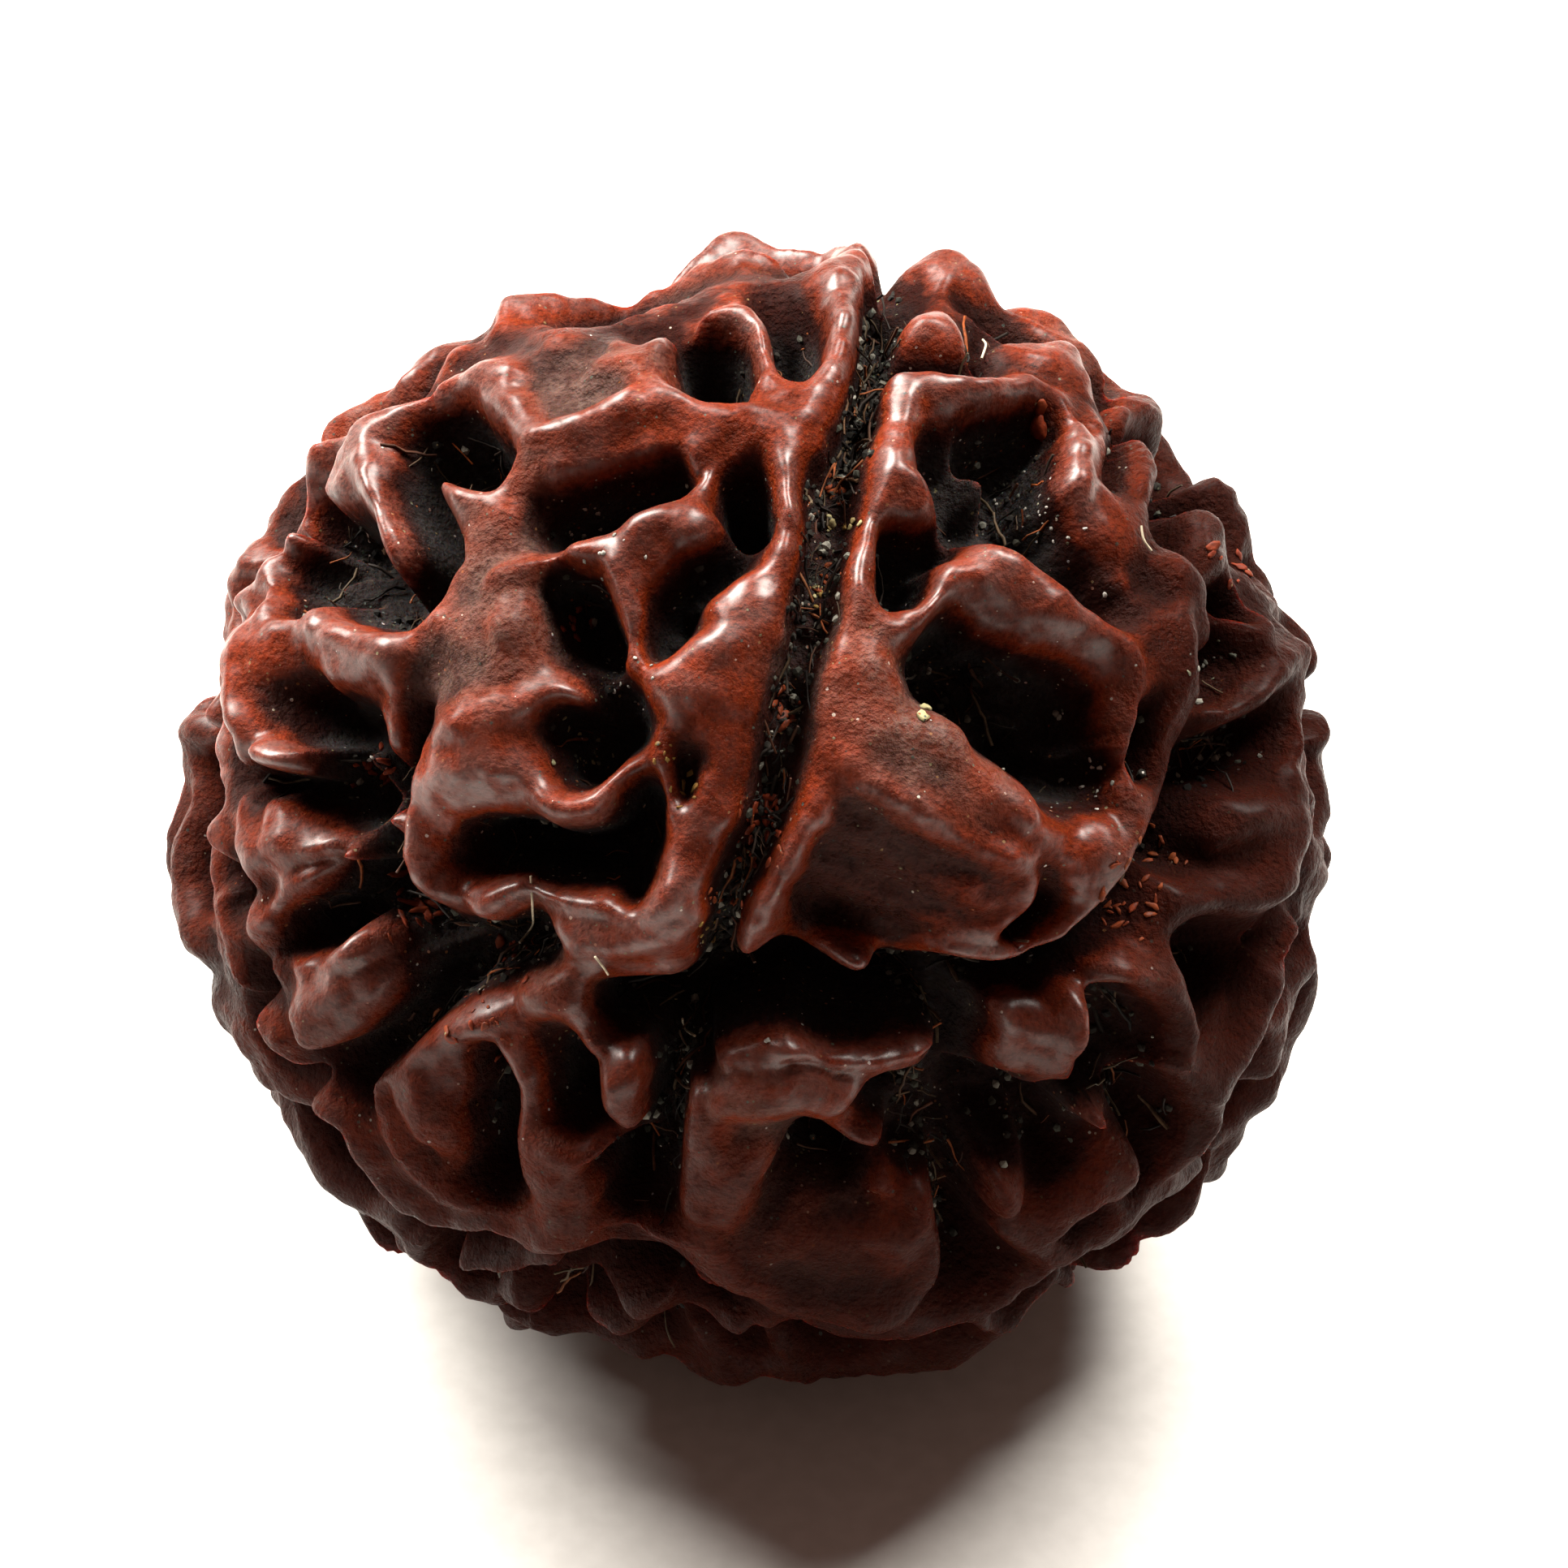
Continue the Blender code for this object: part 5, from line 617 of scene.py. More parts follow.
def far_lines():
    """The grooves and their banks, carried on by rule from the rim to the far pole."""
    rng = np.random.default_rng(SEED + 5)
    starts, _ = grazed_directions(np.array(GROOVE_ENDS))
    steps = np.linspace(0.0, GROOVE_STOP, GROOVE_STEPS)[:, None]
    made = []
    for start in starts:
        path = unit(start * (1 - steps) - AXIS * steps)
        across = unit(np.cross(path, AXIS))
        waves = np.sin(steps * rng.uniform(*SWAY_WAVES) + rng.uniform(0, FULL_TURN))
        path = unit(path + GROOVE_SWAY * waves * np.sin(np.pi * steps) * across)
        depth = GROOVE_DEPTH - POLE_DEEPER * smooth_step(BANK_STOP, 1.0, steps[:, 0])
        made.append((False, GROOVE_HALF, path, depth, 1.0))
        on_bank = steps[:, 0] < BANK_STOP
        along = steps[on_bank]
        for turn in (-1, 1):
            waves = np.sin(along * rng.uniform(*BANK_WAVES) + rng.uniform(0, FULL_TURN))
            offset = BANK_OFFSET / GIRTH_RADIUS * (1 + BANK_SWAY * waves)
            bank = unit(path[on_bank] + turn * offset * across[on_bank])
            waves = np.sin(along[:, 0] * rng.uniform(*DIP_WAVES) + rng.uniform(0, FULL_TURN))
            made.append((True, BANK_HALF, bank, BANK_DIP * smooth_step(*DIP_BAND, waves), 1.0))
    return made


far_grooves = far_lines()
print(len(far_grooves), "furrow and bank lines on the far side")

# %% [markdown]
# ## The height of the surface
#
# Each point of the ball asks two questions: how far is the nearest ridge line, and how far the nearest
# floor line? Where the ridge is much nearer the point stands at the ridge's level, where the floor is
# nearer it lies at the floor's, and in between a rounded wall joins them. Many lines meet at each
# crossing, so the distances are joined softly and no line ends in a step. Then wide lobes are swollen
# a little, as on the real bead, and two sizes of waves make every lobe uneven. The share of the way
# up the wall and the depth under the ridges are kept as well, because the colours will need them.

# %% All the lines in one list
SLOPE_START = 0.05
SLOPE_END = 0.95
JOIN_POWER = 6.0
JOIN_SOFTNESS = 0.08
LEVEL_POWER = 3.5
LEVEL_SOFTNESS = 0.45
ROUNDING = 0.8
PUFF = 0.9
PUFF_REACH = 1.5
PUFF_BASE = 0.33
CROWN = 0.14
CROWN_REACH = 1.1
CREST_SHARE = 0.6
HOLLOW_SHARE = 1.0
DEPTH_SHARE = 1.15
REACH = 7.0
TINY = 1e-9
SOFTENING_PASSES = 3
AVERAGING = 0.6
SWELL = 0.1
SWELL_SIZE = 1.0
FINE_SWELL = 0.045
FINE_SWELL_SIZE = 0.45


def all_lines():
    """Every line as crest or hollow, half width, directions, levels and firmness."""
    made = []
    for is_crest, lines in ((True, CREST_LINES), (False, HOLLOW_LINES)):
        for half, points in lines:
            line = smooth_line(points, LINE_STEP)
            directions = seen_directions(line[:, :2], SIGHT_SHARE * line[:, 2])
            made.append((is_crest, half, directions, line[:, 2], 1.0))
    behind = RIM_BACK + RIM_SWAY * wave_noise(surface_points(rim_directions), RIM_SWAY_SIZE, SEED + 9)
    rim = unit(rim_directions - behind[:, None] * TOWARD)
    made.append((True, RIM_HALF, rim, rim_levels, RIM_FIRMNESS))
    return made + far_grooves


every_line = all_lines()
print(len(every_line), "lines in all")

# %% The height in every direction
def relief(directions):
    """For each direction: level over the smooth form, share of the way up the wall, and depth."""
    points = surface_points(directions)
    setback = NEAR_SETBACK * smooth_step(*SETBACK_BAND, unit(points) @ TOWARD)
    to_net, to_pit, net_level, pit_level = far_net(points)
    joined = {}
    for is_crest, reach, level in ((True, to_net, net_level), (False, to_pit, pit_level)):
        reach = np.maximum(reach + setback, 0)
        pull = (reach + LEVEL_SOFTNESS) ** -LEVEL_POWER
        joined[is_crest] = [(reach + JOIN_SOFTNESS) ** -JOIN_POWER, pull, pull * level]
    for is_crest, half, path, path_levels, firmness in every_line:
        stations = surface_points(path)
        middle = stations.mean(axis=0)
        span = np.linalg.norm(stations - middle, axis=1).max() + REACH
        near = np.flatnonzero(((points - middle) ** 2).sum(axis=1) < span**2)
        apart = separations(points[near], stations)
        closest = apart.argmin(axis=1)
        distance = apart[np.arange(len(near)), closest]
        reach = np.maximum(distance - half * (CREST_SHARE if is_crest else HOLLOW_SHARE), 0)
        level = np.asarray(path_levels)[closest]
        if is_crest:
            level = level - CROWN * np.minimum(distance, CROWN_REACH) ** 2
        else:
            level = level * DEPTH_SHARE
        pull = firmness * (reach + LEVEL_SOFTNESS) ** -LEVEL_POWER
        sums = joined[is_crest]
        sums[0][near] += (reach + JOIN_SOFTNESS) ** -JOIN_POWER
        sums[1][near] += pull
        sums[2][near] += pull * level
    to_crest, to_hollow = (joined[key][0] ** (-1 / JOIN_POWER) - JOIN_SOFTNESS for key in (True, False))
    crest, hollow = (joined[key][2] / joined[key][1] for key in (True, False))
    to_crest, to_hollow = np.maximum(to_crest, 0), np.maximum(to_hollow, 0)
    rise = to_hollow / np.maximum(to_hollow + to_crest, TINY)
    swell = SWELL * wave_noise(points, SWELL_SIZE, SEED + 11)
    swell += FINE_SWELL * wave_noise(points, FINE_SWELL_SIZE, SEED + 12)
    swell += PUFF * (1 - np.exp(-to_hollow / PUFF_REACH)) - PUFF_BASE
    wall = smooth_step(SLOPE_START, SLOPE_END, rise)
    depth = (crest - hollow) * (1 - wall - ROUNDING * (rise * (2 - rise) - wall))
    return crest - depth + swell, rise, depth


# %% Wear sharp edges round
def softened(levels, edges, edge_length, length):
    """The levels with their sharp edges worn round, about as far as this length."""
    ends = np.concatenate([edges, edges[:, ::-1]])
    counts = np.bincount(ends[:, 0], minlength=len(levels))
    for _ in range(max(1, round((length / edge_length) ** 2 * SOFTENING_PASSES))):
        around = np.bincount(ends[:, 0], weights=levels[ends[:, 1]], minlength=len(levels)) / counts
        levels = (1 - AVERAGING) * levels + AVERAGING * around
    return levels


# %% [markdown]
# ## The fine ball
#
# The real surface has no seam or corner, so a ball of small, nearly equal triangles is the best blank:
# every part of it can be pushed in or out the same way. Pit floors are rough with caked dust, so they
# get uneven bumps of up to about a tenth of a millimetre; the ridges keep fainter dimples, about half
# as high.

# %% Helpers for meshes
def mesh_array(items, name, width, kind=float):
    """One named number, or row of numbers, from each of a mesh's points, edges or values."""
    values = np.empty(len(items) * width, kind)
    items.foreach_get(name, values)
    return values.reshape(-1, width) if width > 1 else values


def finished_mesh(piece):
    """A plain mesh of the piece as its modifiers shape it. The modifiers are then dropped."""
    made = bpy.data.meshes.new_from_object(piece.evaluated_get(bpy.context.evaluated_depsgraph_get()))
    piece.modifiers.clear()
    return made


def keep_on_points(mesh, name, values):
    """Store a number on every point of the mesh under this name."""
    mesh.attributes.new(name, "FLOAT", "POINT").data.foreach_set("value", values)


# %% Push a fine ball out to the surface
FINENESS = 8
FINE_SOFTENING = 0.1
FLOOR_BAND = (0.1, 0.65)
CAKE = ((0.07, 0.42), (0.035, 0.2))
DIMPLE = ((0.034, 0.6), (0.021, 0.24))

bpy.ops.mesh.primitive_ico_sphere_add(subdivisions=FINENESS, radius=1.0)
bead = bpy.context.object
bead.name = bead.data.name = "bead_skin"
directions = unit(mesh_array(bead.data.vertices, "co", 3))
edges = mesh_array(bead.data.edges, "vertices", 2, np.int64)
smooth = surface_points(directions)
edge_length = np.linalg.norm(smooth[edges[:, 0]] - smooth[edges[:, 1]], axis=1).mean()
found = [softened(values, edges, edge_length, FINE_SOFTENING) for values in relief(directions)]
levels, rise, depth = found
floor_share = 1 - smooth_step(*FLOOR_BAND, rise)
for bumps, share in ((CAKE, floor_share), (DIMPLE, 1 - floor_share)):
    for k, (height, size) in enumerate(bumps):
        levels += share * height * wave_noise(smooth, size, SEED + 30 + k)
points = smooth + levels[:, None] * directions
print(len(points), "points", round(edge_length, 3), "mm apart")
print("levels from", levels.min().round(2), "to", levels.max().round(2), "mm")
print("share of the surface that is pit floor:", floor_share.mean().round(2))

# %% [markdown]
# ## Where polish, dust and dirt belong
#
# Hands polish what stands proud and never reach what lies deep. Five numbers on every point say which
# is which:
#
# - `rise` is the share of the way up the wall.
# - `depth` is how far the point lies under the ridges, in millimetres.
# - `crown` tells how far it stands over its surroundings.
# - `film` is where fine grey dust has settled and stayed.
# - `shade` is painted shade: darker colour on the underside and on the right flank.
#
# They are stored on the mesh, so that they follow the surface exactly. The materials and the litter
# read them by name. An image laid over the bead would have to be painted for all sides first.

# %% Crown, film and painted shade
CROWN_SPREAD = 0.75
CROWN_HEIGHT = 0.5
blurred = softened(levels, edges, edge_length, CROWN_SPREAD)
crown = np.clip(0.5 + (levels - blurred) / CROWN_HEIGHT / 2, 0, 1)

FILM_SPOTS = [
    # right, up, reach, strength
    (3.0, 1.5, 1.2, 1.0), (2.2, 2.3, 1.0, 0.8), (4.1, 0.7, 0.7, 0.7), (2.1, 3.6, 0.6, 0.6),
    (-5.4, 4.9, 1.3, 0.8), (-5.1, 3.3, 1.3, 0.9), (-6.0, 2.8, 0.8, 0.7), (-4.5, 6.6, 0.7, 0.6),
    (-3.4, 8.2, 1.1, 0.8), (-2.5, 8.5, 0.8, 0.7), (-0.2, -6.0, 1.1, 0.6),
    (-4.1, -3.3, 0.9, 0.5), (1.2, -8.2, 1.2, 0.4), (0.6, 3.2, 0.7, 0.4),
]
UNSEEN_BAND = (0.0, 0.3)
FAR_FILM = 0.6
FAR_FILM_SIZE = 2.4
FAR_FILM_BAND = (0.3, 1.2)
spots = np.array(FILM_SPOTS)
spot_points = surface_points(seen_directions(spots[:, :2], 0 * spots[:, 0]))
reach = separations(smooth, spot_points) / spots[:, 2]
film = (spots[:, 3] * np.exp(-reach**2)).max(axis=1)
unseen = 1 - smooth_step(*UNSEEN_BAND, directions @ TOWARD)
far_patches = smooth_step(*FAR_FILM_BAND, wave_noise(smooth, FAR_FILM_SIZE, SEED + 40))
film = np.maximum(film, unseen * FAR_FILM * far_patches)

# Painted shade: the colour is darkened toward the underside and on the right flank.
UNDERSIDE_BAND = (0.5, -0.4)
RIGHT_FLANK_BAND = (0.52, 0.76)
shade = smooth_step(*UNDERSIDE_BAND, directions[:, 2])
shade = np.maximum(shade, smooth_step(*RIGHT_FLANK_BAND, directions @ RIGHT))
print("mean crown, film and shade:", crown.mean().round(2), film.mean().round(2), shade.mean().round(2))

# %% Put the numbers and the places on the mesh
kept = {"rise": rise, "depth": depth, "crown": crown, "film": film, "shade": shade}
for name, values in kept.items():
    keep_on_points(bead.data, name, values)
bead.data.vertices.foreach_set("co", ((points + CENTRE) * METRES).ravel())
bead.data.update()
print("numbers kept on every point:", list(kept))

# %% [markdown]
# The ball has more triangles than one piece may have, so it is thinned where it is nearly flat. A
# coarser ball would lose as much on the sharp crests as on the flats. Last, the lowest ridge tops are
# worn flat where the bead rests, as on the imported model.

# %% Thin the mesh and wear the lowest ridge tops flat
MOST_TRIANGLES = 196000
if len(bead.data.polygons) > MOST_TRIANGLES:
    thin = bead.modifiers.new("thin", "DECIMATE")
    thin.ratio = MOST_TRIANGLES / len(bead.data.polygons)
    bead.data = finished_mesh(bead)
    bead.data.name = bead.name
placed = mesh_array(bead.data.vertices, "co", 3)
placed[placed[:, 2] < REST_SLACK * METRES, 2] = 0.0
bead.data.vertices.foreach_set("co", placed.ravel())
bead.data.update()
bead.data.shade_smooth()
print(len(bead.data.polygons), "triangles in the bead's skin")

# %% [markdown]
# ## Helpers for the node trees
#
# A node tree is easier to read when each line makes one node and says what feeds it. `Tree` wraps a
# tree so that a number is written into a socket, and an output is linked to it, by the same call.

# %% A short way to write node trees
class Tree:
    """A node tree that is written line by line. Underscores stand for the spaces in socket names."""

    def __init__(self, tree):
        self.tree = tree

    def node(self, kind, settings=None, **inputs):
        """A new node with these settings, fed through its named sockets or its numbered slots."""
        made = self.tree.nodes.new(kind)
        for name, value in (settings or {}).items():
            setattr(made, name, value)
        for name, value in inputs.items():
            self.feed(made, name.replace("_", " "), value)
        return made

    def feed(self, made, name, value):
        """Link an output to the socket, or write a plain value into it."""
        by_slot = name.startswith("slot ")
        socket = made.inputs[int(name.removeprefix("slot ")) if by_slot else name]
        if isinstance(value, bpy.types.NodeSocket):
            self.tree.links.new(value, socket)
        elif isinstance(value, bpy.types.Node):
            self.tree.links.new(value.outputs[0], socket)
        else:
            socket.default_value = value

    def math(self, operation, first, second=0.0, clamp=False):
        settings = {"operation": operation, "use_clamp": clamp}
        return self.node("ShaderNodeMath", settings, slot_0=first, slot_1=second).outputs[0]

    def product(self, first, *others):
        """All the values multiplied together."""
        for other in others:
            first = self.math("MULTIPLY", first, other)
        return first

    def band(self, value, low, high, start=0.0, end=1.0):
        """The value's place between low and high, eased, as a number from start to end."""
        settings = {"interpolation_type": "SMOOTHSTEP"}
        made = self.node("ShaderNodeMapRange", settings, slot_0=value, slot_1=low, slot_2=high)
        self.feed(made, "slot 3", start)
        self.feed(made, "slot 4", end)
        return made.outputs[0]

    def mix(self, share, first, second):
        """The first colour, with this share of the second laid over it."""
        made = self.node("ShaderNodeMix", {"data_type": "RGBA"}, slot_0=share)
        self.feed(made, "slot 6", first)
        self.feed(made, "slot 7", second)
        return made.outputs[2]

    def ramp(self, value, shades):
        """The colour that belongs to the value, among shades set at places from 0 to 1."""
        made = self.node("ShaderNodeValToRGB", None, Fac=value)
        for place, _ in shades[1:-1]:
            made.color_ramp.elements.new(place)
        for element, (place, colour) in zip(made.color_ramp.elements, shades):
            element.position = place
            element.color = (*colour, 1)
        return made.outputs[0]

    def lighter(self, colour, value):
        """The colour, made lighter or darker by this factor."""
        return self.node("ShaderNodeHueSaturation", None, Color=colour, Value=value).outputs[0]

    def attribute(self, name):
        """The number stored on the mesh under this name."""
        return self.node("ShaderNodeAttribute", {"attribute_name": name}).outputs["Fac"]

    def noise(self, place, size_mm, detail=2.0, roughness=0.5):
        """Noise with bumps of about this many millimetres, around one half."""
        made = self.node("ShaderNodeTexNoise", None, Vector=place, Scale=1 / (size_mm * METRES))
        self.feed(made, "Detail", detail)
        self.feed(made, "Roughness", roughness)
        return made.outputs[0]


# %% New groups and new materials
def new_group(name, kind, ins, outs):
    """A node group with named sockets: the group, its tree, its inputs and its output node."""
    group = bpy.data.node_groups.new(name, kind)
    for in_out, sockets in (("INPUT", ins), ("OUTPUT", outs)):
        for label, socket in sockets:
            group.interface.new_socket(name=label, in_out=in_out, socket_type="NodeSocket" + socket)
    tree = Tree(group)
    return group, tree, tree.node("NodeGroupInput").outputs, tree.node("NodeGroupOutput")


def new_material(name, colour):
    """A material, its tree, its shader and the Object coordinates that its patterns follow."""
    material = bpy.data.materials.new(name)
    material.use_nodes = True
    material.diffuse_color = (*colour, 1)
    tree = Tree(material.node_tree)
    place = tree.node("ShaderNodeTexCoord").outputs["Object"]
    return material, tree, material.node_tree.nodes["Principled BSDF"], place


# %% [markdown]
# ## Grit
#
# Fine grit lies on everything here: pale and dark grains no wider than 0.07 mm, thick in the pits and
# thin on the ridges. The stone and all that clings to it carry it, so it is one shader group with its
# amount as an input. Grains this small would need far too many triangles as real shapes.
#
# A cell pattern picks some cells at random and puts a grain in the middle of each. The grain's own
# random colour decides whether it is dark, grey-green, straw, orange or white.

# %% The shader group for grit
GRAIN_LEAST = 0.1
GRAIN_SPREAD = 0.22
GRAIN_SHADES = [
    (0.0, (0.02, 0.03, 0.025)), (0.35, (0.07, 0.085, 0.07)), (0.6, (0.15, 0.12, 0.06)),
    (0.8, (0.2, 0.05, 0.015)), (1.0, (0.45, 0.44, 0.4)),
]
grit_group, grit, grit_in, grit_out = new_group(
    "grit", "ShaderNodeTree",
    [("Place", "Vector"), ("Amount", "Float"), ("Size mm", "Float")],
    [("Mask", "Float"), ("Colour", "Color")],
)
per_metre = grit.math("DIVIDE", 1 / METRES, grit_in["Size mm"])
cells = grit.node("ShaderNodeTexVoronoi", None, Vector=grit_in["Place"], Scale=per_metre)
dice = grit.node("ShaderNodeSeparateColor", None, Color=cells.outputs["Color"]).outputs
picked = grit.math("LESS_THAN", dice[0], grit_in["Amount"])
grain_size = grit.math("MULTIPLY_ADD", dice[1], GRAIN_SPREAD)
grit.feed(grain_size.node, "slot 2", GRAIN_LEAST)
inside = grit.math("LESS_THAN", cells.outputs["Distance"], grain_size)
grit.feed(grit_out, "Mask", grit.product(picked, inside))
grit.feed(grit_out, "Colour", grit.ramp(dice[2], GRAIN_SHADES))
print("grit group:", len(grit_group.nodes), "nodes")

# %% [markdown]
# ## The polished stone
#
# Polished ridges are red-brown and glow orange-red where light enters a thin edge and leaves just
# below it. Down the walls the light sinks to near black, and the floors are dull black cake with grit.
#
# Five colours lie over each other, from the cake in the pits up to the ridge tops. Three of them paint
# light into the colour: the near black of the walls is painted shade, the orange of the flanks is a
# painted glow on the stone's red, and the lighter pink-brown of the tops is partly dust and partly
# painted highlight. Two numbers choose between them: `deep` is the depth and `proud` is the crown, both
# shaken by noise so that no contour shows. Painting the colours by hand would follow one bead's ridges
# only; this rule fits any of them.

# %% Noise of three sizes, and the shaken depth and crown
SHAKE_MIDDLE = 0.5
SHAKE_FINE = 0.14
SHAKE_MEAN = 0.32
DEPTH_SHAKE = -1.2
CROWN_SHAKE = 0.6
# Partly painted highlight: the ridge tops' lighter pink-brown is partly dust and partly painted highlight.
TOP_DUST_AND_HIGHLIGHT = (0.082, 0.027, 0.02, 1)
stone, look, stone_shader, place = new_material("polished_stone", TOP_DUST_AND_HIGHLIGHT[:3])
coarse = look.noise(place, 1.6, 3.0)
middle = look.noise(place, 0.45, 3.0)
fine = look.noise(place, 0.12, 4.0, 0.6)
shake = look.math("ADD", look.product(middle, SHAKE_MIDDLE), look.product(fine, SHAKE_FINE))
shake = look.math("SUBTRACT", shake, SHAKE_MEAN)
deep = look.math("ADD", look.attribute("depth"), look.product(shake, DEPTH_SHAKE))
proud = look.math("ADD", look.attribute("crown"), look.product(shake, CROWN_SHAKE))
print("noise, depth and crown:", len(stone.node_tree.nodes), "nodes")

# %% The stone's colours with painted shade, glow and highlight, from the pits to the ridge tops
# Painted glow: the orange-red of the flanks under the crests stands for light coming back out of thin
# edges.
FLANK_PAINTED_GLOW = (0.102, 0.0116, 0.0019, 1)
STONE_FLAT = (0.026, 0.0082, 0.0062, 1)
# Painted shade: the walls darken to near black with depth.
PAINTED_WALL_SHADE = (0.014, 0.0032, 0.0022, 1)
PIT_CAKE = (0.02, 0.0165, 0.016, 1)
WALL_DEPTHS = (1.2, 0.55)
FLAT_DEPTHS = (0.6, 0.2)
FLANK_DEPTHS = (0.7, 0.2)
FLANK_CROWNS = (0.5, 0.8)
TOP_CROWNS = (0.88, 1.1)
TOP_PATCHES = (0.35, 0.6, 0.3, 1.0)
COARSE_MOTTLE = (0.3, 0.7, 0.66, 1.2)
FINE_MOTTLE = (0.3, 0.7, 0.75, 1.3)
# Painted shade on the walls, painted glow on the flanks, partly painted highlight on the tops.
to_painted_wall_shade = look.band(deep, *WALL_DEPTHS)
to_flat = look.band(deep, *FLAT_DEPTHS)
to_painted_flank_glow = look.product(look.band(deep, *FLANK_DEPTHS), look.band(proud, *FLANK_CROWNS))
to_top_dust_and_highlight = look.product(look.band(proud, *TOP_CROWNS), look.band(coarse, *TOP_PATCHES))
colour = look.mix(to_painted_wall_shade, PIT_CAKE, PAINTED_WALL_SHADE)
colour = look.mix(to_flat, colour, STONE_FLAT)
colour = look.mix(to_painted_flank_glow, colour, FLANK_PAINTED_GLOW)
colour = look.mix(to_top_dust_and_highlight, colour, TOP_DUST_AND_HIGHLIGHT)
mottle = look.product(look.band(coarse, *COARSE_MOTTLE), look.band(fine, *FINE_MOTTLE))
colour = look.lighter(colour, mottle)
print("with the stone's colours:", len(stone.node_tree.nodes), "nodes")

# %% [markdown]
# Three things lie over the stone's colours. The film of dust is thin and patchy and ends where the
# cake of the pits begins. The grit comes from its group. The painted shade of `shade` comes last and
# darkens all of them on the underside and the right flank. Laying each over the last with its own
# share keeps them easy to change one by one.

# %% Film, grit and painted shade over the colours
FILM_GREY = (0.1, 0.061, 0.05, 1)
FILM_MIDDLE = (0.3, 0.65, 0.35, 1.0)
FILM_FINE = (0.3, 0.6, 0.3, 1.0)
FILM_DEPTHS = (0.8, 0.3, 0.0, 0.9)
GRIT_DEPTHS = (0.3, 1.0, 0.2, 0.45)
GRIT_PATCHES = (0.42, 0.62, 0.15, 1.0)
GRIT_SIZE = 0.11
GRIT_SHARE = 0.8
# Colour and share of the painted shade on the underside and the right flank
PAINTED_SHADE_COLOUR = (0.012, 0.0025, 0.0015, 1)
PAINTED_SHADE_SHARE = 0.88
film_share = look.product(
    look.attribute("film"),
    look.band(middle, *FILM_MIDDLE),
    look.band(fine, *FILM_FINE),
    look.band(deep, *FILM_DEPTHS),
)
colour = look.mix(film_share, colour, FILM_GREY)
grit_amount = look.product(look.band(deep, *GRIT_DEPTHS), look.band(coarse, *GRIT_PATCHES))
grains = look.node("ShaderNodeGroup", {"node_tree": grit_group}, Place=place, Amount=grit_amount)
look.feed(grains, "Size mm", GRIT_SIZE)
grain_mask = grains.outputs["Mask"]
colour = look.mix(look.product(grain_mask, GRIT_SHARE), colour, grains.outputs["Colour"])
# Painted shade: the underside and the right flank are darkened last.
colour = look.mix(look.product(look.attribute("shade"), PAINTED_SHADE_SHARE), colour, PAINTED_SHADE_COLOUR)
look.feed(stone_shader, "Base Color", colour)
print("with film, grit and stain:", len(stone.node_tree.nodes), "nodes")

# %% [markdown]
# Handling has polished the crests until they shine as if under a clear coat, so the coat follows the
# crown and gives way to depth, film and the painted shade. Under the coat the plain gloss is turned down
# nearly to nothing: the pale table mirrored in it at a low angle would lie on the lower lobes like a
# grey veil.
# The glow of thin edges is light scattered inside the stone, so the shader scatters it too, red
# furthest, over the glow already painted into the flank colour.

# %% How rough, how polished and how the light sinks in
ROUGH_DEPTHS = (0.7, 0.15, 0.9, 0.34)
ROUGH_FINE = (0.35, 0.65, -0.08, 0.1)
ROUGH_FILM = 0.35
POLISH_DEPTHS = (0.6, 0.1)
POLISH_MIDDLE = (0.35, 0.65, 0.3, 1.0)
POLISH_CROWNS = (0.66, 1.0, 0.05, 1.0)
POLISH_FILM = (0.15, 0.5, 1.0, 0.1)
POLISH_UNDER_PAINTED_SHADE = (0.0, 0.6, 1.0, 0.08)
MOST_COAT = 0.9
roughness = look.band(deep, *ROUGH_DEPTHS)
roughness = look.math("ADD", roughness, look.band(fine, *ROUGH_FINE))
roughness = look.math("ADD", roughness, look.product(film_share, ROUGH_FILM), clamp=True)
look.feed(stone_shader, "Roughness", roughness)
polish = look.product(
    look.band(deep, *POLISH_DEPTHS),
    look.band(middle, *POLISH_MIDDLE),
    look.band(proud, *POLISH_CROWNS),
    look.band(look.attribute("film"), *POLISH_FILM),
    look.band(look.attribute("shade"), *POLISH_UNDER_PAINTED_SHADE),
)
look.feed(stone_shader, "Coat Weight", look.product(polish, MOST_COAT))
look.feed(stone_shader, "Coat Roughness", 0.36)
look.feed(stone_shader, "IOR", 1.42)
look.feed(stone_shader, "Specular IOR Level", 0.03)
look.feed(stone_shader, "Subsurface Weight", 0.3)
look.feed(stone_shader, "Subsurface Radius", (1.0, 0.18, 0.06))
look.feed(stone_shader, "Subsurface Scale", 0.6 * METRES)
print("with roughness and polish:", len(stone.node_tree.nodes), "nodes")

# %% [markdown]
# The crests of the real bead are not quite smooth: pores and scratches too fine for the mesh break up
# their shine. These come from bump, which changes how light falls but not the shape.

# %% Pores, scratches and grains as bump
BUMP_FINE = (0.9, 0.2, 1.6, 1.5)
BUMP_MIDDLE = (0.9, 0.2, 1.3, 1.2)
BUMP_GRAIN = 0.5
BUMP_HEIGHT = 0.1
bumps = look.product(fine, look.band(deep, *BUMP_FINE))
bumps = look.math("ADD", bumps, look.product(middle, look.band(deep, *BUMP_MIDDLE)))
bumps = look.math("ADD", bumps, look.product(grain_mask, BUMP_GRAIN))
bump = look.node("ShaderNodeBump", None, Height=bumps, Distance=BUMP_HEIGHT * METRES, Strength=1.0)
look.feed(stone_shader, "Normal", bump)
bead.data.materials.clear()
bead.data.materials.append(stone)
print("stone:", len(stone.node_tree.nodes), "nodes in all")

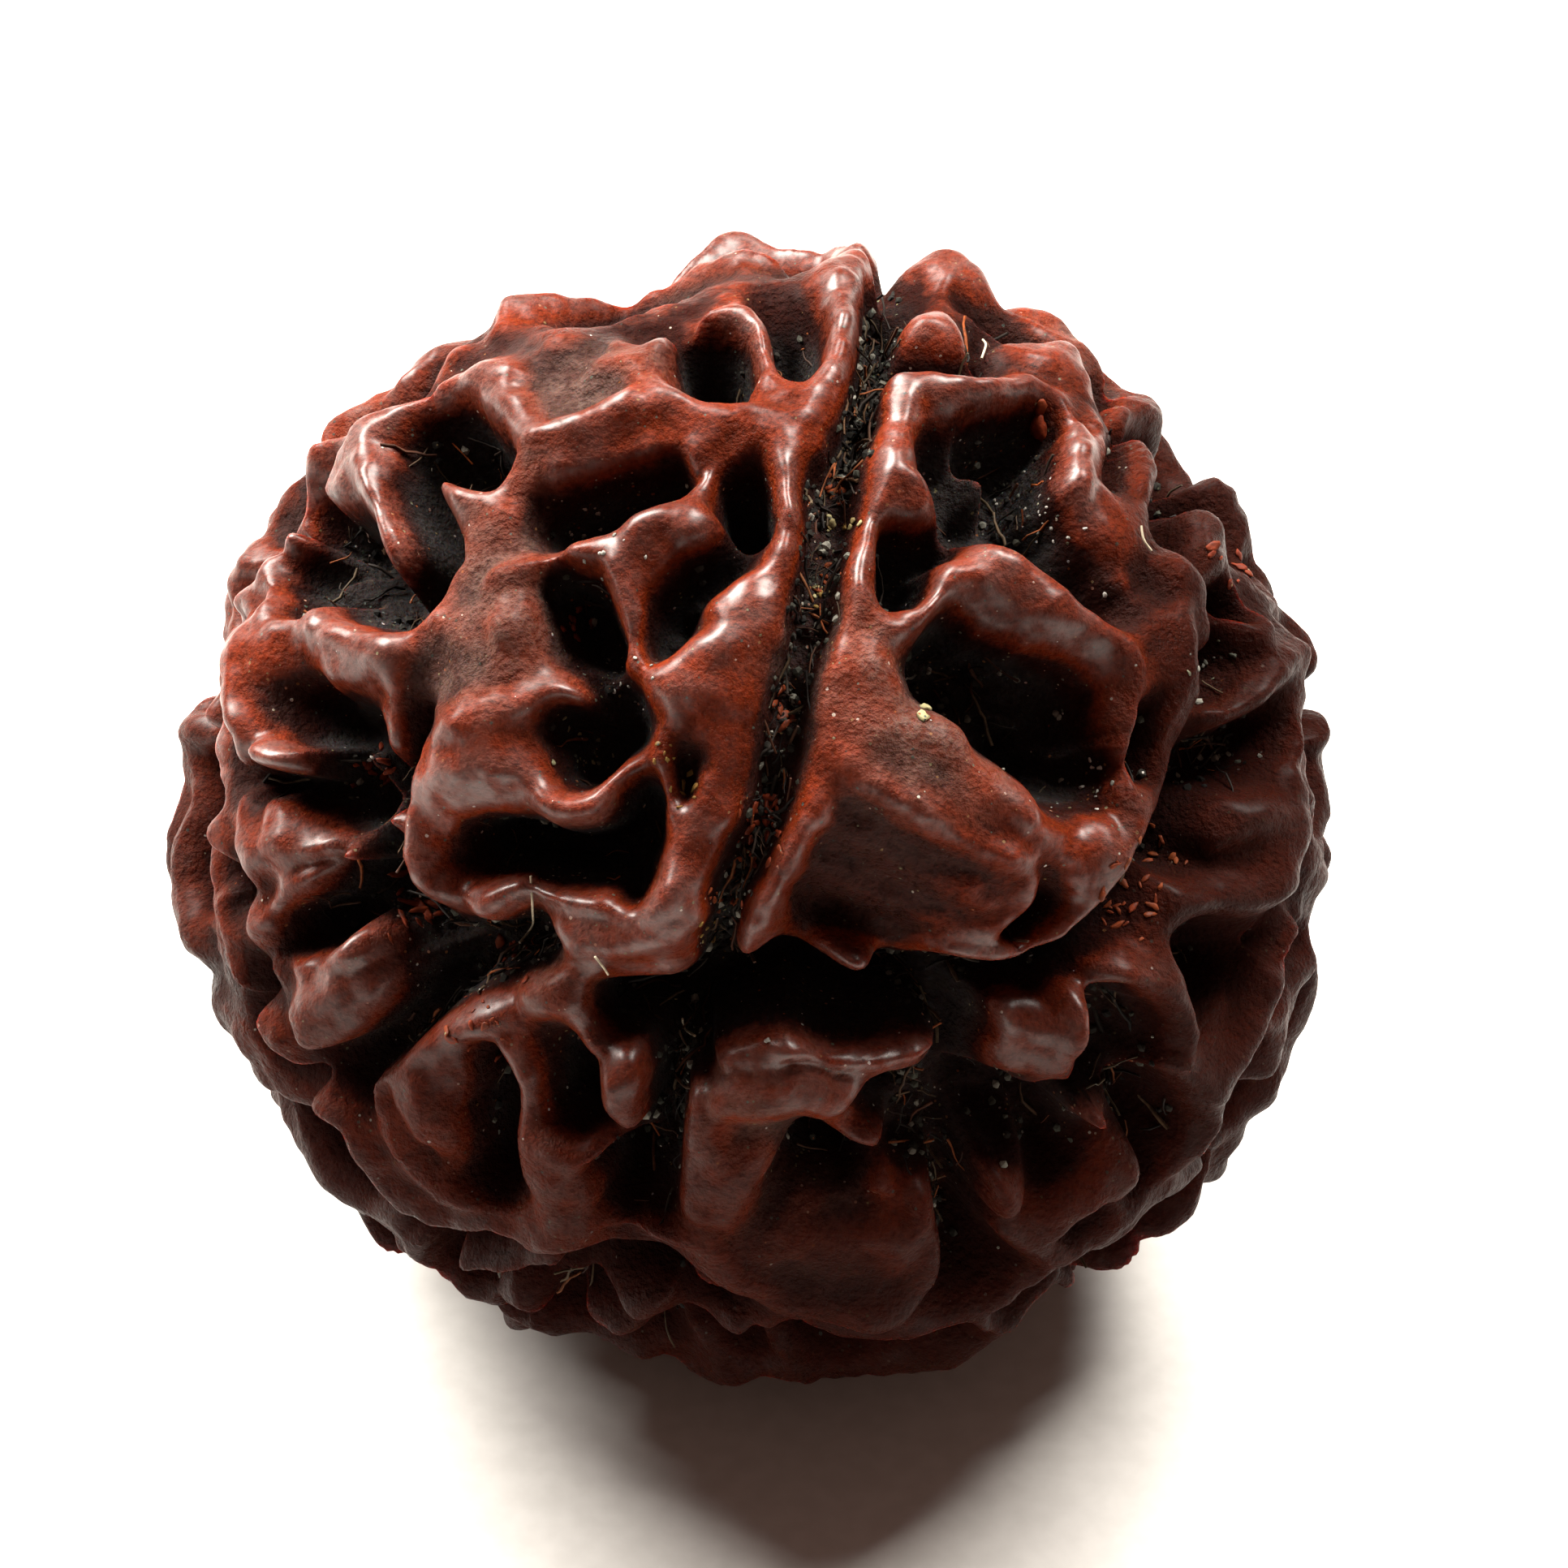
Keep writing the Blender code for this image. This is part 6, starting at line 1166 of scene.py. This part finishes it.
# %% [markdown]
# ## Fibres and crumbs in the furrows
#
# Scraps of dry husk fill the furrows and the deeper pits: short bent fibres, mostly black-brown with a
# few orange ones among them, and crumbs of caked dust. There are thousands, so they are not placed one
# by one. First a number called `litter` says where they gather: in the furrows, and in patches on the
# floors of the pits.

# %% Where litter gathers
FURROW_REACH = 0.55
FURROW_BAND = (0.3, 1.0)
FLOOR_RISE = (0.15, 0.5)
PATCH_BAND = (-0.5, 1.0)
PATCH_SIZE = 1.1
PATCH_SHARE = 0.3
bead_points = mesh_array(bead.data.vertices, "co", 3) / METRES - CENTRE
bead_rise = mesh_array(bead.data.attributes["rise"].data, "value", 1)
furrows = [path for is_crest, _, path, *_ in far_grooves if not is_crest]
for _, line in HOLLOW_LINES[:FURROW_LINES]:
    line = smooth_line(line, LINE_STEP)
    furrows.append(seen_directions(line[:, :2], SIGHT_SHARE * line[:, 2]))
level_points = surface_points(unit(bead_points))
to_each = [separations(level_points, surface_points(path)).min(axis=1) for path in furrows]
to_furrow = np.min(to_each, axis=0)
in_furrow = 1 - smooth_step(*FURROW_BAND, to_furrow / FURROW_REACH)
low = 1 - smooth_step(*FLOOR_RISE, bead_rise)
patches = smooth_step(*PATCH_BAND, wave_noise(bead_points, PATCH_SIZE, SEED + 50))
litter = low * np.maximum(in_furrow, PATCH_SHARE * patches)
keep_on_points(bead.data, "litter", litter)
print("share of the surface under litter:", litter.mean().round(3))

# %% [markdown]
# ## The scattering tree
#
# A geometry-node tree scatters the litter. It has named inputs for everything that a scrap's look
# depends on. Points fall at random with `litter` as their density; each scrap is turned to lie along
# the surface, leans a little, and is longer or shorter by chance. A number called `tint` is kept on
# each scrap for its colour. The copies are then made real, because the export drops copies, and noise
# bends them all, so that no two are alike.

# %% The two shapes that are scattered
FIBRE_POINTS = 6
FIBRE_SIDES = 4


def fibre_shape(tree, inputs):
    """A thin bar one unit long, with points along it so that it can bend."""
    line = tree.node("GeometryNodeCurvePrimitiveLine", None, Start=(-0.5, 0, 0), End=(0.5, 0, 0))
    line = tree.node("GeometryNodeResampleCurve", None, Curve=line, Count=FIBRE_POINTS)
    ring = tree.node(
        "GeometryNodeCurvePrimitiveCircle", None, Resolution=FIBRE_SIDES, Radius=inputs["Thickness"]
    )
    return tree.node("GeometryNodeCurveToMesh", None, Curve=line, Profile_Curve=ring, Fill_Caps=True)


def crumb_shape(tree, inputs):
    """A ball one unit wide with twenty faces."""
    return tree.node("GeometryNodeMeshIcoSphere", None, Radius=0.5, Subdivisions=1)


print("a fibre has", FIBRE_SIDES * (FIBRE_POINTS - 1), "faces along it")

# %% Random values and longer arrows
CHANCE_SLOTS = {"FLOAT": (2, 3, 1), "FLOAT_VECTOR": (0, 1, 0)}


def chance(tree, kind, low, high, seed, salt):
    """A random value on every point, from low to high. The salt keeps the draws apart."""
    low_slot, high_slot, outcome = CHANCE_SLOTS[kind]
    made = tree.node("FunctionNodeRandomValue", {"data_type": kind})
    tree.feed(made, f"slot {low_slot}", low)
    tree.feed(made, f"slot {high_slot}", high)
    shifted = tree.node("FunctionNodeIntegerMath", {"operation": "ADD"}, slot_0=seed, slot_1=salt)
    tree.feed(made, "Seed", shifted)
    return made.outputs[outcome]


def scaled(tree, arrow, factor):
    """The arrow made as many times longer as the factor says."""
    return tree.node("ShaderNodeVectorMath", {"operation": "SCALE"}, slot_0=arrow, Scale=factor)


# %% Scatter, lay and bend
def scattered_spots(tree, inputs):
    """Points where litter gathers, lifted a little, and how the surface is turned at each."""
    mask = tree.node("GeometryNodeInputNamedAttribute", {"data_type": "FLOAT"}, Name="litter")
    density = tree.math("MULTIPLY", mask.outputs[0], inputs["Density"])
    spots = tree.node("GeometryNodeDistributePointsOnFaces", None, Mesh=inputs["Bead"], Density=density)
    tree.feed(spots, "Seed", inputs["Seed"])
    lift = scaled(tree, spots.outputs["Normal"], inputs["Lift"])
    lifted = tree.node("GeometryNodeSetPosition", None, Geometry=spots.outputs["Points"], Offset=lift)
    return lifted, spots.outputs["Rotation"]


def laid_by_chance(tree, inputs, spots, rotation, shape, flat):
    """A copy of the shape on every spot, spun, leaning and sized by chance, with its tint."""
    lean, seed = inputs["Lean"], inputs["Seed"]
    back = tree.math("MULTIPLY", lean, -1.0)
    least = tree.node("ShaderNodeCombineXYZ", None, X=back, Y=back, Z=-np.pi)
    most = tree.node("ShaderNodeCombineXYZ", None, X=lean, Y=lean, Z=np.pi)
    spin = chance(tree, "FLOAT_VECTOR", least, most, seed, 1)
    turned = tree.node("FunctionNodeRotateRotation", {"rotation_space": "LOCAL"}, Rotation=rotation)
    tree.feed(turned, "Rotate By", tree.node("FunctionNodeEulerToRotation", None, Euler=spin))
    length = chance(tree, "FLOAT", inputs["Shortest"], inputs["Longest"], seed, 2)
    height = tree.math("MULTIPLY", length, flat)
    size = tree.node("ShaderNodeCombineXYZ", None, X=length, Y=length, Z=height)
    copies = tree.node("GeometryNodeInstanceOnPoints", None, Points=spots, Instance=shape(tree, inputs))
    tree.feed(copies, "Rotation", turned)
    tree.feed(copies, "Scale", size)
    store = {"data_type": "FLOAT", "domain": "INSTANCE"}
    tinted = tree.node("GeometryNodeStoreNamedAttribute", store, Geometry=copies, Name="tint")
    tree.feed(tinted, "Value", chance(tree, "FLOAT", 0.0, 1.0, seed, 3))
    return tinted


def bent_by_noise(tree, inputs, pieces):
    """Every point pushed aside by noise, so that each scrap bends its own way."""
    where = tree.node("GeometryNodeInputPosition")
    scale = tree.math("DIVIDE", 1.0, inputs["Bend size"])
    waves = tree.node("ShaderNodeTexNoise", None, Vector=where, Scale=scale, Detail=1.0)
    halves = (0.5, 0.5, 0.5)
    centred = tree.node(
        "ShaderNodeVectorMath", {"operation": "SUBTRACT"}, slot_0=waves.outputs["Color"], slot_1=halves
    )
    push = scaled(tree, centred, inputs["Bend"])
    return tree.node("GeometryNodeSetPosition", None, Geometry=pieces, Offset=push)


# %% One tree for the fibres, one for the crumbs
LITTER_INPUTS = [
    ("Bead", "Geometry"), ("Density", "Float"), ("Seed", "Int"), ("Shortest", "Float"),
    ("Longest", "Float"), ("Thickness", "Float"), ("Lean", "Float"), ("Bend", "Float"),
    ("Bend size", "Float"), ("Lift", "Float"), ("Finish", "Material"),
]


def litter_tree(name, shape, flat):
    """The tree that scatters this shape, made as much lower as flat says."""
    made = [("Litter", "Geometry")]
    group, tree, inputs, out = new_group(name, "GeometryNodeTree", LITTER_INPUTS, made)
    spots, rotation = scattered_spots(tree, inputs)
    copies = laid_by_chance(tree, inputs, spots, rotation, shape, flat)
    real = tree.node("GeometryNodeRealizeInstances", None, Geometry=copies)
    bent = bent_by_noise(tree, inputs, real)
    finished = tree.node("GeometryNodeSetMaterial", None, Geometry=bent, Material=inputs["Finish"])
    tree.feed(out, "Litter", finished)
    return group


fibre_tree = litter_tree("fibres", fibre_shape, 1.0)
crumb_tree = litter_tree("crumbs", crumb_shape, 0.8)
print("fibre tree:", len(fibre_tree.nodes), "nodes; crumb tree:", len(crumb_tree.nodes), "nodes")

# %% [markdown]
# The litter's finish is one material in several versions. A ramp turns the `tint` of each scrap into a
# colour, noise makes it uneven, and a little grit lies on it.

# %% The litter's finish
MOTTLE_SIZE = 0.15
MOTTLE_BAND = (0.3, 0.7)
LITTER_MOTTLE = (0.6, 1.3)
LITTER_GRIT = 0.12
LITTER_GRIT_SIZE = 0.1
LITTER_BUMP = 0.03
ROUGH_SPREAD = 0.15


def litter_finish(name, shades, rough):
    """A dull material whose colour follows the tint of each scrap."""
    finish, tree, shader, place = new_material(name, shades[0][1])
    uneven = tree.noise(place, MOTTLE_SIZE, 3.0)
    tinted = tree.ramp(tree.attribute("tint"), shades)
    mottled = tree.lighter(tinted, tree.band(uneven, *MOTTLE_BAND, *LITTER_MOTTLE))
    grains = tree.node("ShaderNodeGroup", {"node_tree": grit_group}, Place=place, Amount=LITTER_GRIT)
    tree.feed(grains, "Size mm", LITTER_GRIT_SIZE)
    tree.feed(shader, "Base Color", tree.mix(grains.outputs["Mask"], mottled, grains.outputs["Colour"]))
    tree.feed(shader, "Roughness", tree.band(uneven, *MOTTLE_BAND, rough, rough + ROUGH_SPREAD))
    bump = tree.node("ShaderNodeBump", None, Height=uneven, Distance=LITTER_BUMP * METRES, Strength=0.6)
    tree.feed(shader, "Normal", bump)
    tree.feed(shader, "Specular IOR Level", 0.15)
    return finish


HUSK_SHADES = [
    (0.0, (0.006, 0.0045, 0.004)), (0.45, (0.013, 0.008, 0.005)), (0.62, (0.04, 0.012, 0.005)),
    (0.86, (0.05, 0.036, 0.02)), (1.0, (0.2, 0.045, 0.009)),
]
CAKE_SHADES = [
    (0.0, (0.005, 0.0045, 0.004)), (0.55, (0.016, 0.014, 0.011)), (0.8, (0.04, 0.042, 0.032)),
    (1.0, (0.2, 0.19, 0.16)),
]
husk = litter_finish("dry_husk", HUSK_SHADES, 0.6)
cake = litter_finish("caked_dust", CAKE_SHADES, 0.8)
print("finishes:", husk.name, "and", cake.name)

# %% Lay the fibres and the crumbs
FIBRE_SIZES = {
    "Density": 1.6e7, "Seed": 4, "Shortest": 0.0003, "Longest": 0.0011, "Thickness": 0.028,
    "Lean": 0.35, "Bend": 0.0005, "Bend size": 0.0007, "Lift": 0.00004, "Finish": husk,
}
CRUMB_SIZES = {
    "Density": 2.2e7, "Seed": 9, "Shortest": 0.00005, "Longest": 0.00022,
    "Lean": 0.5, "Bend": 0.00012, "Bend size": 0.0001, "Lift": 0.0, "Finish": cake,
}


def grown_piece(name, mesh, tree, values):
    """A new plain piece: what the tree makes of the mesh with these values in its named inputs."""
    piece = bpy.data.objects.new(name, mesh)
    bpy.context.scene.collection.objects.link(piece)
    layer = piece.modifiers.new("growth", "NODES")
    layer.node_group = tree
    for item in tree.interface.items_tree:
        if item.in_out == "INPUT" and item.name in values:
            layer[item.identifier] = values[item.name]
    piece.data = finished_mesh(piece)
    piece.data.name = name
    print(name, len(piece.data.polygons), "faces")
    return piece


fibres = grown_piece("husk_fibres", bead.data.copy(), fibre_tree, FIBRE_SIZES)
crumbs = grown_piece("dust_crumbs", bead.data.copy(), crumb_tree, CRUMB_SIZES)

# %% [markdown]
# ## Hairs, scraps and grains that cling here and there
#
# Some bits are too big and too few to scatter: a few pale hairs, clumps of orange husk in the furrows,
# some white grains. Their spots were read off the picture, so a straight line is cast from the eye
# through each spot, and the bit is put where that line meets the bead.

# %% Where a spot in the picture lies on the bead
skin_surface = BVHTree.FromObject(bead, bpy.context.evaluated_depsgraph_get())
EYE_SPOT = Vector((CENTRE + SIGHT_DISTANCE * TOWARD) * METRES)


def on_bead(right, up):
    """The place seen there, in metres, and the way the surface faces."""
    aim = Vector((CENTRE + right * RIGHT + up * UP) * METRES)
    spot, facing, *_ = skin_surface.ray_cast(EYE_SPOT, (aim - EYE_SPOT).normalized())
    return spot, facing


middle_spot, _ = on_bead(0.0, 0.0)
print("seen from the eye, the middle lies at", tuple(round(x, 4) for x in middle_spot))

# %% [markdown]
# A hair is a thin tube along a path. The path's points lie a little over the surface; the node tree
# rounds the path and sweeps a small circle along it.

# %% Pale hairs along paths
HAIR_LIFT = 0.12
HAIR_HALF = 0.022
HAIR_STEP = 0.1
HAIR_SIDES = 6
HAIR_COLOUR = (0.42, 0.36, 0.26)
HAIR_PATHS = [
    [(-4.23, -1.3), (-4.17, -1.75), (-4.17, -2.1), (-4.34, -2.54)],
    [(-1.47, -3.9), (-1.25, -4.05), (-1.06, -4.27)],
    [(-2.97, -2.63), (-2.85, -2.8), (-2.77, -2.94)],
    [(4.2, 8.75), (4.35, 8.6), (4.3, 8.4)],
    [(7.1, 5.3), (7.15, 5.05), (7.35, 4.8)],
]
HAIR_INPUTS = [("Path", "Geometry"), ("Thickness", "Float"), ("Step", "Float"), ("Finish", "Material")]


def hair_tree():
    """The tree that sweeps a small circle along each path."""
    made = [("Hair", "Geometry")]
    group, tree, inputs, out = new_group("hair", "GeometryNodeTree", HAIR_INPUTS, made)
    line = tree.node("GeometryNodeMeshToCurve", None, Mesh=inputs["Path"])
    line = tree.node("GeometryNodeCurveSplineType", {"spline_type": "CATMULL_ROM"}, Curve=line)
    by_length = {"mode": "LENGTH"}
    line = tree.node("GeometryNodeResampleCurve", by_length, Curve=line, Length=inputs["Step"])
    ring = tree.node(
        "GeometryNodeCurvePrimitiveCircle", None, Resolution=HAIR_SIDES, Radius=inputs["Thickness"]
    )
    tube = tree.node("GeometryNodeCurveToMesh", None, Curve=line, Profile_Curve=ring, Fill_Caps=True)
    real = tree.node("GeometryNodeRealizeInstances", None, Geometry=tube)
    finished = tree.node("GeometryNodeSetMaterial", None, Geometry=real, Material=inputs["Finish"])
    tree.feed(out, "Hair", finished)
    return group


# %% Lay the hairs
def path_mesh(name, paths):
    """All the paths in one mesh of joined points, each a little over the bead."""
    points = []
    joints = []
    for path in paths:
        for k, (right, up) in enumerate(path):
            spot, facing = on_bead(right, up)
            if k:
                joints.append((len(points) - 1, len(points)))
            points.append(spot + facing * HAIR_LIFT * METRES)
    mesh = bpy.data.meshes.new(name)
    mesh.from_pydata(points, joints, [])
    return mesh


pale = litter_finish("pale_hair", [(0.0, HAIR_COLOUR), (1.0, HAIR_COLOUR)], 0.5)
hair_sizes = {"Thickness": HAIR_HALF * METRES, "Step": HAIR_STEP * METRES, "Finish": pale}
hairs = grown_piece("pale_hairs", path_mesh("hair_paths", HAIR_PATHS), hair_tree(), hair_sizes)

# %% [markdown]
# A scrap is a small ball pulled long, flattened against the bead and pushed out of shape. Each clump is
# a spot, how far its scraps spread, and what they are like. `tint` says what they are: low numbers are
# orange husk, the middle is straw, high numbers are white grains.

# %% Clumps of husk and single grains
CLUMPS = [
    # right, up, spread, how many, size, stretch, tint
    (-6.2, -1.7, 0.3, 14, 0.11, 2.6, 0.0), (0.05, -0.15, 0.22, 18, 0.1, 2.2, 0.0),
    (-3.2, 3.6, 0.2, 10, 0.09, 1.5, 0.05), (5.3, 7.3, 0.15, 2, 0.2, 2.0, 0.0),
    (-4.55, -2.7, 0.2, 8, 0.11, 2.5, 0.0), (-5.1, -4.0, 0.3, 14, 0.08, 1.6, 0.05),
    (0.5, 1.9, 0.2, 8, 0.09, 2.0, 0.05), (-7.0, 0.7, 0.2, 10, 0.1, 2.0, 0.0),
    (8.8, 4.6, 0.2, 8, 0.1, 1.8, 0.0), (-1.3, 0.3, 0.2, 8, 0.07, 2.2, 0.5),
    (-1.7, 1.1, 0.15, 6, 0.06, 1.6, 0.5), (1.5, 5.9, 0.15, 8, 0.08, 1.5, 0.1),
    (1.5, 5.3, 0.15, 8, 0.08, 1.5, 0.6), (1.35, 4.35, 0.15, 8, 0.07, 1.5, 0.15),
    (1.2, 4.0, 0.15, 6, 0.07, 1.6, 0.6), (-0.2, -0.9, 0.2, 10, 0.08, 2.2, 0.05),
    (-0.6, -1.6, 0.2, 10, 0.07, 2.0, 0.1), (-0.85, -2.2, 0.2, 8, 0.07, 2.0, 0.55),
    (6.9, -1.6, 0.35, 20, 0.07, 2.2, 0.1), (7.4, -0.9, 0.3, 12, 0.06, 2.2, 0.15),
    (3.2, 1.85, 0.05, 2, 0.15, 1.2, 0.7), (0.3, -4.25, 0.03, 1, 0.09, 1.2, 1.0),
    (-7.1, 1.0, 0.05, 2, 0.09, 1.2, 1.0), (6.3, 0.0, 0.04, 1, 0.07, 1.2, 1.0),
    (6.55, 4.0, 0.04, 1, 0.06, 1.2, 1.0), (5.4, 5.35, 0.3, 10, 0.04, 1.2, 1.0),
    (3.6, 5.0, 0.03, 1, 0.06, 1.2, 1.0), (-3.1, 5.3, 0.4, 18, 0.05, 1.2, 0.95),
    (-2.4, 2.4, 0.3, 12, 0.045, 1.2, 0.95), (4.9, 5.8, 0.35, 16, 0.045, 1.3, 0.9),
    (-3.2, 1.2, 0.3, 12, 0.05, 1.3, 0.8), (6.2, 0.5, 0.2, 8, 0.05, 1.3, 0.95),
    (8.5, 2.8, 0.25, 10, 0.05, 1.3, 0.85),
]
print(sum(clump[3] for clump in CLUMPS), "scraps in", len(CLUMPS), "clumps")

# %% One scrap, pushed out of a small ball
SCRAP_FLATNESS = 0.42
SCRAP_ROUGHNESS = 0.5
SCRAP_LUMPS = 0.9
LUMP_LIMITS = (0.4, 1.8)
LUMP_SEEDS = 1000
SCRAP_SIZES = (0.3, 0.85)
SCRAP_LIFT = 0.3
TINT_SWING = 0.06
rng = np.random.default_rng(SEED + 60)
bpy.ops.mesh.primitive_ico_sphere_add(subdivisions=2, radius=1.0)
blank = bpy.context.object
blank_points = mesh_array(blank.data.vertices, "co", 3)
blank_faces = np.array([face.vertices[:] for face in blank.data.polygons])
bpy.data.objects.remove(blank)


def scrap_points(spot, facing, size, stretch):
    """Points of one lumpy, flattened ball that lies along the surface, turned by chance."""
    turn = rng.uniform(0, FULL_TURN)
    along = unit(np.cross(facing, np.cos(turn) * RIGHT + np.sin(turn) * UP))
    own_axes = np.array([along, np.cross(facing, along), facing])
    own = size * rng.uniform(*SCRAP_SIZES)
    lumps = SCRAP_ROUGHNESS * wave_noise(blank_points, SCRAP_LUMPS, rng.integers(LUMP_SEEDS))
    shape = blank_points * np.clip(1 + lumps, *LUMP_LIMITS)[:, None]
    shape = shape * [own * stretch, own, own * SCRAP_FLATNESS]
    return spot + METRES * (shape @ own_axes + SCRAP_LIFT * own * facing)


print("a scrap has", len(blank_faces), "faces")

# %% Put all the scraps in one mesh
scraps_made = []
scrap_tints = []
for right, up, spread, count, size, stretch, tint in CLUMPS:
    for _ in range(count):
        spot, facing = on_bead(*(np.array([right, up]) + rng.normal(0, spread, 2)))
        if spot is None:
            continue
        scraps_made.append(scrap_points(np.array(spot), np.array(facing), size, stretch))
        own_tint = np.clip(tint + rng.uniform(-TINT_SWING, TINT_SWING), 0, 1)
        scrap_tints.append(np.full(len(blank_points), own_tint))
scrap_faces = [blank_faces + len(blank_points) * k for k in range(len(scraps_made))]
mesh = bpy.data.meshes.new("husk_scraps")
mesh.from_pydata(np.concatenate(scraps_made).tolist(), [], np.concatenate(scrap_faces).tolist())
keep_on_points(mesh, "tint", np.concatenate(scrap_tints))
mesh.shade_smooth()
scraps = bpy.data.objects.new("husk_scraps", mesh)
bpy.context.scene.collection.objects.link(scraps)
SCRAP_SHADES = [
    (0.0, (0.11, 0.014, 0.003)), (0.3, (0.12, 0.03, 0.006)), (0.55, (0.14, 0.085, 0.02)),
    (0.7, (0.3, 0.28, 0.15)), (0.85, (0.06, 0.065, 0.05)), (1.0, (0.35, 0.33, 0.3)),
]
mesh.materials.append(litter_finish("husk_scrap", SCRAP_SHADES, 0.55))
print(len(scraps_made), "scraps,", len(mesh.polygons), "faces")

# %% [markdown]
# ## The table
#
# The bead lies on a pale, evenly lit surface. It is a plain square, wide enough to reach past every
# edge of the picture, with a faint tooth like paper so that it isn't perfectly flat.

# %% The table
FLOOR_SIDE = 2.0
TOOTH_SIZE = 0.5
TOOTH_BAND = (0.3, 0.7)
TABLE_DARK = (0.56, 0.55, 0.53, 1)
TABLE_LIGHT = (0.60, 0.59, 0.57, 1)
bpy.ops.mesh.primitive_plane_add(size=FLOOR_SIDE, location=(0, 0, 0))
floor = bpy.context.object
floor.name = floor.data.name = "table_top"
paper, sheet, table_shader, place = new_material("pale_table", (0.58, 0.57, 0.55))
tooth = sheet.noise(place, TOOTH_SIZE, 3.0)
table_colour = sheet.mix(sheet.band(tooth, *TOOTH_BAND), TABLE_DARK, TABLE_LIGHT)
sheet.feed(table_shader, "Base Color", table_colour)
sheet.feed(table_shader, "Roughness", sheet.band(tooth, *TOOTH_BAND, 0.6, 0.7))
bump = sheet.node("ShaderNodeBump", None, Height=tooth, Distance=0.01 * METRES, Strength=0.3)
sheet.feed(table_shader, "Normal", bump)
floor.data.materials.append(paper)
print("table:", FLOOR_SIDE, "m square")

# %% [markdown]
# ## The light
#
# Two broad soft lights stand behind the bead, one to the left and one higher to the right. The ridges
# catch them along their upper edges, and only the narrow wedge that neither reaches stays dark, toward
# the eye. A faint warm light from all around keeps the pits readable. Small or far lights would draw
# hard shadows, and the real ones have soft edges.

# %% Two windows and the room
ROOM_LIGHT = 0.19
ROOM_TONE = (1.0, 0.62, 0.5, 1)
WINDOW_TONE = (1.0, 0.95, 0.88)
WINDOWS = [
    # name, place and size in metres, watts
    ("window_left", (-0.18, 0.19, 0.24), (0.26, 0.16), 6.8),
    ("window_right", (0.13, 0.14, 0.3), (0.18, 0.12), 3.8),
]
world = bpy.data.worlds.new("room")
bpy.context.scene.world = world
world.use_nodes = True
background = world.node_tree.nodes["Background"]
background.inputs["Color"].default_value = ROOM_TONE
background.inputs["Strength"].default_value = ROOM_LIGHT
middle_of_bead = Vector(CENTRE * METRES)
for name, spot, (width, height), watts in WINDOWS:
    lamp = bpy.data.lights.new(name, "AREA")
    lamp.shape = "RECTANGLE"
    lamp.size = width
    lamp.size_y = height
    lamp.energy = watts
    lamp.color = WINDOW_TONE
    holder = bpy.data.objects.new(name, lamp)
    bpy.context.scene.collection.objects.link(holder)
    holder.location = spot
    holder.rotation_euler = (Vector(spot) - middle_of_bead).to_track_quat("Z", "Y").to_euler()
    print(name, watts, "W")

# %% [markdown]
# ## The eye
#
# The camera looks along the line of sight from far away with a long lens, so the bead is drawn nearly
# without foreshortening. In the picture the bead isn't quite in the middle, which the shift repeats.

# %% The eye
FRAME_WIDTH = 29.27
BEAD_LEFT = 0.53
BEAD_LOW = 0.515
SENSOR = 36.0
eye = bpy.data.cameras.new("eye")
eye.sensor_width = SENSOR
eye.lens = SENSOR * SIGHT_DISTANCE / FRAME_WIDTH
eye.shift_x = BEAD_LEFT / FRAME_WIDTH
eye.shift_y = BEAD_LOW / FRAME_WIDTH
eye.clip_start = 0.01
camera = bpy.data.objects.new("eye", eye)
bpy.context.scene.collection.objects.link(camera)
camera.location = EYE_SPOT
camera.rotation_euler = Vector(-TOWARD).to_track_quat("-Z", "Y").to_euler()
bpy.context.scene.camera = camera
bpy.context.scene.view_settings.view_transform = "Standard"
print("camera at", tuple(round(x, 4) for x in camera.location))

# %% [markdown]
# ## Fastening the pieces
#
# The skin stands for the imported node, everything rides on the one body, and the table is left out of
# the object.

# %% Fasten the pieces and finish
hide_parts("bead")
for piece in (bead, fibres, crumbs, hairs, scraps):
    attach(piece, "root")
